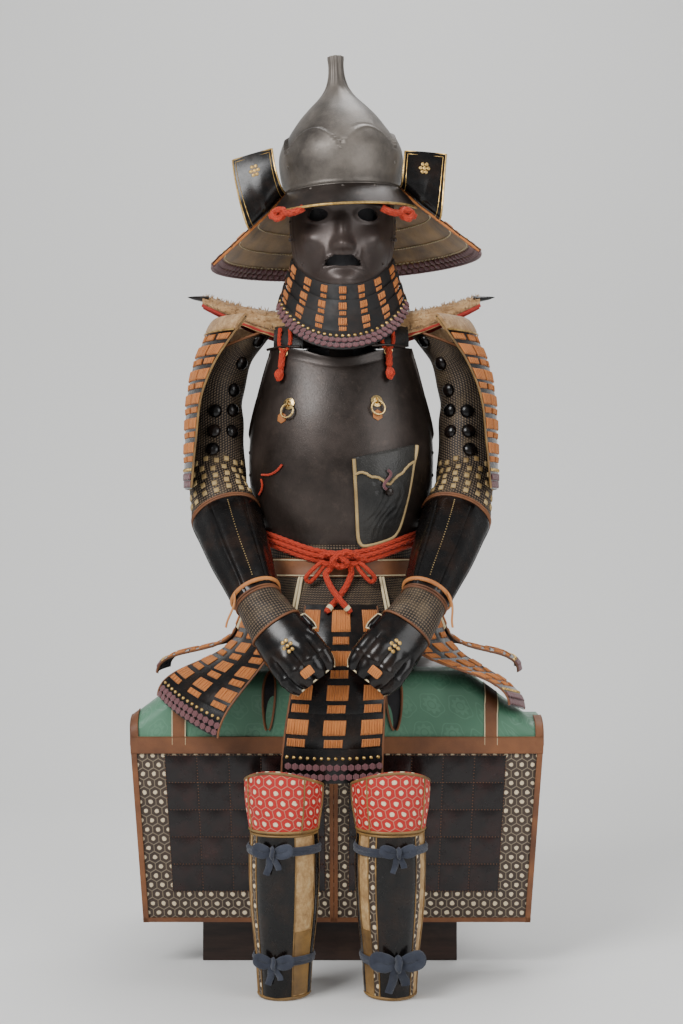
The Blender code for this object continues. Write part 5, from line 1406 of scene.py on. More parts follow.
@dataclass
class Cuirass:
    """Smooth iron front and back plates with rolled edges, straps, toggles and rings; the pouch on it is made by the
    Pouch class.
    """

    thick: float = 0.0025
    roll: float = 0.0035
    strap_thick: float = 0.005
    flat_y: tuple[float, float] = (0.010, 0.050)
    toggles: tuple[tuple[Side, float, float, float, float], ...] = (
        (Side.LEFT, -0.086, 1.012, -0.091, 0.961), (Side.RIGHT, 0.083, 1.014, 0.084, 0.963))

    def build(self) -> None:
        """Make every piece of the cuirass."""
        self.plate("breast_plate", 1, ("cuirass_front",))
        self.plate("back_plate", -1, ("cuirass_back",))
        for side in Side:
            self.strap(side)
        for row in self.toggles:
            self.toggle(*row)
        self.rosettes()

    def plate_point(self, u: Array, v: Array, sign: int) -> Array:
        """Point of the front (sign 1) or back (sign -1) plate."""
        u, v = np.broadcast_arrays(u, v)
        base = u * math.radians(89.93) + (0.0 if sign > 0 else math.pi)
        low = hem_height(base)
        stand_up = 0.018 * (1 - step(np.abs(u), 0.40, 0.08))
        top = COLLAR_Z - 0.020 * np.exp(-(u / 0.42)**2) if sign > 0 else COLLAR_Z + 0.012 + stand_up
        z = low + (top - low) * v
        reach = np.radians(np.interp(z, ARMHOLE[:, 0], ARMHOLE[:, 1]))
        return trunk_point(u * reach + (0.0 if sign > 0 else math.pi), z)

    def plate(self, name: str, sign: int, nodes: tuple[str, ...]) -> None:
        """One plate: smooth wall with a rolled neckline, rolled armholes and a lower band."""
        sheet = Sheet(lambda u, v: self.plate_point(u, v, sign)).facing((MID_X, BODY_Y, 0.85))
        u = np.concatenate([np.linspace(-1, -0.94, 9), np.linspace(-0.92, 0.92, 51), np.linspace(0.94, 1, 9)])[None]
        v = np.concatenate([np.linspace(0, 0.94, 60), np.linspace(0.945, 1, 14)])[:, None]
        rim = np.exp(-((1 - v) / 0.022)**2) + 0 * u
        arm = np.exp(-((1 - np.abs(u)) / 0.022)**2) * step(v, 0.54, 0.03)
        dent = 0.0003 * np.sin(5 * u + 3 * v) * np.sin(11 * v - 4 * u)
        band = 0.0007 * np.exp(-((v - 0.035) / 0.006)**2)
        groove = np.exp(-((1 - v - 0.045) / 0.010)**2) + np.exp(-((1 - np.abs(u) - 0.055) / 0.010)**2) * step(v, 0.54, 0.03)
        top = np.maximum(rim, arm) * self.roll + dent + band - 0.0005 * np.minimum(groove, 1)
        shape = Shape()
        shape.slabs(sheet, u + 0 * v, v + 0 * u, top, 0 * top - self.thick, 0, 1)
        rivets = np.array([(s * 0.90, h) for s in (-1, 1) for h in np.linspace(0.10, 0.46, 4)])
        centre, tangent, normal = sheet.frames(rivets[:, 0], rivets[:, 1], 0.0003)
        shape.scatter(dome(0.0030, 0.0016, 12, 3), centre, tangent, normal)
        shape.build(name, (BODY_IRON, LINING_AND_SHADE), replaces=nodes, sharp=50)

    def strap(self, side: Side) -> None:
        """Shoulder strap: arches from the front plate's neck edge over to the back plate's."""
        sign = side.sign
        u = np.linspace(0.43, 0.94, 15) * sign
        front = self.plate_point(u, np.ones_like(u), 1) + (0, 0, 0.0003)
        back = self.plate_point(-u, np.ones_like(u), -1) + (0, 0, 0.0003)
        theta = np.radians(np.linspace(4, 90, 12))[:, None]
        cos, sin = np.cos(theta), np.sin(theta)

        def half_arch(edge: Array, other: Array, flat: float) -> Array:
            """Quarter arch from a plate's edge up to the level top of the strap."""
            middle = (edge[:, 0] + other[:, 0]) / 2
            x = edge[:, 0] * cos + middle * (1 - cos)
            y = edge[:, 1] + (flat - edge[:, 1]) * (1 - cos)
            z = edge[:, 2] + (STRAP_TOP_Z - edge[:, 2]) * sin
            return np.stack([x, y, z], -1)

        rows = np.concatenate([half_arch(front, back, self.flat_y[0]), half_arch(back, front, self.flat_y[1])[::-1]])
        away = np.gradient(rows, axis=0)
        normal = unit(np.cross(away, np.gradient(rows, axis=1)))
        if normal[len(rows) // 2, 7, 2] < 0:
            normal = -normal
        edge = np.exp(-((np.linspace(-1, 1, 15)[None, :, None]**2 - 1) / 0.10)**2)
        shape = Shape()
        upper = rows + normal * (0.0006 + 0.0016 * edge)
        lower = rows - normal * (self.strap_thick - 0.002)
        flip = np.cross(upper[3, 4] - upper[3, 3], upper[4, 3] - upper[3, 3])
        shape.plates(upper[None], lower[None], 1.0 if np.dot(flip, normal[3, 3]) > 0 else -1.0)
        shape.build("strap_" + side.value, (POUCH_LEATHER,), replaces=("shoulder_strap_" + side.value,))

    def toggle(self, side: Side, x0: float, z0: float, x1: float, z1: float) -> None:
        """Red cord toggle: a loop over the shoulder, a dark bar, a small ring and a long bulb."""
        sheet = trunk_sheet()
        shape = Shape()
        t = np.linspace(0, 1, 90)
        x, z = x0 + (x1 - x0) * t, z0 + (z1 - z0) * t
        a = front_angle(x, z)
        radius = 0.0058 + 0.0026 * np.exp(-((t - 0.84) / 0.10)**2) - 0.0022 * np.exp(-((t - 0.64) / 0.05)**2)
        radius = radius * np.sqrt(np.clip((1.04 - t) / 0.06, 0.1, 1))
        path = sheet.raised(a, z, radius + 0.0012)
        shape.tube(path, radius, 24, braid=(6, 0.011, 0.32), slot=0)
        lean = (x1 - x0) * 0.4
        for offset, reach in ((-0.009, 0.040), (0.009, 0.040)):
            route = [(x0 + offset * 0.2, z0 - 0.002), (x0 + offset - lean * 0.3, z0 + 0.012),
                     (x0 + offset * 0.9 - lean * 0.6, z0 + reach)]
            points = [sheet.raised(np.array([front_angle(np.array([px]), np.array([pz]))[0]]), np.array([pz]),
                                   0.0032)[0] for px, pz in route]
            shape.tube(through(points, 60), 0.0038, 20, braid=(5, 0.008, 0.32), slot=0)
        bar = [(x0 - 0.027, z0 + 0.004), (x0, z0 + 0.006), (x0 + 0.027, z0 + 0.004)]
        points = [sheet.raised(np.array([front_angle(np.array([px]), np.array([pz]))[0]]), np.array([pz]),
                               0.0052)[0] for px, pz in bar]
        shape.tube(through(points, 20), 0.0024, 10, slot=1)
        turn = np.linspace(0, TAU, 25)[:-1]
        at = sheet.raised(np.array([front_angle(np.array([x0]), np.array([z0 - 0.004]))[0]]),
                          np.array([z0 - 0.004]), 0.0050)[0]
        ring = at + np.stack([0.0062 * np.cos(turn), 0 * turn - 0.001, 0.0062 * np.sin(turn)], -1)
        shape.tube(ring, 0.0012, 8, loop=True, slot=2, up=(0.0, -1.0, 0.0))
        shape.build("toggle_cord_" + side.value, (RED, BODY_IRON, BRASS), replaces=("toggle_" + side.value,))

    def rosettes(self) -> None:
        """Chrysanthemum rosettes under the two rings, with orange leather tabs beside them."""
        sheet = trunk_sheet()
        shape = Shape()
        petals = 16
        turn = np.arange(petals * 4) * TAU / (petals * 4)
        for x, z, tab_x, tab_z in ((-0.0805, 0.9235, -0.0905, 0.8990), (0.0665, 0.9275, 0.0665, 0.9030)):
            a = front_angle(np.array([x]), np.array([z]))
            centre, tangent, normal = sheet.frames(a, np.array([z]), 0.0004)
            rows = []
            for radius, height in ((0.0076, 0.0), (0.0074, 0.0010), (0.0056, 0.0016), (0.0034, 0.0014), (0.0028, 0.0022)):
                wave = 1 + 0.07 * np.abs(np.sin(turn * petals / 2)) * (radius > 0.005)
                rows.append(np.stack([radius * wave * np.cos(turn), radius * wave * np.sin(turn),
                                      height + 0.0005 * np.abs(np.sin(turn * petals / 2))], -1))
            grid = np.array(rows)
            side = np.cross(normal[0], tangent[0])
            frame = np.stack([tangent[0], side, normal[0]])
            points = centre[0] + grid @ frame
            verts = np.concatenate([points.reshape(-1, 3), [centre[0] + normal[0] * 0.0036]])
            count = len(turn)
            faces = []
            for r in range(len(rows) - 1):
                here, there = r * count + np.arange(count), (r + 1) * count + np.arange(count)
                faces.append(np.stack([here, np.roll(here, -1), np.roll(there, -1), there], -1))
            quads = np.concatenate(faces)
            last = (len(rows) - 1) * count + np.arange(count)
            cap = np.stack([last, np.roll(last, -1), np.full(count, len(verts) - 1), np.full(count, len(verts) - 1)], -1)
            shape.add(verts, [quads, cap[:, :3]], slot=0)
            a = front_angle(np.array([tab_x]), np.array([tab_z]))
            centre, tangent, normal = sheet.frames(a, np.array([tab_z]), 0.0004)
            tab = lathe([(0.0092, -0.0004), (0.0092, 0.0012), (0.0080, 0.0018)], 6, math.pi / 6)
            shape.scatter(tab, centre, tangent, normal, slot=1)
        shape.build("chest_rosettes", (BRASS, TIE_LEATHER))


@dataclass
class Pouch:
    """Crinkled black leather pouch that hangs on the front plate."""

    rest: float = 0.0006
    cols: int = 48
    rows: int = 48

    def point(self, u: Array, v: Array) -> Array:
        """Point of the trunk under the pouch, u across and v up."""
        u, v = np.broadcast_arrays(u, v)
        left, right = 0.036 - 0.012 * v, 0.104 + 0.016 * v
        x = left + (right - left) * u - MID_X
        a = np.arcsin(np.clip((x / TRUNK[:, 1].mean()), -1, 1)**(1 / 0.92))
        low = cord_height(a) + 0.0137
        return trunk_point(a, low + (0.832 + 0.024 * u - low) * v)

    def build(self) -> None:
        """Make the body, the flap with its scalloped edge, the edging, the loop and the bead."""
        sheet = Sheet(self.point).facing((MID_X, BODY_Y, 0.80))
        shape = Shape()
        u = np.linspace(0, 1, self.cols)[None]
        v = np.linspace(0, 1, self.rows)[:, None]
        puff = 0.0045 + 0.0085 * np.sqrt(np.clip(np.sin(math.pi * u), 0, 1)) * np.sqrt(
            np.clip(np.sin(math.pi * v), 0, 1))
        crinkle = 0.0013 * np.sin(23 * u + 6 * np.sin(9 * v)) * np.sin(19 * v + 5 * np.sin(7 * u))
        top = puff + crinkle * np.sin(math.pi * u) * np.sin(math.pi * v)
        shape.slabs(sheet, u + 0 * v, v + 0 * u, top, 0 * top + self.rest, 0)
        edge = 0.82 - 0.19 * np.clip(1 - np.abs(2 * u - 1.1), 0, 1)**1.3 + 0.022 * np.abs(np.sin(4 * math.pi * u))
        vf = edge + (1.0 - edge) * np.linspace(0, 1, 30)[:, None]
        puff_f = 0.0045 + 0.0085 * np.sqrt(np.clip(np.sin(math.pi * u), 0, 1)) * np.sqrt(
            np.clip(np.sin(math.pi * vf), 0, 1))
        shape.slabs(sheet, u + 0 * vf, vf, puff_f + 0.0026 + 0 * u, puff_f - 0.0010, 0)
        flap = sheet.raised(np.linspace(0.01, 0.99, 80), edge[0][np.linspace(0, self.cols - 1, 80).astype(int)],
                            np.interp(np.linspace(0, 1, 80), u[0], puff_f[0]) + 0.0022)
        shape.tube(flap, 0.0024, 8, slot=1)
        loop = np.array([(0.0, t) for t in np.linspace(1, 0, 30)] + [(t, 0.0) for t in np.linspace(0.05, 0.95, 20)]
                        + [(1.0, t) for t in np.linspace(0, 1, 30)])
        corner = np.abs(2 * loop - 1).prod(axis=1, keepdims=True)**6 * (loop[:, 1:] < 0.5)
        loop = 0.5 + (loop - 0.5) * (1 - 0.10 * corner)
        rim = sheet.raised(loop[:, 0] * 0.97 + 0.015, loop[:, 1] * 0.975 + 0.012,
                           0.0048 + 0.0042 * step(loop[:, 1], 0.85, 0.2))
        shape.tube(rim, 0.0032, 10, slot=1)
        hang = sheet.raised(np.full(20, 0.5) + 0.05 * np.sin(np.linspace(0, TAU, 20)), np.linspace(0.80, 0.60, 20),
                            np.full(20, 0.0185))
        shape.tube(hang, 0.0026, 12, slot=2)
        centre, tangent, normal = sheet.frames(np.array([0.54]), np.array([0.57]))
        bead = lathe([(0.0012, -0.007), (0.0058, -0.005), (0.0072, 0.0), (0.0058, 0.005), (0.0012, 0.007)], 16)
        shape.scatter(bead, centre + normal * 0.0190, tangent, normal, slot=3)
        shape.build("belt_pouch", (POUCH_LEATHER, PIPING, PURPLE, BLACK), replaces=("pouch",))


def cord_height(angle: Array) -> Array:
    """Height of the waist cord round the trunk, lowest at the front."""
    return 0.706 - 0.038 * np.exp(-(angle / 0.75)**2)


@dataclass
class Waist:
    """Braided waist cord with its knot and tails, the side laces, the leather band and the mail skirt."""

    cord_half: float = 0.0125
    cord_thick: float = 0.0055
    knot_radius: float = 0.0105
    tail_radius: float = 0.0055

    def build(self) -> None:
        """Make every piece of the waist."""
        front = self.cord()
        self.knot(front)
        for side in Side:
            self.tail(side, front)
        self.side_laces()
        self.band()
        self.skirt()

    def cord(self) -> Array:
        """Three braids side by side round the waist; returns the cord's middle point in front."""
        angle = np.linspace(0, TAU, 420, endpoint=False)
        angle = np.where(angle > math.pi, angle - TAU, angle)
        sheet = trunk_sheet()
        z = cord_height(angle)
        high, low = trunk_point(angle, z + 0.010), trunk_point(angle, z - 0.0075)
        reach = [np.linalg.norm(p[:, :2] - (MID_X, BODY_Y), axis=1) for p in (high, low)]
        base = np.where((reach[0] > reach[1])[:, None], high, low)
        base[:, 2] = z
        normal = sheet.normal(angle, z) * (1, 1, 0)
        centre = base + unit(normal) * (self.cord_thick + 0.0010)
        shape = Shape()
        for k, drop in enumerate((-0.0082, 0.0, 0.0082)):
            path = centre + (0, 0, drop) + unit(normal) * (0.0008 if k == 1 else -0.0006)
            shape.tube(path, 0.0050, 16, loop=True, braid=(4, 0.012, 0.42))
        shape.build("waist_braids", (RED,), replaces=("waist_cord",), sharp=80)
        return (centre[0] + centre[-1]) / 2

    def knot(self, front: Array) -> None:
        """Two wrapped turns and two small loops where the cord is tied in front."""
        shape = Shape()
        base = front + (0, -0.014, -0.001)
        turns = [(-0.032, 0.003, 0.004), (-0.020, -0.004, 0.009), (-0.004, -0.009, 0.006), (0.010, -0.008, -0.006),
                 (0.000, -0.004, -0.012), (-0.012, -0.008, -0.004), (-0.002, -0.011, 0.008), (0.014, -0.009, 0.011),
                 (0.030, -0.002, 0.003), (0.040, 0.006, -0.002)]
        points = [tuple(base + np.array(p)) for p in turns]
        shape.tube(through(points, 190), 0.0062, 16, braid=(4, 0.012, 0.42))
        low = [(-0.030, 0.002, -0.006), (-0.010, -0.002, -0.010), (0.010, -0.002, -0.009), (0.032, 0.003, -0.006)]
        points = [tuple(base + np.array(p)) for p in low]
        shape.tube(through(points, 70), 0.0058, 16, braid=(4, 0.012, 0.42))
        for sign in (-1, 1):
            loop = [(0.030 * sign, 0.000, -0.004), (0.044 * sign, -0.004, -0.016), (0.056 * sign, -0.002, -0.030),
                    (0.050 * sign, 0.001, -0.037), (0.038 * sign, 0.000, -0.026), (0.026 * sign, 0.002, -0.010)]
            points = [tuple(base + np.array(p)) for p in loop]
            shape.tube(through(points, 80), 0.0040, 16, braid=(4, 0.009, 0.40))
        shape.build("waist_tie", (RED,), replaces=("waist_knot",), sharp=80)

    def tail_route(self, side: Side, front: Array) -> Array:
        """Route of one hanging tail: it leaves the knot, crosses the other and ends low."""
        sign, over = side.sign, 0.0150 if side is Side.LEFT else 0.0
        start_z = front[2] - self.knot_radius - 0.0006 - 0.0010
        points = [(front[0] + sign * 0.017, front[1] - 0.014, start_z),
                  (front[0] + sign * 0.017, front[1] - 0.014, start_z - 0.005)]
        for x, drop, hump in ((0.0205, 0.014, 0.5), (0.012, 0.034, 0.9), (-0.004, 0.055, 1.0), (-0.0205, 0.074, 0.2)):
            z = start_z - drop
            wall = trunk_point(np.array([0.0]), np.array([z]))[0, 1]
            y = min(wall - 0.0055 - 0.0006 - over * hump - 0.0045, front[1] - 0.013 - over * hump)
            points.append((0.0025 + sign * x, y, z))
        return np.array(points)

    def tail(self, side: Side, front: Array) -> None:
        """One tail of the waist cord, with an ivory whipping at its end."""
        path = through(self.tail_route(side, front), 80)
        shape = Shape()
        run = np.linspace(0, 1, 80)
        radius = self.tail_radius * (1 - 0.25 * step(run, 0.985, 0.03))
        shape.tube(path, radius, 24, braid=(4, 0.012, 0.36))
        shape.tube(path[71:76], self.tail_radius * 1.02, 12, slot=1)
        piece = shape.build("waist_end_" + side.value, (RED, IVORY), replaces=("waist_tail_" + side.value,), sharp=80)

    def side_laces(self) -> None:
        """Thin tie cord at the side of the cuirass, in two short runs."""
        sheet = trunk_sheet()
        for name, spots in (("a", ((-0.1235, 0.806), (-0.110, 0.806), (-0.098, 0.812), (-0.089, 0.822))),
                            ("b", ((-0.1245, 0.799), (-0.1225, 0.791), (-0.1235, 0.782), (-0.1280, 0.7735)))):
            x, z = np.array(spots).T
            route = sheet.raised(front_angle(x, z), z, 0.0024 + 0 * x)
            path = through(route, 48)
            shape = Shape()
            shape.tube(path, 0.0022, 10, braid=(4, 0.007, 0.22))
            piece = shape.build("side_tie_" + name, (RED,), replaces=("side_lace_" + name,), sharp=80)

    def skirt_point(self, angle: Array, z: Array) -> Array:
        """Point of the skirt, straight between its five rows."""
        angle, z = np.broadcast_arrays(angle, z)
        rows = [hem_height(angle) - 0.0003, 0.652 + 0 * angle, 0.636 + 0 * angle, 0.590 + 0 * angle, 0.545 + 0 * angle]
        points = np.zeros((*angle.shape, 3))
        for k in range(4):
            share = np.clip((rows[k] - z) / (rows[k] - rows[k + 1]), 0, 1)[..., None]
            here = trunk_point(angle, rows[k]) * (1 - share) + trunk_point(angle, rows[k + 1]) * share
            inside = (z <= rows[k] + 1e-9) if k else np.ones_like(z, dtype=bool)
            points = np.where(inside[..., None], here, points)
        return points

    def band(self) -> None:
        """Brown leather band with ivory edge stitching under the cuirass."""
        sheet = Sheet(self.skirt_point).facing((MID_X, BODY_Y, 0.6), 0.6)
        shape = Shape()
        turn = np.linspace(-math.pi, math.pi, 161)[:-1]
        z = np.linspace(0.636, 0.667, 9)[:, None]
        u, v = np.broadcast_arrays(turn[None], z)
        top, low = sheet.raised(u, v, 0.0030 + 0 * u), sheet.raised(u, v, -0.0004 + 0 * u)
        shape.ring_wall(top, low, sheet.side)
        for height in (0.6385, 0.6645):
            path = sheet.raised(turn, np.full(160, height), np.full(160, 0.0034))
            shape.tube(path, 0.0011, 6, loop=True, slot=1)
        shape.build("hip_band", (BROWN_LEATHER, IVORY))

    def skirt(self) -> None:
        """Brown mail cloth on the skirt, slit into seven panels with ivory piping; a thin dark cord down each slit is
        painted shade of the gap.
        """
        sheet = Sheet(self.skirt_point).facing((MID_X, BODY_Y, 0.6), 0.6)
        shape = Shape()
        turn = np.linspace(-math.pi, math.pi, 201)[:-1]
        z = np.concatenate([np.linspace(0.545, 0.636, 14), np.linspace(0.640, 0.692, 7)])[:, None]
        u, v = np.broadcast_arrays(turn[None], z)
        v = np.where(v > 0.690, hem_height(u) - 0.0006, v)
        wave = 0.0010 * np.sin(14 * u + 1.0) * step(0.64 - v, 0.03, 0.05)
        shape.ring_wall(sheet.raised(u, v, 0.0004 + wave), sheet.raised(u, v, wave - 0.0018), sheet.side)
        for k in range(7):
            middle = (4 * k + 1 + 0.5 + 0.5) * TAU / SKIRT_CELLS
            for shift in (-0.018, 0.018):
                height = np.linspace(0.547, 0.634, 12)
                path = sheet.raised(np.full(12, middle + shift), height, np.full(12, 0.0040))
                shape.tube(path, 0.0024, 8, slot=1)
            # Thin dark cord down the middle of the slit: painted shade of the gap.
            height = np.linspace(0.549, 0.632, 12)
            path = sheet.raised(np.full(12, middle), height, np.full(12, 0.0006))
            shape.tube(path, 0.0019, 6, slot=2)
        path = sheet.raised(turn, np.full(200, 0.5465), np.full(200, 0.0010))
        shape.tube(path, 0.0016, 6, loop=True, slot=1)
        shape.build("mail_skirt", (MAIL, IVORY, LINING_AND_SHADE), replaces=("waist_skirt",), sharp=70)


@dataclass
class Tasset:
    """One laced guard that hangs from the mail skirt and bends out over the seat and thighs."""

    name: str
    cell: int
    hem: tuple[float, float, float]
    corner: tuple[float, float, float]
    crown: float
    columns: int
    width: float

    def point(self, u: Array, v: Array) -> Array:
        """Point of the guard: straight down the skirt, then a cubic out to its lower edge."""
        u, v = np.broadcast_arrays(u, v)
        mark = (self.cell + np.array([-1.5, -0.5, 0.5, 1.5])) * TAU / SKIRT_CELLS
        edge_u = np.array([-1.0, -1 / 3, 1 / 3, 1.0])
        top = np.stack([np.interp(u, edge_u, row) for row in self.row(mark, 0.590).T], -1)
        lip = np.stack([np.interp(u, edge_u, row) for row in self.row(mark, 0.545).T], -1)
        end = np.array(self.hem) + u[..., None] * np.array(self.corner)
        drop = unit(lip - top)
        ends = np.array(self.hem) + edge_u[:, None] * np.array(self.corner)
        reach = float(np.mean(np.linalg.norm(ends - self.row(mark, 0.545), axis=1)))
        middle = lip + drop * reach * 0.35
        late = end + ((0, -0.05, 0) if self.name.startswith("back") else (0, 0, 0.30 * reach))
        s = np.clip((v - 0.12) / 0.88, 0, 1.02)[..., None]
        bend = lip * (1 - s)**3 + 3 * middle * s * (1 - s)**2 + 3 * late * s * s * (1 - s) + end * s**3
        start = top + (lip - top) * np.clip(v / 0.12, 0, 1)[..., None]
        points = np.where((v < 0.12)[..., None], start, bend)
        away = unit(np.array(self.hem) - (MID_X, BODY_Y, 0.50)) * (1, 1, 0.4)
        return points + away * (self.crown * np.clip(v, 0, 1) * (1 - u**2))[..., None]

    def row(self, mark: Array, z: float) -> Array:
        """Points of the skirt's outer side at the guard's four column marks."""
        sheet = trunk_sheet()
        return sheet.raised(mark, np.full(len(mark), z), 0.0034)

    def build(self) -> None:
        """Make the guard."""
        sheet = Sheet(self.point).facing((MID_X, BODY_Y, 0.30))
        LacedGuard("hip_guard_" + self.name, sheet, 5, self.columns, self.width, ("tasset_" + self.name,),
                   block_share=0.66, spread=1.12).build()


TASSETS = (
    Tasset("front", 0, (-0.008, -0.212, 0.318), (0.080, 0, 0), 0.014, 3, 0.15),
    Tasset("front_l", -4, (-0.241, -0.150, 0.412), (0.052, -0.042, -0.030), 0.010, 3, 0.14),
    Tasset("front_r", 4, (0.292, -0.128, 0.425), (0.018, 0.062, -0.010), 0.008, 3, 0.13),
    Tasset("side_l", -8, (-0.300, 0.070, 0.470), (-0.004, -0.072, 0), 0.008, 3, 0.14),
    Tasset("side_r", 8, (0.312, 0.090, 0.470), (0.004, 0.070, 0), 0.008, 3, 0.14),
    Tasset("back_l", -12, (-0.098, 0.330, 0.492), (-0.074, 0, 0), 0.004, 3, 0.14),
    Tasset("back_r", 12, (0.104, 0.330, 0.492), (-0.074, 0, 0), 0.004, 3, 0.14))


@dataclass
class Arm:
    """Armoured sleeve, splinted forearm, mail cuff and fluted hand guard of one side."""

    side: Side
    domes: tuple[tuple[float, float], ...] = (
        (0.35, 44.0), (1.05, 50.0), (1.90, 50.0), (2.62, 50.0), (3.28, 52.0), (2.72, 90.0), (3.30, 92.0),
        (3.78, 94.0))

    def build(self) -> None:
        """Make every piece of the arm."""
        self.sleeve()
        self.forearm()
        self.cuff()
        self.hand()
        self.thumb()

    def ring(self, s: Array, angle: Array) -> Array:
        """Point of the arm at a row of its table and an angle round it, in degrees."""
        s, angle = np.broadcast_arrays(s, angle)
        rows = np.arange(len(ARM), dtype=float)
        tangent = unit(np.gradient(ARM[:, :3], axis=0))
        table = np.column_stack([rows, ARM, tangent])
        c = np.stack([curve(table, k, s) for k in (1, 2, 3)], -1)
        half, thick, lift = (curve(table, k, s)[..., None] for k in (4, 5, 6))
        along = unit(np.stack([curve(table, k, s) for k in (7, 8, 9)], -1))
        across = unit(np.cross(along, (0.0, 1.0, 0.0)))
        up = -np.cross(across, along)
        cos, sin = np.cos(np.radians(angle))[..., None], np.sin(np.radians(angle))[..., None]
        points = c + half * cos * across + thick * sin * up + lift * cos * (0, 0, 1) + (MID_X, 0, 0)
        return self.side.place(points)

    def sheet(self) -> Sheet:
        """The arm's surface: angle in degrees as the first parameter, table row as the second."""
        centre = self.side.place(np.array([(ARM[3, 0] + MID_X, ARM[3, 1], ARM[3, 2])]))[0]
        first = Sheet(lambda a, s: self.ring(s, a))
        turned = np.sum(first.normal(np.array([90.0]), np.array([3.0]))
                        * (self.ring(np.array([3.0]), np.array([90.0])) - centre))
        return first if turned > 0 else Sheet(first.at, -1.0)

    def sleeve(self) -> None:
        """Black mail cloth with glossy domes above and small gilt-bordered plates below."""
        sheet = self.sheet()
        shape = Shape()
        a = np.linspace(0, 360, 73)[:-1][None]
        s = np.linspace(0.02, ELBOW - 0.02, 56)[:, None]
        a, s = np.broadcast_arrays(a, s)
        fold = 0.0022 * np.sin(2.2 * s + np.radians(2 * a)) * np.exp(-((s - 4.6) / 1.6)**2)
        fold = fold + 0.0010 * np.sin(5 * s + np.radians(3 * a))
        fold = fold * step(s, 0.5, 0.8) * step(ELBOW - s, 0.4, 0.6)
        shape.ring_wall(sheet.raised(a, s, 0.0006 + fold), sheet.raised(a, s, fold - 0.0014), sheet.side)
        spots = np.array(self.domes)
        centre, tangent, normal = sheet.frames(spots[:, 1], spots[:, 0])
        shape.scatter(dome(0.0118, 0.0072, 20, 6), centre + normal * 0.0014, tangent, normal, slot=1)
        grid_a, grid_s = np.meshgrid(np.arange(24, 168, 22.0), np.arange(4.10, 5.85, 0.37), indexing="ij")
        grid_a, grid_s = grid_a.ravel() + 5 * np.sin(9 * grid_s.ravel()), grid_s.ravel() + 0.05 * np.sin(grid_a.ravel())
        centre, tangent, normal = sheet.frames(grid_a, grid_s)
        lift = 0.0022 * np.sin(2.2 * grid_s + np.radians(2 * grid_a)) * np.exp(-((grid_s - 4.6) / 1.6)**2)
        tile = lathe([(0.0060, -0.0010), (0.0060, 0.0012), (0.0046, 0.0020)], 4, math.pi / 4)
        shape.scatter(tile, centre + normal * (0.0008 + lift)[:, None], tangent, normal, slot=2)
        for edge in (0.03, ELBOW - 0.05):
            path = sheet.raised(np.linspace(0, 360, 97)[:-1], np.full(96, edge), np.full(96, 0.0008))
            shape.tube(path, 0.0022, 8, loop=True, slot=3)
        shape.build("mail_sleeve_" + self.side.value, (MAIL, BLACK, PIPING, BROWN_LEATHER),
                    replaces=("sleeve_" + self.side.value,), sharp=60)

    def forearm(self) -> None:
        """Glossy black splints joined side by side, with leather ties at the wrist."""
        sheet = self.sheet()
        shape = Shape()
        a = np.linspace(0, 360, 121)[:-1][None]
        s = np.linspace(ELBOW + 0.03, WRIST - 0.03, 34)[:, None]
        a, s = np.broadcast_arrays(a, s)
        seam = np.exp(-(((a + 45) % 60 - 30) / 1.6)**2)
        ridge = 0.0020 * np.cos(np.radians((a + 15) * 6)) - 0.0022 * seam
        ridge = (ridge + 0.0008) * step(s, ELBOW + 0.15, 0.2) * step(WRIST - s, 0.15, 0.2)
        shape.ring_wall(sheet.raised(a, s, 0.0006 + ridge), sheet.raised(a, s, -0.0018 + 0 * a), sheet.side)
        for edge, radius in ((ELBOW + 0.05, 0.0020), (WRIST - 0.05, 0.0018)):
            path = sheet.raised(np.linspace(0, 360, 97)[:-1], np.full(96, edge), np.full(96, 0.0010))
            shape.tube(path, radius, 8, loop=True, slot=1)
        path = sheet.raised(np.linspace(0, 360, 97)[:-1], np.full(96, WRIST - 0.30), np.full(96, 0.0034))
        shape.tube(path, 0.0034, 10, loop=True, slot=2, squash=0.5)
        rows = np.linspace(ELBOW + 0.25, WRIST - 0.6, 34)
        centre, tangent, normal = sheet.frames(np.full(34, 75.0), rows, 0.0001)
        stitch = lathe([(0.0009, -0.0006), (0.0010, 0.0005), (0.0005, 0.0010)], 6)
        shape.scatter(stitch, centre, tangent, normal, slot=3)
        shape.build("splint_forearm_" + self.side.value, (BLACK, BROWN_LEATHER, TIE_LEATHER, PIPING),
                    replaces=("forearm_" + self.side.value,), sharp=60)
        self.tie_end(sheet)

    def tie_end(self, sheet: Sheet) -> None:
        """Free end of the wrist tie, which hangs from its knot."""
        t = np.linspace(0, 1, 40)[:, None]
        knot = sheet.raised(np.array([128.0]), np.array([WRIST - 0.3]), np.array([0.0060]))[0]
        out = np.array((self.side.sign * 0.010, -0.010, -0.055))
        path = knot + t * out + np.concatenate([0.003 * np.sin(5 * t), -0.004 * np.sin(3 * t), 0 * t], 1)
        shape = Shape()
        shape.tube(path, 0.0018, 10)
        piece = shape.build("wrist_tie_" + self.side.value, (TIE_LEATHER,), sharp=80)

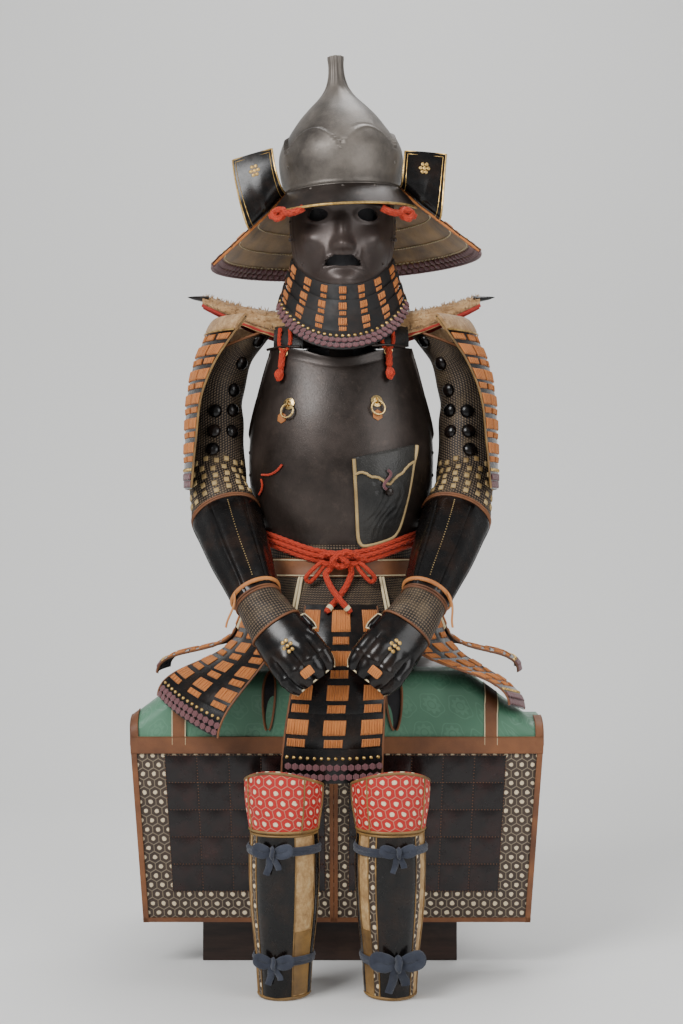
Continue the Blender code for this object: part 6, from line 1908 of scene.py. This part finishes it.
    def cuff(self) -> None:
        """Brown mail over the wrist, bound with leather at both edges."""
        sheet = self.sheet()
        shape = Shape()
        a = np.linspace(0, 360, 73)[:-1][None]
        s = np.linspace(WRIST + 0.03, KNUCKLE_START - 0.03, 18)[:, None]
        a, s = np.broadcast_arrays(a, s)
        fold = 0.0006 * np.sin(6 * s + np.radians(4 * a))
        shape.ring_wall(sheet.raised(a, s, 0.0006 + fold), sheet.raised(a, s, fold - 0.0014), sheet.side)
        for edge in (WRIST + 0.06, KNUCKLE_START - 0.07):
            path = sheet.raised(np.linspace(0, 360, 97)[:-1], np.full(96, edge), np.full(96, 0.0010))
            shape.tube(path, 0.0020, 8, loop=True, slot=1)
        shape.build("mail_cuff_" + self.side.value, (MAIL, BROWN_LEATHER), replaces=("cuff_" + self.side.value,),
                    sharp=60)

    def hand(self) -> None:
        """Glossy black hand guard: four flutes, an orange knuckle lace and ivory piping."""
        sheet = self.sheet()
        shape = Shape()
        a = np.linspace(-14, 194, 89)[None]
        s = np.linspace(KNUCKLE_START + 0.03, FINGER_END - 0.02, 42)[:, None]
        a, s = np.broadcast_arrays(a, s)
        flute = np.abs(np.sin(np.radians((a - 10) * 4.5)))**0.8
        flute = 0.0058 * (flute - 0.30) * step(a, 14, 16) * (1 - step(a, 166, 16)) * step(s, 13.3, 0.6)
        knuckle = 0.0018 * np.exp(-((s - 14.35) / 0.14)**2)
        shape.slabs(sheet, a, s, 0.0008 + flute + knuckle, -0.0014 + 0 * a, 0, 1)
        edge = [(-13.6, r) for r in np.linspace(12.06, 15.95, 40)] + [(x, 15.95) for x in np.linspace(-10, 190, 60)]
        edge += [(193.6, r) for r in np.linspace(15.95, 12.06, 40)]
        edge = np.array(edge)
        shape.tube(sheet.raised(edge[:, 0], edge[:, 1], np.full(len(edge), 0.0006)), 0.0014, 8, slot=2)
        block_a = np.linspace(78, 104, 25)[None]
        block_s = np.linspace(14.55, 15.15, 7)[:, None]
        ribs = np.sqrt(np.clip(1 - (2 * ((np.linspace(0, 1, 25) * 5) % 1) - 1)**2, 0, 1))[None]
        puff = np.sqrt(np.clip(np.sin(math.pi * np.linspace(0, 1, 7)), 0, 1))[:, None]
        shape.slabs(sheet, block_a + 0 * block_s, block_s + 0 * block_a, 0.0036 + 0.0014 * ribs * puff,
                    0.0006 + 0 * ribs * puff, 3)
        spot, tangent, normal = sheet.frames(np.full(7, 90.0) + np.append(0, 8 * np.cos(np.arange(6) * TAU / 6)),
                                             np.full(7, 13.25) + np.append(0, 0.26 * np.sin(np.arange(6) * TAU / 6)))
        shape.scatter(dome(0.0034, 0.0016, 12, 3), spot + normal * 0.0018, tangent, normal, slot=4)
        shape.build("hand_plate_" + self.side.value, (BLACK, RED_LINING, IVORY, ORANGE, GILT),
                    replaces=("hand_guard_" + self.side.value,), sharp=60)

    def thumb(self) -> None:
        """Small black thumb plate that stands off the inner edge of the hand guard."""
        sheet = self.sheet()
        angle = np.full(3, -14.0)
        edge = sheet.at(angle, np.array([12.0 + 0.05, 12.7, 13.0]))
        centre = sheet.at(np.full(3, 90.0), np.array([12.05, 12.7, 13.0]))
        heart = sheet.at(np.full(3, 270.0), np.array([12.05, 12.7, 13.0]))
        middle = (centre + heart) / 2
        inward = np.sign(MID_X - edge[:, 0])[:, None] * np.array((1.0, 0, 0))
        rows = []
        for t in np.linspace(0, 1, 16):
            row = middle + (edge - middle) * (1 - 0.35 * t) + inward * 0.019 * t
            rows.append(row + (0, -0.008 * math.sin(math.pi * t) - 0.002 * t, 0.010 * t) + inward * 0.0005 + (0, 0, 0.0007))
        coarse = np.array(rows)
        mix = np.linspace(0, 2, 17)
        k = np.clip(mix.astype(int), 0, 1)
        grid = coarse[:, k] * (1 - (mix - k))[None, :, None] + coarse[:, k + 1] * (mix - k)[None, :, None]
        normal = unit(np.cross(np.gradient(grid, axis=1), np.gradient(grid, axis=0)))
        facing = normal[8, 8, 1] * -1 + normal[8, 8, 2] * 0.5 - np.sign(inward[0, 0]) * 0 * normal[8, 8, 0]
        if facing < 0:
            normal = -normal
        bulge = 0.0022 * np.sin(np.linspace(0, math.pi, 17))[None, :, None]
        upper, lower = grid + normal * (0.0008 + bulge), grid - normal * 0.0014 + normal * bulge
        crossed = np.cross(upper[8, 9] - upper[8, 8], upper[9, 8] - upper[8, 8])
        shape = Shape()
        shape.plates(upper[None], lower[None], 1.0 if np.dot(crossed, normal[8, 8]) > 0 else -1.0, 0, 1)
        rim = np.concatenate([upper[:, 0], upper[-1, 1:-1], upper[::-1, -1]]) - np.array((0, 0, 0.0003))
        shape.tube(rim, 0.0013, 8, slot=2)
        shape.build("thumb_plate_" + self.side.value, (BLACK, RED_LINING, IVORY),
                    replaces=("thumb_guard_" + self.side.value,), sharp=60)


@dataclass
class Shoulder:
    """Laced shoulder guard with the hide pad over it."""

    side: Side
    rows: Array = field(default_factory=lambda: np.array([
        (0.780, 0.2655, 0.020), (0.860, 0.2640, 0.026), (0.948, 0.2590, 0.034), (1.000, 0.2475, 0.046),
        (1.040, 0.2300, 0.056), (1.070, 0.2120, 0.060)]))

    def point(self, u: Array, v: Array) -> Array:
        """Point of the guard: hangs outside the arm and curves in at its front and back edges."""
        u, v = np.broadcast_arrays(u, v)
        z = 1.066 - 0.284 * v
        out = curve(self.rows, 1, z) - curve(self.rows, 2, z) * np.abs(u)**2.2
        return self.side.place(np.stack([MID_X - out, BODY_Y + 0.128 * u, z], -1))

    def build(self) -> None:
        """Make the guard, its fur strip and the pad."""
        middle = (MID_X + self.side.sign * 0.0, BODY_Y, 0.92)
        sheet = Sheet(self.point).facing(middle)
        LacedGuard("shoulder_lames_" + self.side.value, sheet, 7, 7, 0.25, ("shoulder_guard_" + self.side.value,),
                   block_share=0.84, edge=OLD_GOLD).build()
        shape = Shape()
        u = np.linspace(-0.99, 0.99, 41)[None]
        v = np.linspace(-0.012, 0.075, 9)[:, None]
        puff = 0.0030 * np.sqrt(np.clip(np.sin(math.pi * np.linspace(0, 1, 9)), 0, 1))[:, None] + 0 * u
        shape.slabs(sheet, u + 0 * v, v + 0 * u, 0.0052 + puff, -0.0026 + 0 * puff, 0)
        path = sheet.raised(np.linspace(-0.985, 0.985, 60), np.full(60, 0.082), np.full(60, 0.0058))
        shape.tube(path, 0.0016, 8, slot=1)
        shape.build("fur_strip_" + self.side.value, (FUR, GILT))
        self.pad()

    def pad(self) -> None:
        """Rough hide pad: a thick tongue from the strap out to the guard, red underneath."""
        s = np.linspace(0, 1, 50)[:, None]
        t = np.linspace(-1, 1, 41)[None]
        width = 0.048 - 0.030 * s**1.5
        tuft = 0.0010 * np.sin(31 * s + 3 * t) * np.sin(17 * t + 2 * s)
        x = MID_X - 0.094 - 0.142 * s + 0 * t
        droop = 0.028 * np.abs(t)**2.4 * (1 - 0.6 * s)
        under = 1.0623 + 0.042 * s**1.4 - droop
        ragged = 1 + 0.035 * np.sin(29 * s + 0.7) * np.abs(t)**4
        round_off = np.sqrt(np.clip(1 - np.abs(t)**4 * 0.75, 0.1, 1))
        y = BODY_Y + width * t * ragged - 0.012 * s
        top = under + (0.024 - 0.015 * s) * round_off + tuft * (1 - np.abs(t)**6)
        upper, lower = np.stack([x, y, top], -1), np.stack([x, y, under], -1)
        upper, lower = self.side.place(upper), self.side.place(lower)
        crossed = np.cross(upper[9, 21] - upper[9, 20], upper[10, 20] - upper[9, 20])
        shape = Shape()
        shape.plates(upper[None], lower[None], 1.0 if crossed[2] > 0 else -1.0, 0, 1)
        for edge in (1, -2):
            rim = lower[:, edge] + (0, 0, 0.0010)
            shape.tube(rim, 0.0030, 8, slot=1)
        seed = np.random.default_rng(7)
        n = 480
        k, m = seed.integers(1, 48, n), seed.integers(0, 41, n)
        edge = seed.random(n) < 0.5
        m = np.where(edge, np.where(seed.random(n) < 0.5, 0, 40), m)
        at = upper[k, m]
        lean = np.stack([seed.normal(0, 0.5, n), seed.normal(0, 0.5, n) + np.where(m < 2, -1.4, 0)
                         + np.where(m > 38, 1.4, 0), np.full(n, 0.7)], -1)
        hair = lathe([(0.0012, -0.0010), (0.0009, 0.0034), (0.0003, 0.0075)], 4)
        shape.scatter(hair, at - unit(lean) * 0.0006, np.tile((1.0, 0.2, 0.1), (n, 1)), lean, seed.uniform(0.6, 1.15, n))
        tip = [(-0.142 + MID_X - 0.094 + 0.010, BODY_Y - 0.012, 1.1068), (MID_X - 0.250, BODY_Y - 0.014, 1.1090),
               (MID_X - 0.262, BODY_Y - 0.014, 1.1105)]
        path = self.side.place(through(tip, 16))
        shape.tube(path, np.linspace(0.0150, 0.0012, 16), 12, slot=2, squash=0.42, up=(0.0, 1.0, 0.0))
        piece = shape.build("hide_pad_" + self.side.value, (FUR, RED_LINING, BLACK),
                            replaces=("shoulder_pad_" + self.side.value,), sharp=60)


@dataclass
class ThighGuards:
    """Green silk over the lap and two hanging panels with plates in a hexagon border."""

    half: float = 0.338
    low_z: float = 0.3625
    foot_z: float = 0.072
    front_y: float = -0.117
    left: tuple[float, float, float, float] = (-0.338, -0.0055, -0.283, -0.020)
    right: tuple[float, float, float, float] = (-0.0052, 0.338, 0.020, 0.278)

    def build(self) -> None:
        """Make the silk, its slits and bands, and the two panels."""
        self.silk()
        self.panel("l", *self.left)
        self.panel("r", *self.right)

    def lap_height(self, x: Array) -> Array:
        """Height of the silk: level on the chest's lid, sloping down past its ends."""
        past = np.maximum(np.abs(x - CHEST_X) - CHEST_HALF_W - 0.004, 0.0)
        return CHEST_TOP_Z + 0.0027 - 0.75 * (np.sqrt(past**2 + 0.012**2) - 0.012)

    def silk_point(self, x: Array, s: Array) -> Array:
        """Point of the silk: s 0..1 over the lid, 1..2 round the front roll, 2..3 straight down."""
        x, s = np.broadcast_arrays(x, s)
        top = np.maximum(self.lap_height(x), 0.404)
        fold = np.minimum(0.030, 0.6 * (top - self.low_z))
        theta = np.clip(s - 1, 0, 1) * math.pi / 2
        y = np.where(s < 1, 0.006 - 0.076 * s, -0.070 - 0.047 * np.sin(theta))
        z = np.where(s < 1, top, top - fold * (1 - np.cos(theta)))
        hang = np.clip(s - 2, 0, 1)
        z = np.where(s > 2, top - fold + (self.low_z - top + fold) * hang, z)
        return np.stack([x, y, z], -1)

    def silk(self) -> None:
        """The silk with soft folds, its slits edged in brown, brown bands and ivory piping."""
        sheet = Sheet(self.silk_point).facing((0, 0.1, 0.30))
        shape = Shape()
        x = np.linspace(-self.half, self.half, 181)[None]
        s = np.concatenate([np.linspace(0, 1, 8), np.linspace(1.05, 2, 18), np.linspace(2.06, 2.995, 16)])[:, None]
        fold = (0.0008 * np.sin(34 * x + 2.0 * s) + 0.0006 * np.sin(71 * x - 1.5 * s)) * step(s, 0.9, 0.8)
        fold = fold * (1 - step(s, 2.9, 0.3)) * (1 - step(np.abs(x), 0.325, 0.02))
        shape.slabs(sheet, x + 0 * s, s + 0 * x, 0.0002 + fold, fold - 0.0018, 0, 1)
        piece = shape.build("lap_silk", (SILK, LINING_AND_SHADE), replaces=("thigh_silk",), sharp=70)
        self.trim(sheet)

    def trim(self, sheet: Sheet) -> None:
        """Brown edge bands, the two bound slits with a dark fill of painted shade, and the seam bands over the panels.
        """
        shape = Shape()
        run = np.concatenate([np.linspace(1.0, 2, 26), np.linspace(2.08, 2.99, 16)])
        for x0, wide in ((-0.2585, 0.0215), (0.2520, 0.0205), (-0.3315, 0.012), (0.3315, 0.012)):
            x = np.linspace(x0 - wide / 2, x0 + wide / 2, 9)[None]
            shape.slabs(sheet, x + 0 * run[:, None], run[:, None] + 0 * x, 0.0030, 0.0010, 0)
            for edge in (-wide / 2, wide / 2):
                path = sheet.raised(np.full(len(run), x0 + edge), run, np.full(len(run), 0.0028))
                shape.tube(path, 0.0010, 6, slot=1 if wide > 0.02 else 0)
        for x0, x1, wide in ((-0.119, -0.103, 0.0042), (0.082, 0.104, 0.0042)):
            t = np.linspace(0, 1, 40)
            s = 1.32 + 1.40 * t
            middle = (x0 + x1) / 2 + 0.004 * (t - 0.5) * np.sign(x0)
            half = (x1 - x0) / 2 * np.sin(math.pi * np.clip(t, 0.0, 1.0))**0.6
            for sign in (-1, 1):
                path = sheet.raised(middle + sign * (half + 0.002), s, np.full(40, 0.0030))
                shape.tube(path, wide / 2 + 0.0006, 8, slot=0, squash=0.7)
            # Dark fill between the slit's edges: painted shade of the opening.
            inner = np.linspace(-1, 1, 7)[None]
            grid_x = middle[:, None] + inner * (half[:, None] + 0.0004)
            shape.slabs(sheet, grid_x, s[:, None] + 0 * grid_x, 0.0012, 0.0004, 2)
        band = np.linspace(-self.half, self.half, 121)[None]
        top = np.maximum(self.lap_height(band), 0.404)
        start = top - np.minimum(0.030, 0.6 * (top - self.low_z))
        z = np.linspace(0.3760, self.low_z + 0.0001, 5)[:, None]
        v = 2 + np.clip((start - z) / (start - self.low_z), 0.0, 1.0)
        shape.slabs(sheet, band + 0 * v, v, 0.0036, 0.0008, 0)
        shape.tube(sheet.raised(band[0], v[0], np.full(121, 0.0036)), 0.0009, 6)
        shape.build("lap_trim", (BROWN_LEATHER, IVORY, LINING_AND_SHADE))

    def panel_point(self, x: Array, z: Array) -> Array:
        """Point of the hanging panels, which taper and lean back a little toward the foot."""
        x, z = np.broadcast_arrays(x, z)
        f = (0.3622 - z) / (0.3622 - self.foot_z)
        return np.stack([x * (1 - 0.062 * f), self.front_y + 0.006 * f + 0 * x, z + 0 * x], -1)

    def panel(self, name: str, x0: float, x1: float, field0: float, field1: float) -> None:
        """One panel: hexagon leather border, five rows of five lacquered plates, leather edges."""
        sheet = Sheet(self.panel_point).facing((0, 0.1, 0.2))
        shape = Shape()
        x = np.linspace(x0, x1, 60)[None]
        z = np.linspace(self.foot_z, 0.3622, 32)[:, None]
        ripple = 0.0009 * np.sin(26 * x + 8 * z) * (1 - step(z, 0.33, 0.06))
        shape.slabs(sheet, x + 0 * z, z + 0 * x, ripple + 0.0002, ripple - 0.0026, 0, 3)
        wide = (field1 - field0) / 5
        col, row = np.meshgrid(np.arange(5), np.arange(5), indexing="ij")
        u = np.linspace(0.035, 0.965, 7)[None, None]
        v = np.linspace(0.035, 0.965, 7)[None, :, None]
        px = field0 + (col.ravel()[:, None, None] + u) * wide + 0 * v
        pz = 0.346 - (row.ravel()[:, None, None] + 1 - v) * 0.0446 + 0 * u
        edge = np.minimum(np.minimum(u, 1 - u), np.minimum(v, 1 - v))
        puff = 0.0022 + 0.0017 * np.sqrt(np.clip(edge * 2, 0, 1)) + 0 * px
        shape.slabs(sheet, px, pz, puff, 0.0006 + 0 * puff, 1)
        bed_x, bed_z = np.linspace(field0, field1, 30)[None], np.linspace(0.346 - 5 * 0.0446, 0.346, 16)[:, None]
        shape.slabs(sheet, bed_x + 0 * bed_z, bed_z + 0 * bed_x, 0.0014, 0.0, 1)
        stitch = lathe([(0.0010, -0.0004), (0.0006, 0.0009)], 5)
        lines = []
        for k in range(6):
            t = np.linspace(0.346 - 5 * 0.0446, 0.346, 46)
            lines.append(np.stack([np.full(46, field0 + k * wide), t], -1))
            t = np.linspace(field0, field1, 52)
            lines.append(np.stack([t, np.full(52, 0.346 - k * 0.0446)], -1))
        spots = np.concatenate(lines)
        centre, tangent, normal = sheet.frames(spots[:, 0], spots[:, 1], 0.0016)
        shape.scatter(stitch, centre, tangent, normal, slot=2)
        outer = x0 if abs(x0) > abs(x1) else x1
        inner = x1 if outer == x0 else x0
        for x_edge, reach in ((outer, 0.0045), (inner, 0.0030)):
            sign = math.copysign(1.0, -x_edge) if abs(x_edge) > 0.1 else (-1.0 if name == "l" else 1.0)
            band = x_edge + sign * np.linspace(0.0003, 2 * reach, 7)
            band = np.sort(band)[None]
            shape.slabs(sheet, band + 0 * z, z + 0 * band, 0.0030, 0.0006, 2)
            path = sheet.raised(np.full(32, x_edge + sign * 2 * reach), z[:, 0], np.full(32, 0.0026))
            shape.tube(path, 0.0009, 6, slot=2)
        head = np.linspace(0.3500, 0.3632, 5)[:, None]
        shape.slabs(sheet, x + 0 * head, head + 0 * x, 0.0038, 0.0006, 2)
        path = sheet.raised(x[0], np.full(60, 0.3500), np.full(60, 0.0032))
        shape.tube(path, 0.0010, 6, slot=2)
        foot = np.linspace(self.foot_z + 0.0004, self.foot_z + 0.0075, 5)[:, None]
        shape.slabs(sheet, x + 0 * foot, foot + 0 * x, 0.0030, 0.0006, 2)
        shape.build("thigh_plates_" + name, (KIKKO, PLATE, BROWN_LEATHER, LINING_AND_SHADE, IVORY),
                    replaces=("thigh_panel_" + name,), sharp=60)


@dataclass
class Shin:
    """Shin guard with its knee cap and two cloth ties; it stands by itself in front of the chest."""

    side: Side
    centre: tuple[float, float]
    turn: float
    thick: float = 0.0025
    tie_z: tuple[float, float] = (0.2275, 0.060)

    def build(self) -> None:
        """Make the plates, the knee cap and the ties."""
        self.guard()
        self.knee()
        self.tie("upper", self.tie_z[0], 1.0 if self.side is Side.LEFT else 0.9)
        self.tie("lower", self.tie_z[1], 1.0 if self.side is Side.LEFT else 1.35)

    def at(self, angle: Array, z: Array) -> Array:
        """Point of the shin at an angle from its front, turned to its own heading."""
        angle, z = np.broadcast_arrays(angle, z)
        x, y = curve(SHIN, 1, z) * np.sin(angle), -curve(SHIN, 2, z) * np.cos(angle)
        c, s = math.cos(math.radians(self.turn)), math.sin(math.radians(self.turn))
        return np.stack([x * c - y * s + self.centre[0], x * s + y * c + self.centre[1], z], -1)

    def sheet(self) -> Sheet:
        """The shin's surface, facing away from its own axis."""
        return Sheet(self.at).facing((*self.centre, 0.5))

    def guard(self) -> None:
        """Leather wall with a glossy centre plate, hexagon strips and side plates, all bound."""
        sheet = self.sheet()
        shape = Shape()
        a = np.radians(np.linspace(-102, 102, 79))[None]
        z = np.linspace(0.0006, SHIN_TOP_Z - 0.0004, 36)[:, None]
        rough = 0.0004 * np.sin(30 * a + 80 * z) * np.sin(55 * z - 9 * a)
        shape.slabs(sheet, a + 0 * z, z + 0 * a, rough + 0.0002, -self.thick + 0 * rough, 0, 6)
        zc = np.linspace(0.006, SHIN_TOP_Z - 0.004, 36)[:, None]
        for low, high, slot, lift in ((-35, 35, 1, 0.0030), (-50, -37, 2, 0.0016), (37, 48, 2, 0.0016),
                                      (-100, -78, 3, 0.0022), (78, 100, 3, 0.0022)):
            if self.side is Side.LEFT and low == 37:
                continue
            u = np.radians(np.linspace(low, high, 17))[None]
            share = np.linspace(0, 1, 17)[None]
            round_off = np.sqrt(np.clip(np.sin(math.pi * np.clip(share, 0.02, 0.98)), 0, 1))
            ridge = 0.0012 * np.exp(-((share - 0.5) / 0.10)**2) if slot == 1 else 0.0
            shape.slabs(sheet, u + 0 * zc, zc + 0 * u, lift * round_off + ridge + 0.0004 + 0 * zc,
                        0.0002 + 0 * u * zc - 0.0004, slot)
        low, high = (38, 76) if self.side is Side.LEFT else (-76, -52)
        patch_a, patch_z = np.radians(np.linspace(low, high, 13))[None], np.linspace(0.008, 0.105, 20)[:, None]
        shape.slabs(sheet, patch_a + 0 * patch_z, patch_z + 0 * patch_a, 0.0014, -0.0002, 4)
        for angle in (-102, -77, -51, -36, 36, 77, 102):
            u = np.full(36, math.radians(angle * 0.995))
            shape.tube(sheet.raised(u, zc[:, 0], np.full(36, 0.0012)), 0.0012, 6, slot=4)
        for height in (0.004, SHIN_TOP_Z - 0.003):
            u = a[0] * 0.995
            shape.tube(sheet.raised(u, np.full(79, height), np.full(79, 0.0010)), 0.0020, 8, slot=4)
        shape.build("shin_plates_" + self.side.value, (TAN_LEATHER, BLACK, KIKKO, BLACK, OLD_GOLD, IVORY, LINING_AND_SHADE),
                    replaces=("shin_guard_" + self.side.value,), sharp=60)

    def knee(self) -> None:
        """Quilted red hexagon knee cap with ivory dots and a piped edge."""
        sheet = self.sheet()
        shape = Shape()
        reach = math.radians(96)
        a = np.linspace(-reach, reach, 91)[None]
        t = np.linspace(0, 1, 26)[:, None]
        top = 0.345 + 0.006 * np.cos(2.2 * a) - 0.012 * (np.abs(a) / reach)**3
        z = SHIN_TOP_Z + 0.0006 + (top - SHIN_TOP_Z - 0.0006) * t
        soft = np.sqrt(np.clip(1 - (2 * t - 1)**8, 0, 1)) * np.sqrt(np.clip(1 - (a / reach)**10, 0, 1))
        shape.slabs(sheet, a + 0 * t, z, 0.0012 + 0.0032 * soft, -0.0036 * soft - 0.0004, 0, 1)
        loop = [(x, 0.0) for x in np.linspace(-1, 1, 100)] + [(1, y) for y in np.linspace(0.1, 0.9, 12)]
        loop += [(x, 1.0) for x in np.linspace(1, -1, 100)] + [(-1, y) for y in np.linspace(0.9, 0.1, 12)]
        loop = np.array(loop)
        la = loop[:, 0] * reach * 0.99
        ltop = 0.345 + 0.006 * np.cos(2.2 * la) - 0.012 * np.abs(loop[:, 0])**3
        lz = SHIN_TOP_Z + 0.003 + (ltop - SHIN_TOP_Z - 0.006) * loop[:, 1]
        shape.tube(sheet.raised(la, lz, np.full(len(loop), 0.0026)), 0.0024, 8, loop=True, slot=2)
        for low in (-46.0, 46.0):
            u = np.full(26, math.radians(low))
            zz = SHIN_TOP_Z + 0.004 + (0.336 - SHIN_TOP_Z) * t[:, 0]
            shape.tube(sheet.raised(u, zz, np.full(26, 0.0046)), 0.0014, 6, slot=2)
        piece = shape.build("knee_cushion_" + self.side.value, (RED_HEX, LINING_AND_SHADE, OLD_GOLD),
                            replaces=("knee_cap_" + self.side.value,), sharp=60)

    def tie(self, level: str, z0: float, size: float) -> None:
        """Folded cloth band round the guard, tied in front with a bow and two hanging ends."""
        sheet = self.sheet()
        shape = Shape()
        turn = np.linspace(-math.pi, math.pi, 121)[:-1]
        band = np.linspace(-0.0066, 0.0066, 9)
        u, dz = np.broadcast_arrays(turn[None], band[:, None])
        pleat = 0.0007 * np.sin(dz * 900 + 0.6 * np.sin(3 * u)) + 0.0005 * np.cos(u * 5)
        z = z0 + dz + 0.0012 * np.sin(2 * u)
        round_off = 0.0024 * (1 - (dz / 0.0070)**4)
        shape.ring_wall(sheet.raised(u, z, 0.0034 + pleat * (1 - (dz / 0.0066)**2) + round_off),
                        sheet.raised(u, z, 0.0028 + 0 * u), sheet.side)
        centre, tangent, normal = sheet.frames(np.array([0.0]), np.array([z0]), 0.0075)
        frame = np.stack([tangent[0], np.cross(normal[0], tangent[0]), normal[0]])
        if frame[1, 2] < 0:
            frame[1] = -frame[1]
        frame[0] = np.cross(frame[1], frame[2])

        def ribbon(route: Sequence[Sequence[float]], wide: Sequence[float], squash: float) -> None:
            """One ribbon of the bow along a route in the knot's own frame."""
            local = through([tuple(size * np.array(p)) for p in route], 40)
            path = centre[0] + local @ frame
            radius = np.interp(np.linspace(0, 1, 40), np.linspace(0, 1, len(wide)), wide) * size
            shape.tube(path, radius, 12, squash=squash, up=tuple(frame[1]))

        for sign in (-1.0, 1.0):
            ribbon([(0, 0, 0), (0.012 * sign, 0.006, 0.003), (0.024 * sign, 0.008, 0.001),
                    (0.026 * sign, 0.001, 0.003), (0.014 * sign, -0.003, 0.004), (0, 0, 0.001)],
                   (0.0036, 0.0062, 0.0068, 0.0060, 0.0058, 0.0034), 0.34)
            ribbon([(0, 0, 0.002), (0.004 * sign, -0.010, 0.003), (0.007 * sign + 0.002, -0.020, 0.001),
                    (0.010 * sign, -0.029 + 0.004 * sign, 0.001)], (0.0036, 0.0052, 0.0056, 0.0050), 0.30)
        ribbon([(-0.001, 0.008, 0.001), (0.001, 0.004, 0.005), (0.0, -0.003, 0.006), (0.001, -0.008, 0.001)],
               (0.0044, 0.0058, 0.0058, 0.0044), 0.6)
        shape.build("shin_cloth_" + level + "_" + self.side.value, (TIE_CLOTH,),
                    replaces=("shin_tie_" + level + "_" + self.side.value,), sharp=70)


@dataclass
class Furniture:
    """The storage chest and the inner stand, kept as CAD and dressed."""

    def build(self, frame: dict) -> None:
        """Dress the chest, the stand and the small metal fittings.

        Args:
            frame: the loaded frame, whose nodes are looked up by name.
        """
        for name, finish in (("chest", CHEST_WOOD), ("stand", STAND_WOOD), ("staple_l", BRASS),
                             ("staple_r", BRASS), ("ring_l", BRASS), ("ring_r", BRASS)):
            dress(frame["nodes"][name], finish)
        self.binding()

    def binding(self) -> None:
        """Iron nail heads in two rows down the front of the chest, near its two ends."""
        shape = Shape()
        for x in (CHEST_X - CHEST_HALF_W + 0.012, CHEST_X + CHEST_HALF_W - 0.012):
            spots = np.array([(x, -0.0705, z) for z in (0.05, 0.15, 0.25, 0.35)])
            normal = np.tile((0.0, -1.0, 0.0), (4, 1))
            shape.scatter(dome(0.0030, 0.0014, 10, 3), spots, np.tile((1.0, 0.0, 0.0), (4, 1)), normal)
        shape.build("chest_nails", (BODY_IRON,))


def main() -> dict:
    """Build the whole scene and return the loaded frame."""
    logging.basicConfig(level=logging.INFO, format="%(message)s")
    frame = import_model()
    Studio().build()
    Furniture().build(frame)
    Helmet().build()
    FaceGuard().build()
    Cuirass().build()
    Pouch().build()
    Waist().build()
    for tasset in TASSETS:
        tasset.build()
    for side in Side:
        Arm(side).build()
        Shoulder(side).build()
    ThighGuards().build()
    Shin(Side.LEFT, (-0.081, -0.287), -14.0).build()
    Shin(Side.RIGHT, (0.083, -0.287), 9.0).build()
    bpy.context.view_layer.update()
    return frame


if __name__ == "__main__":
    main()
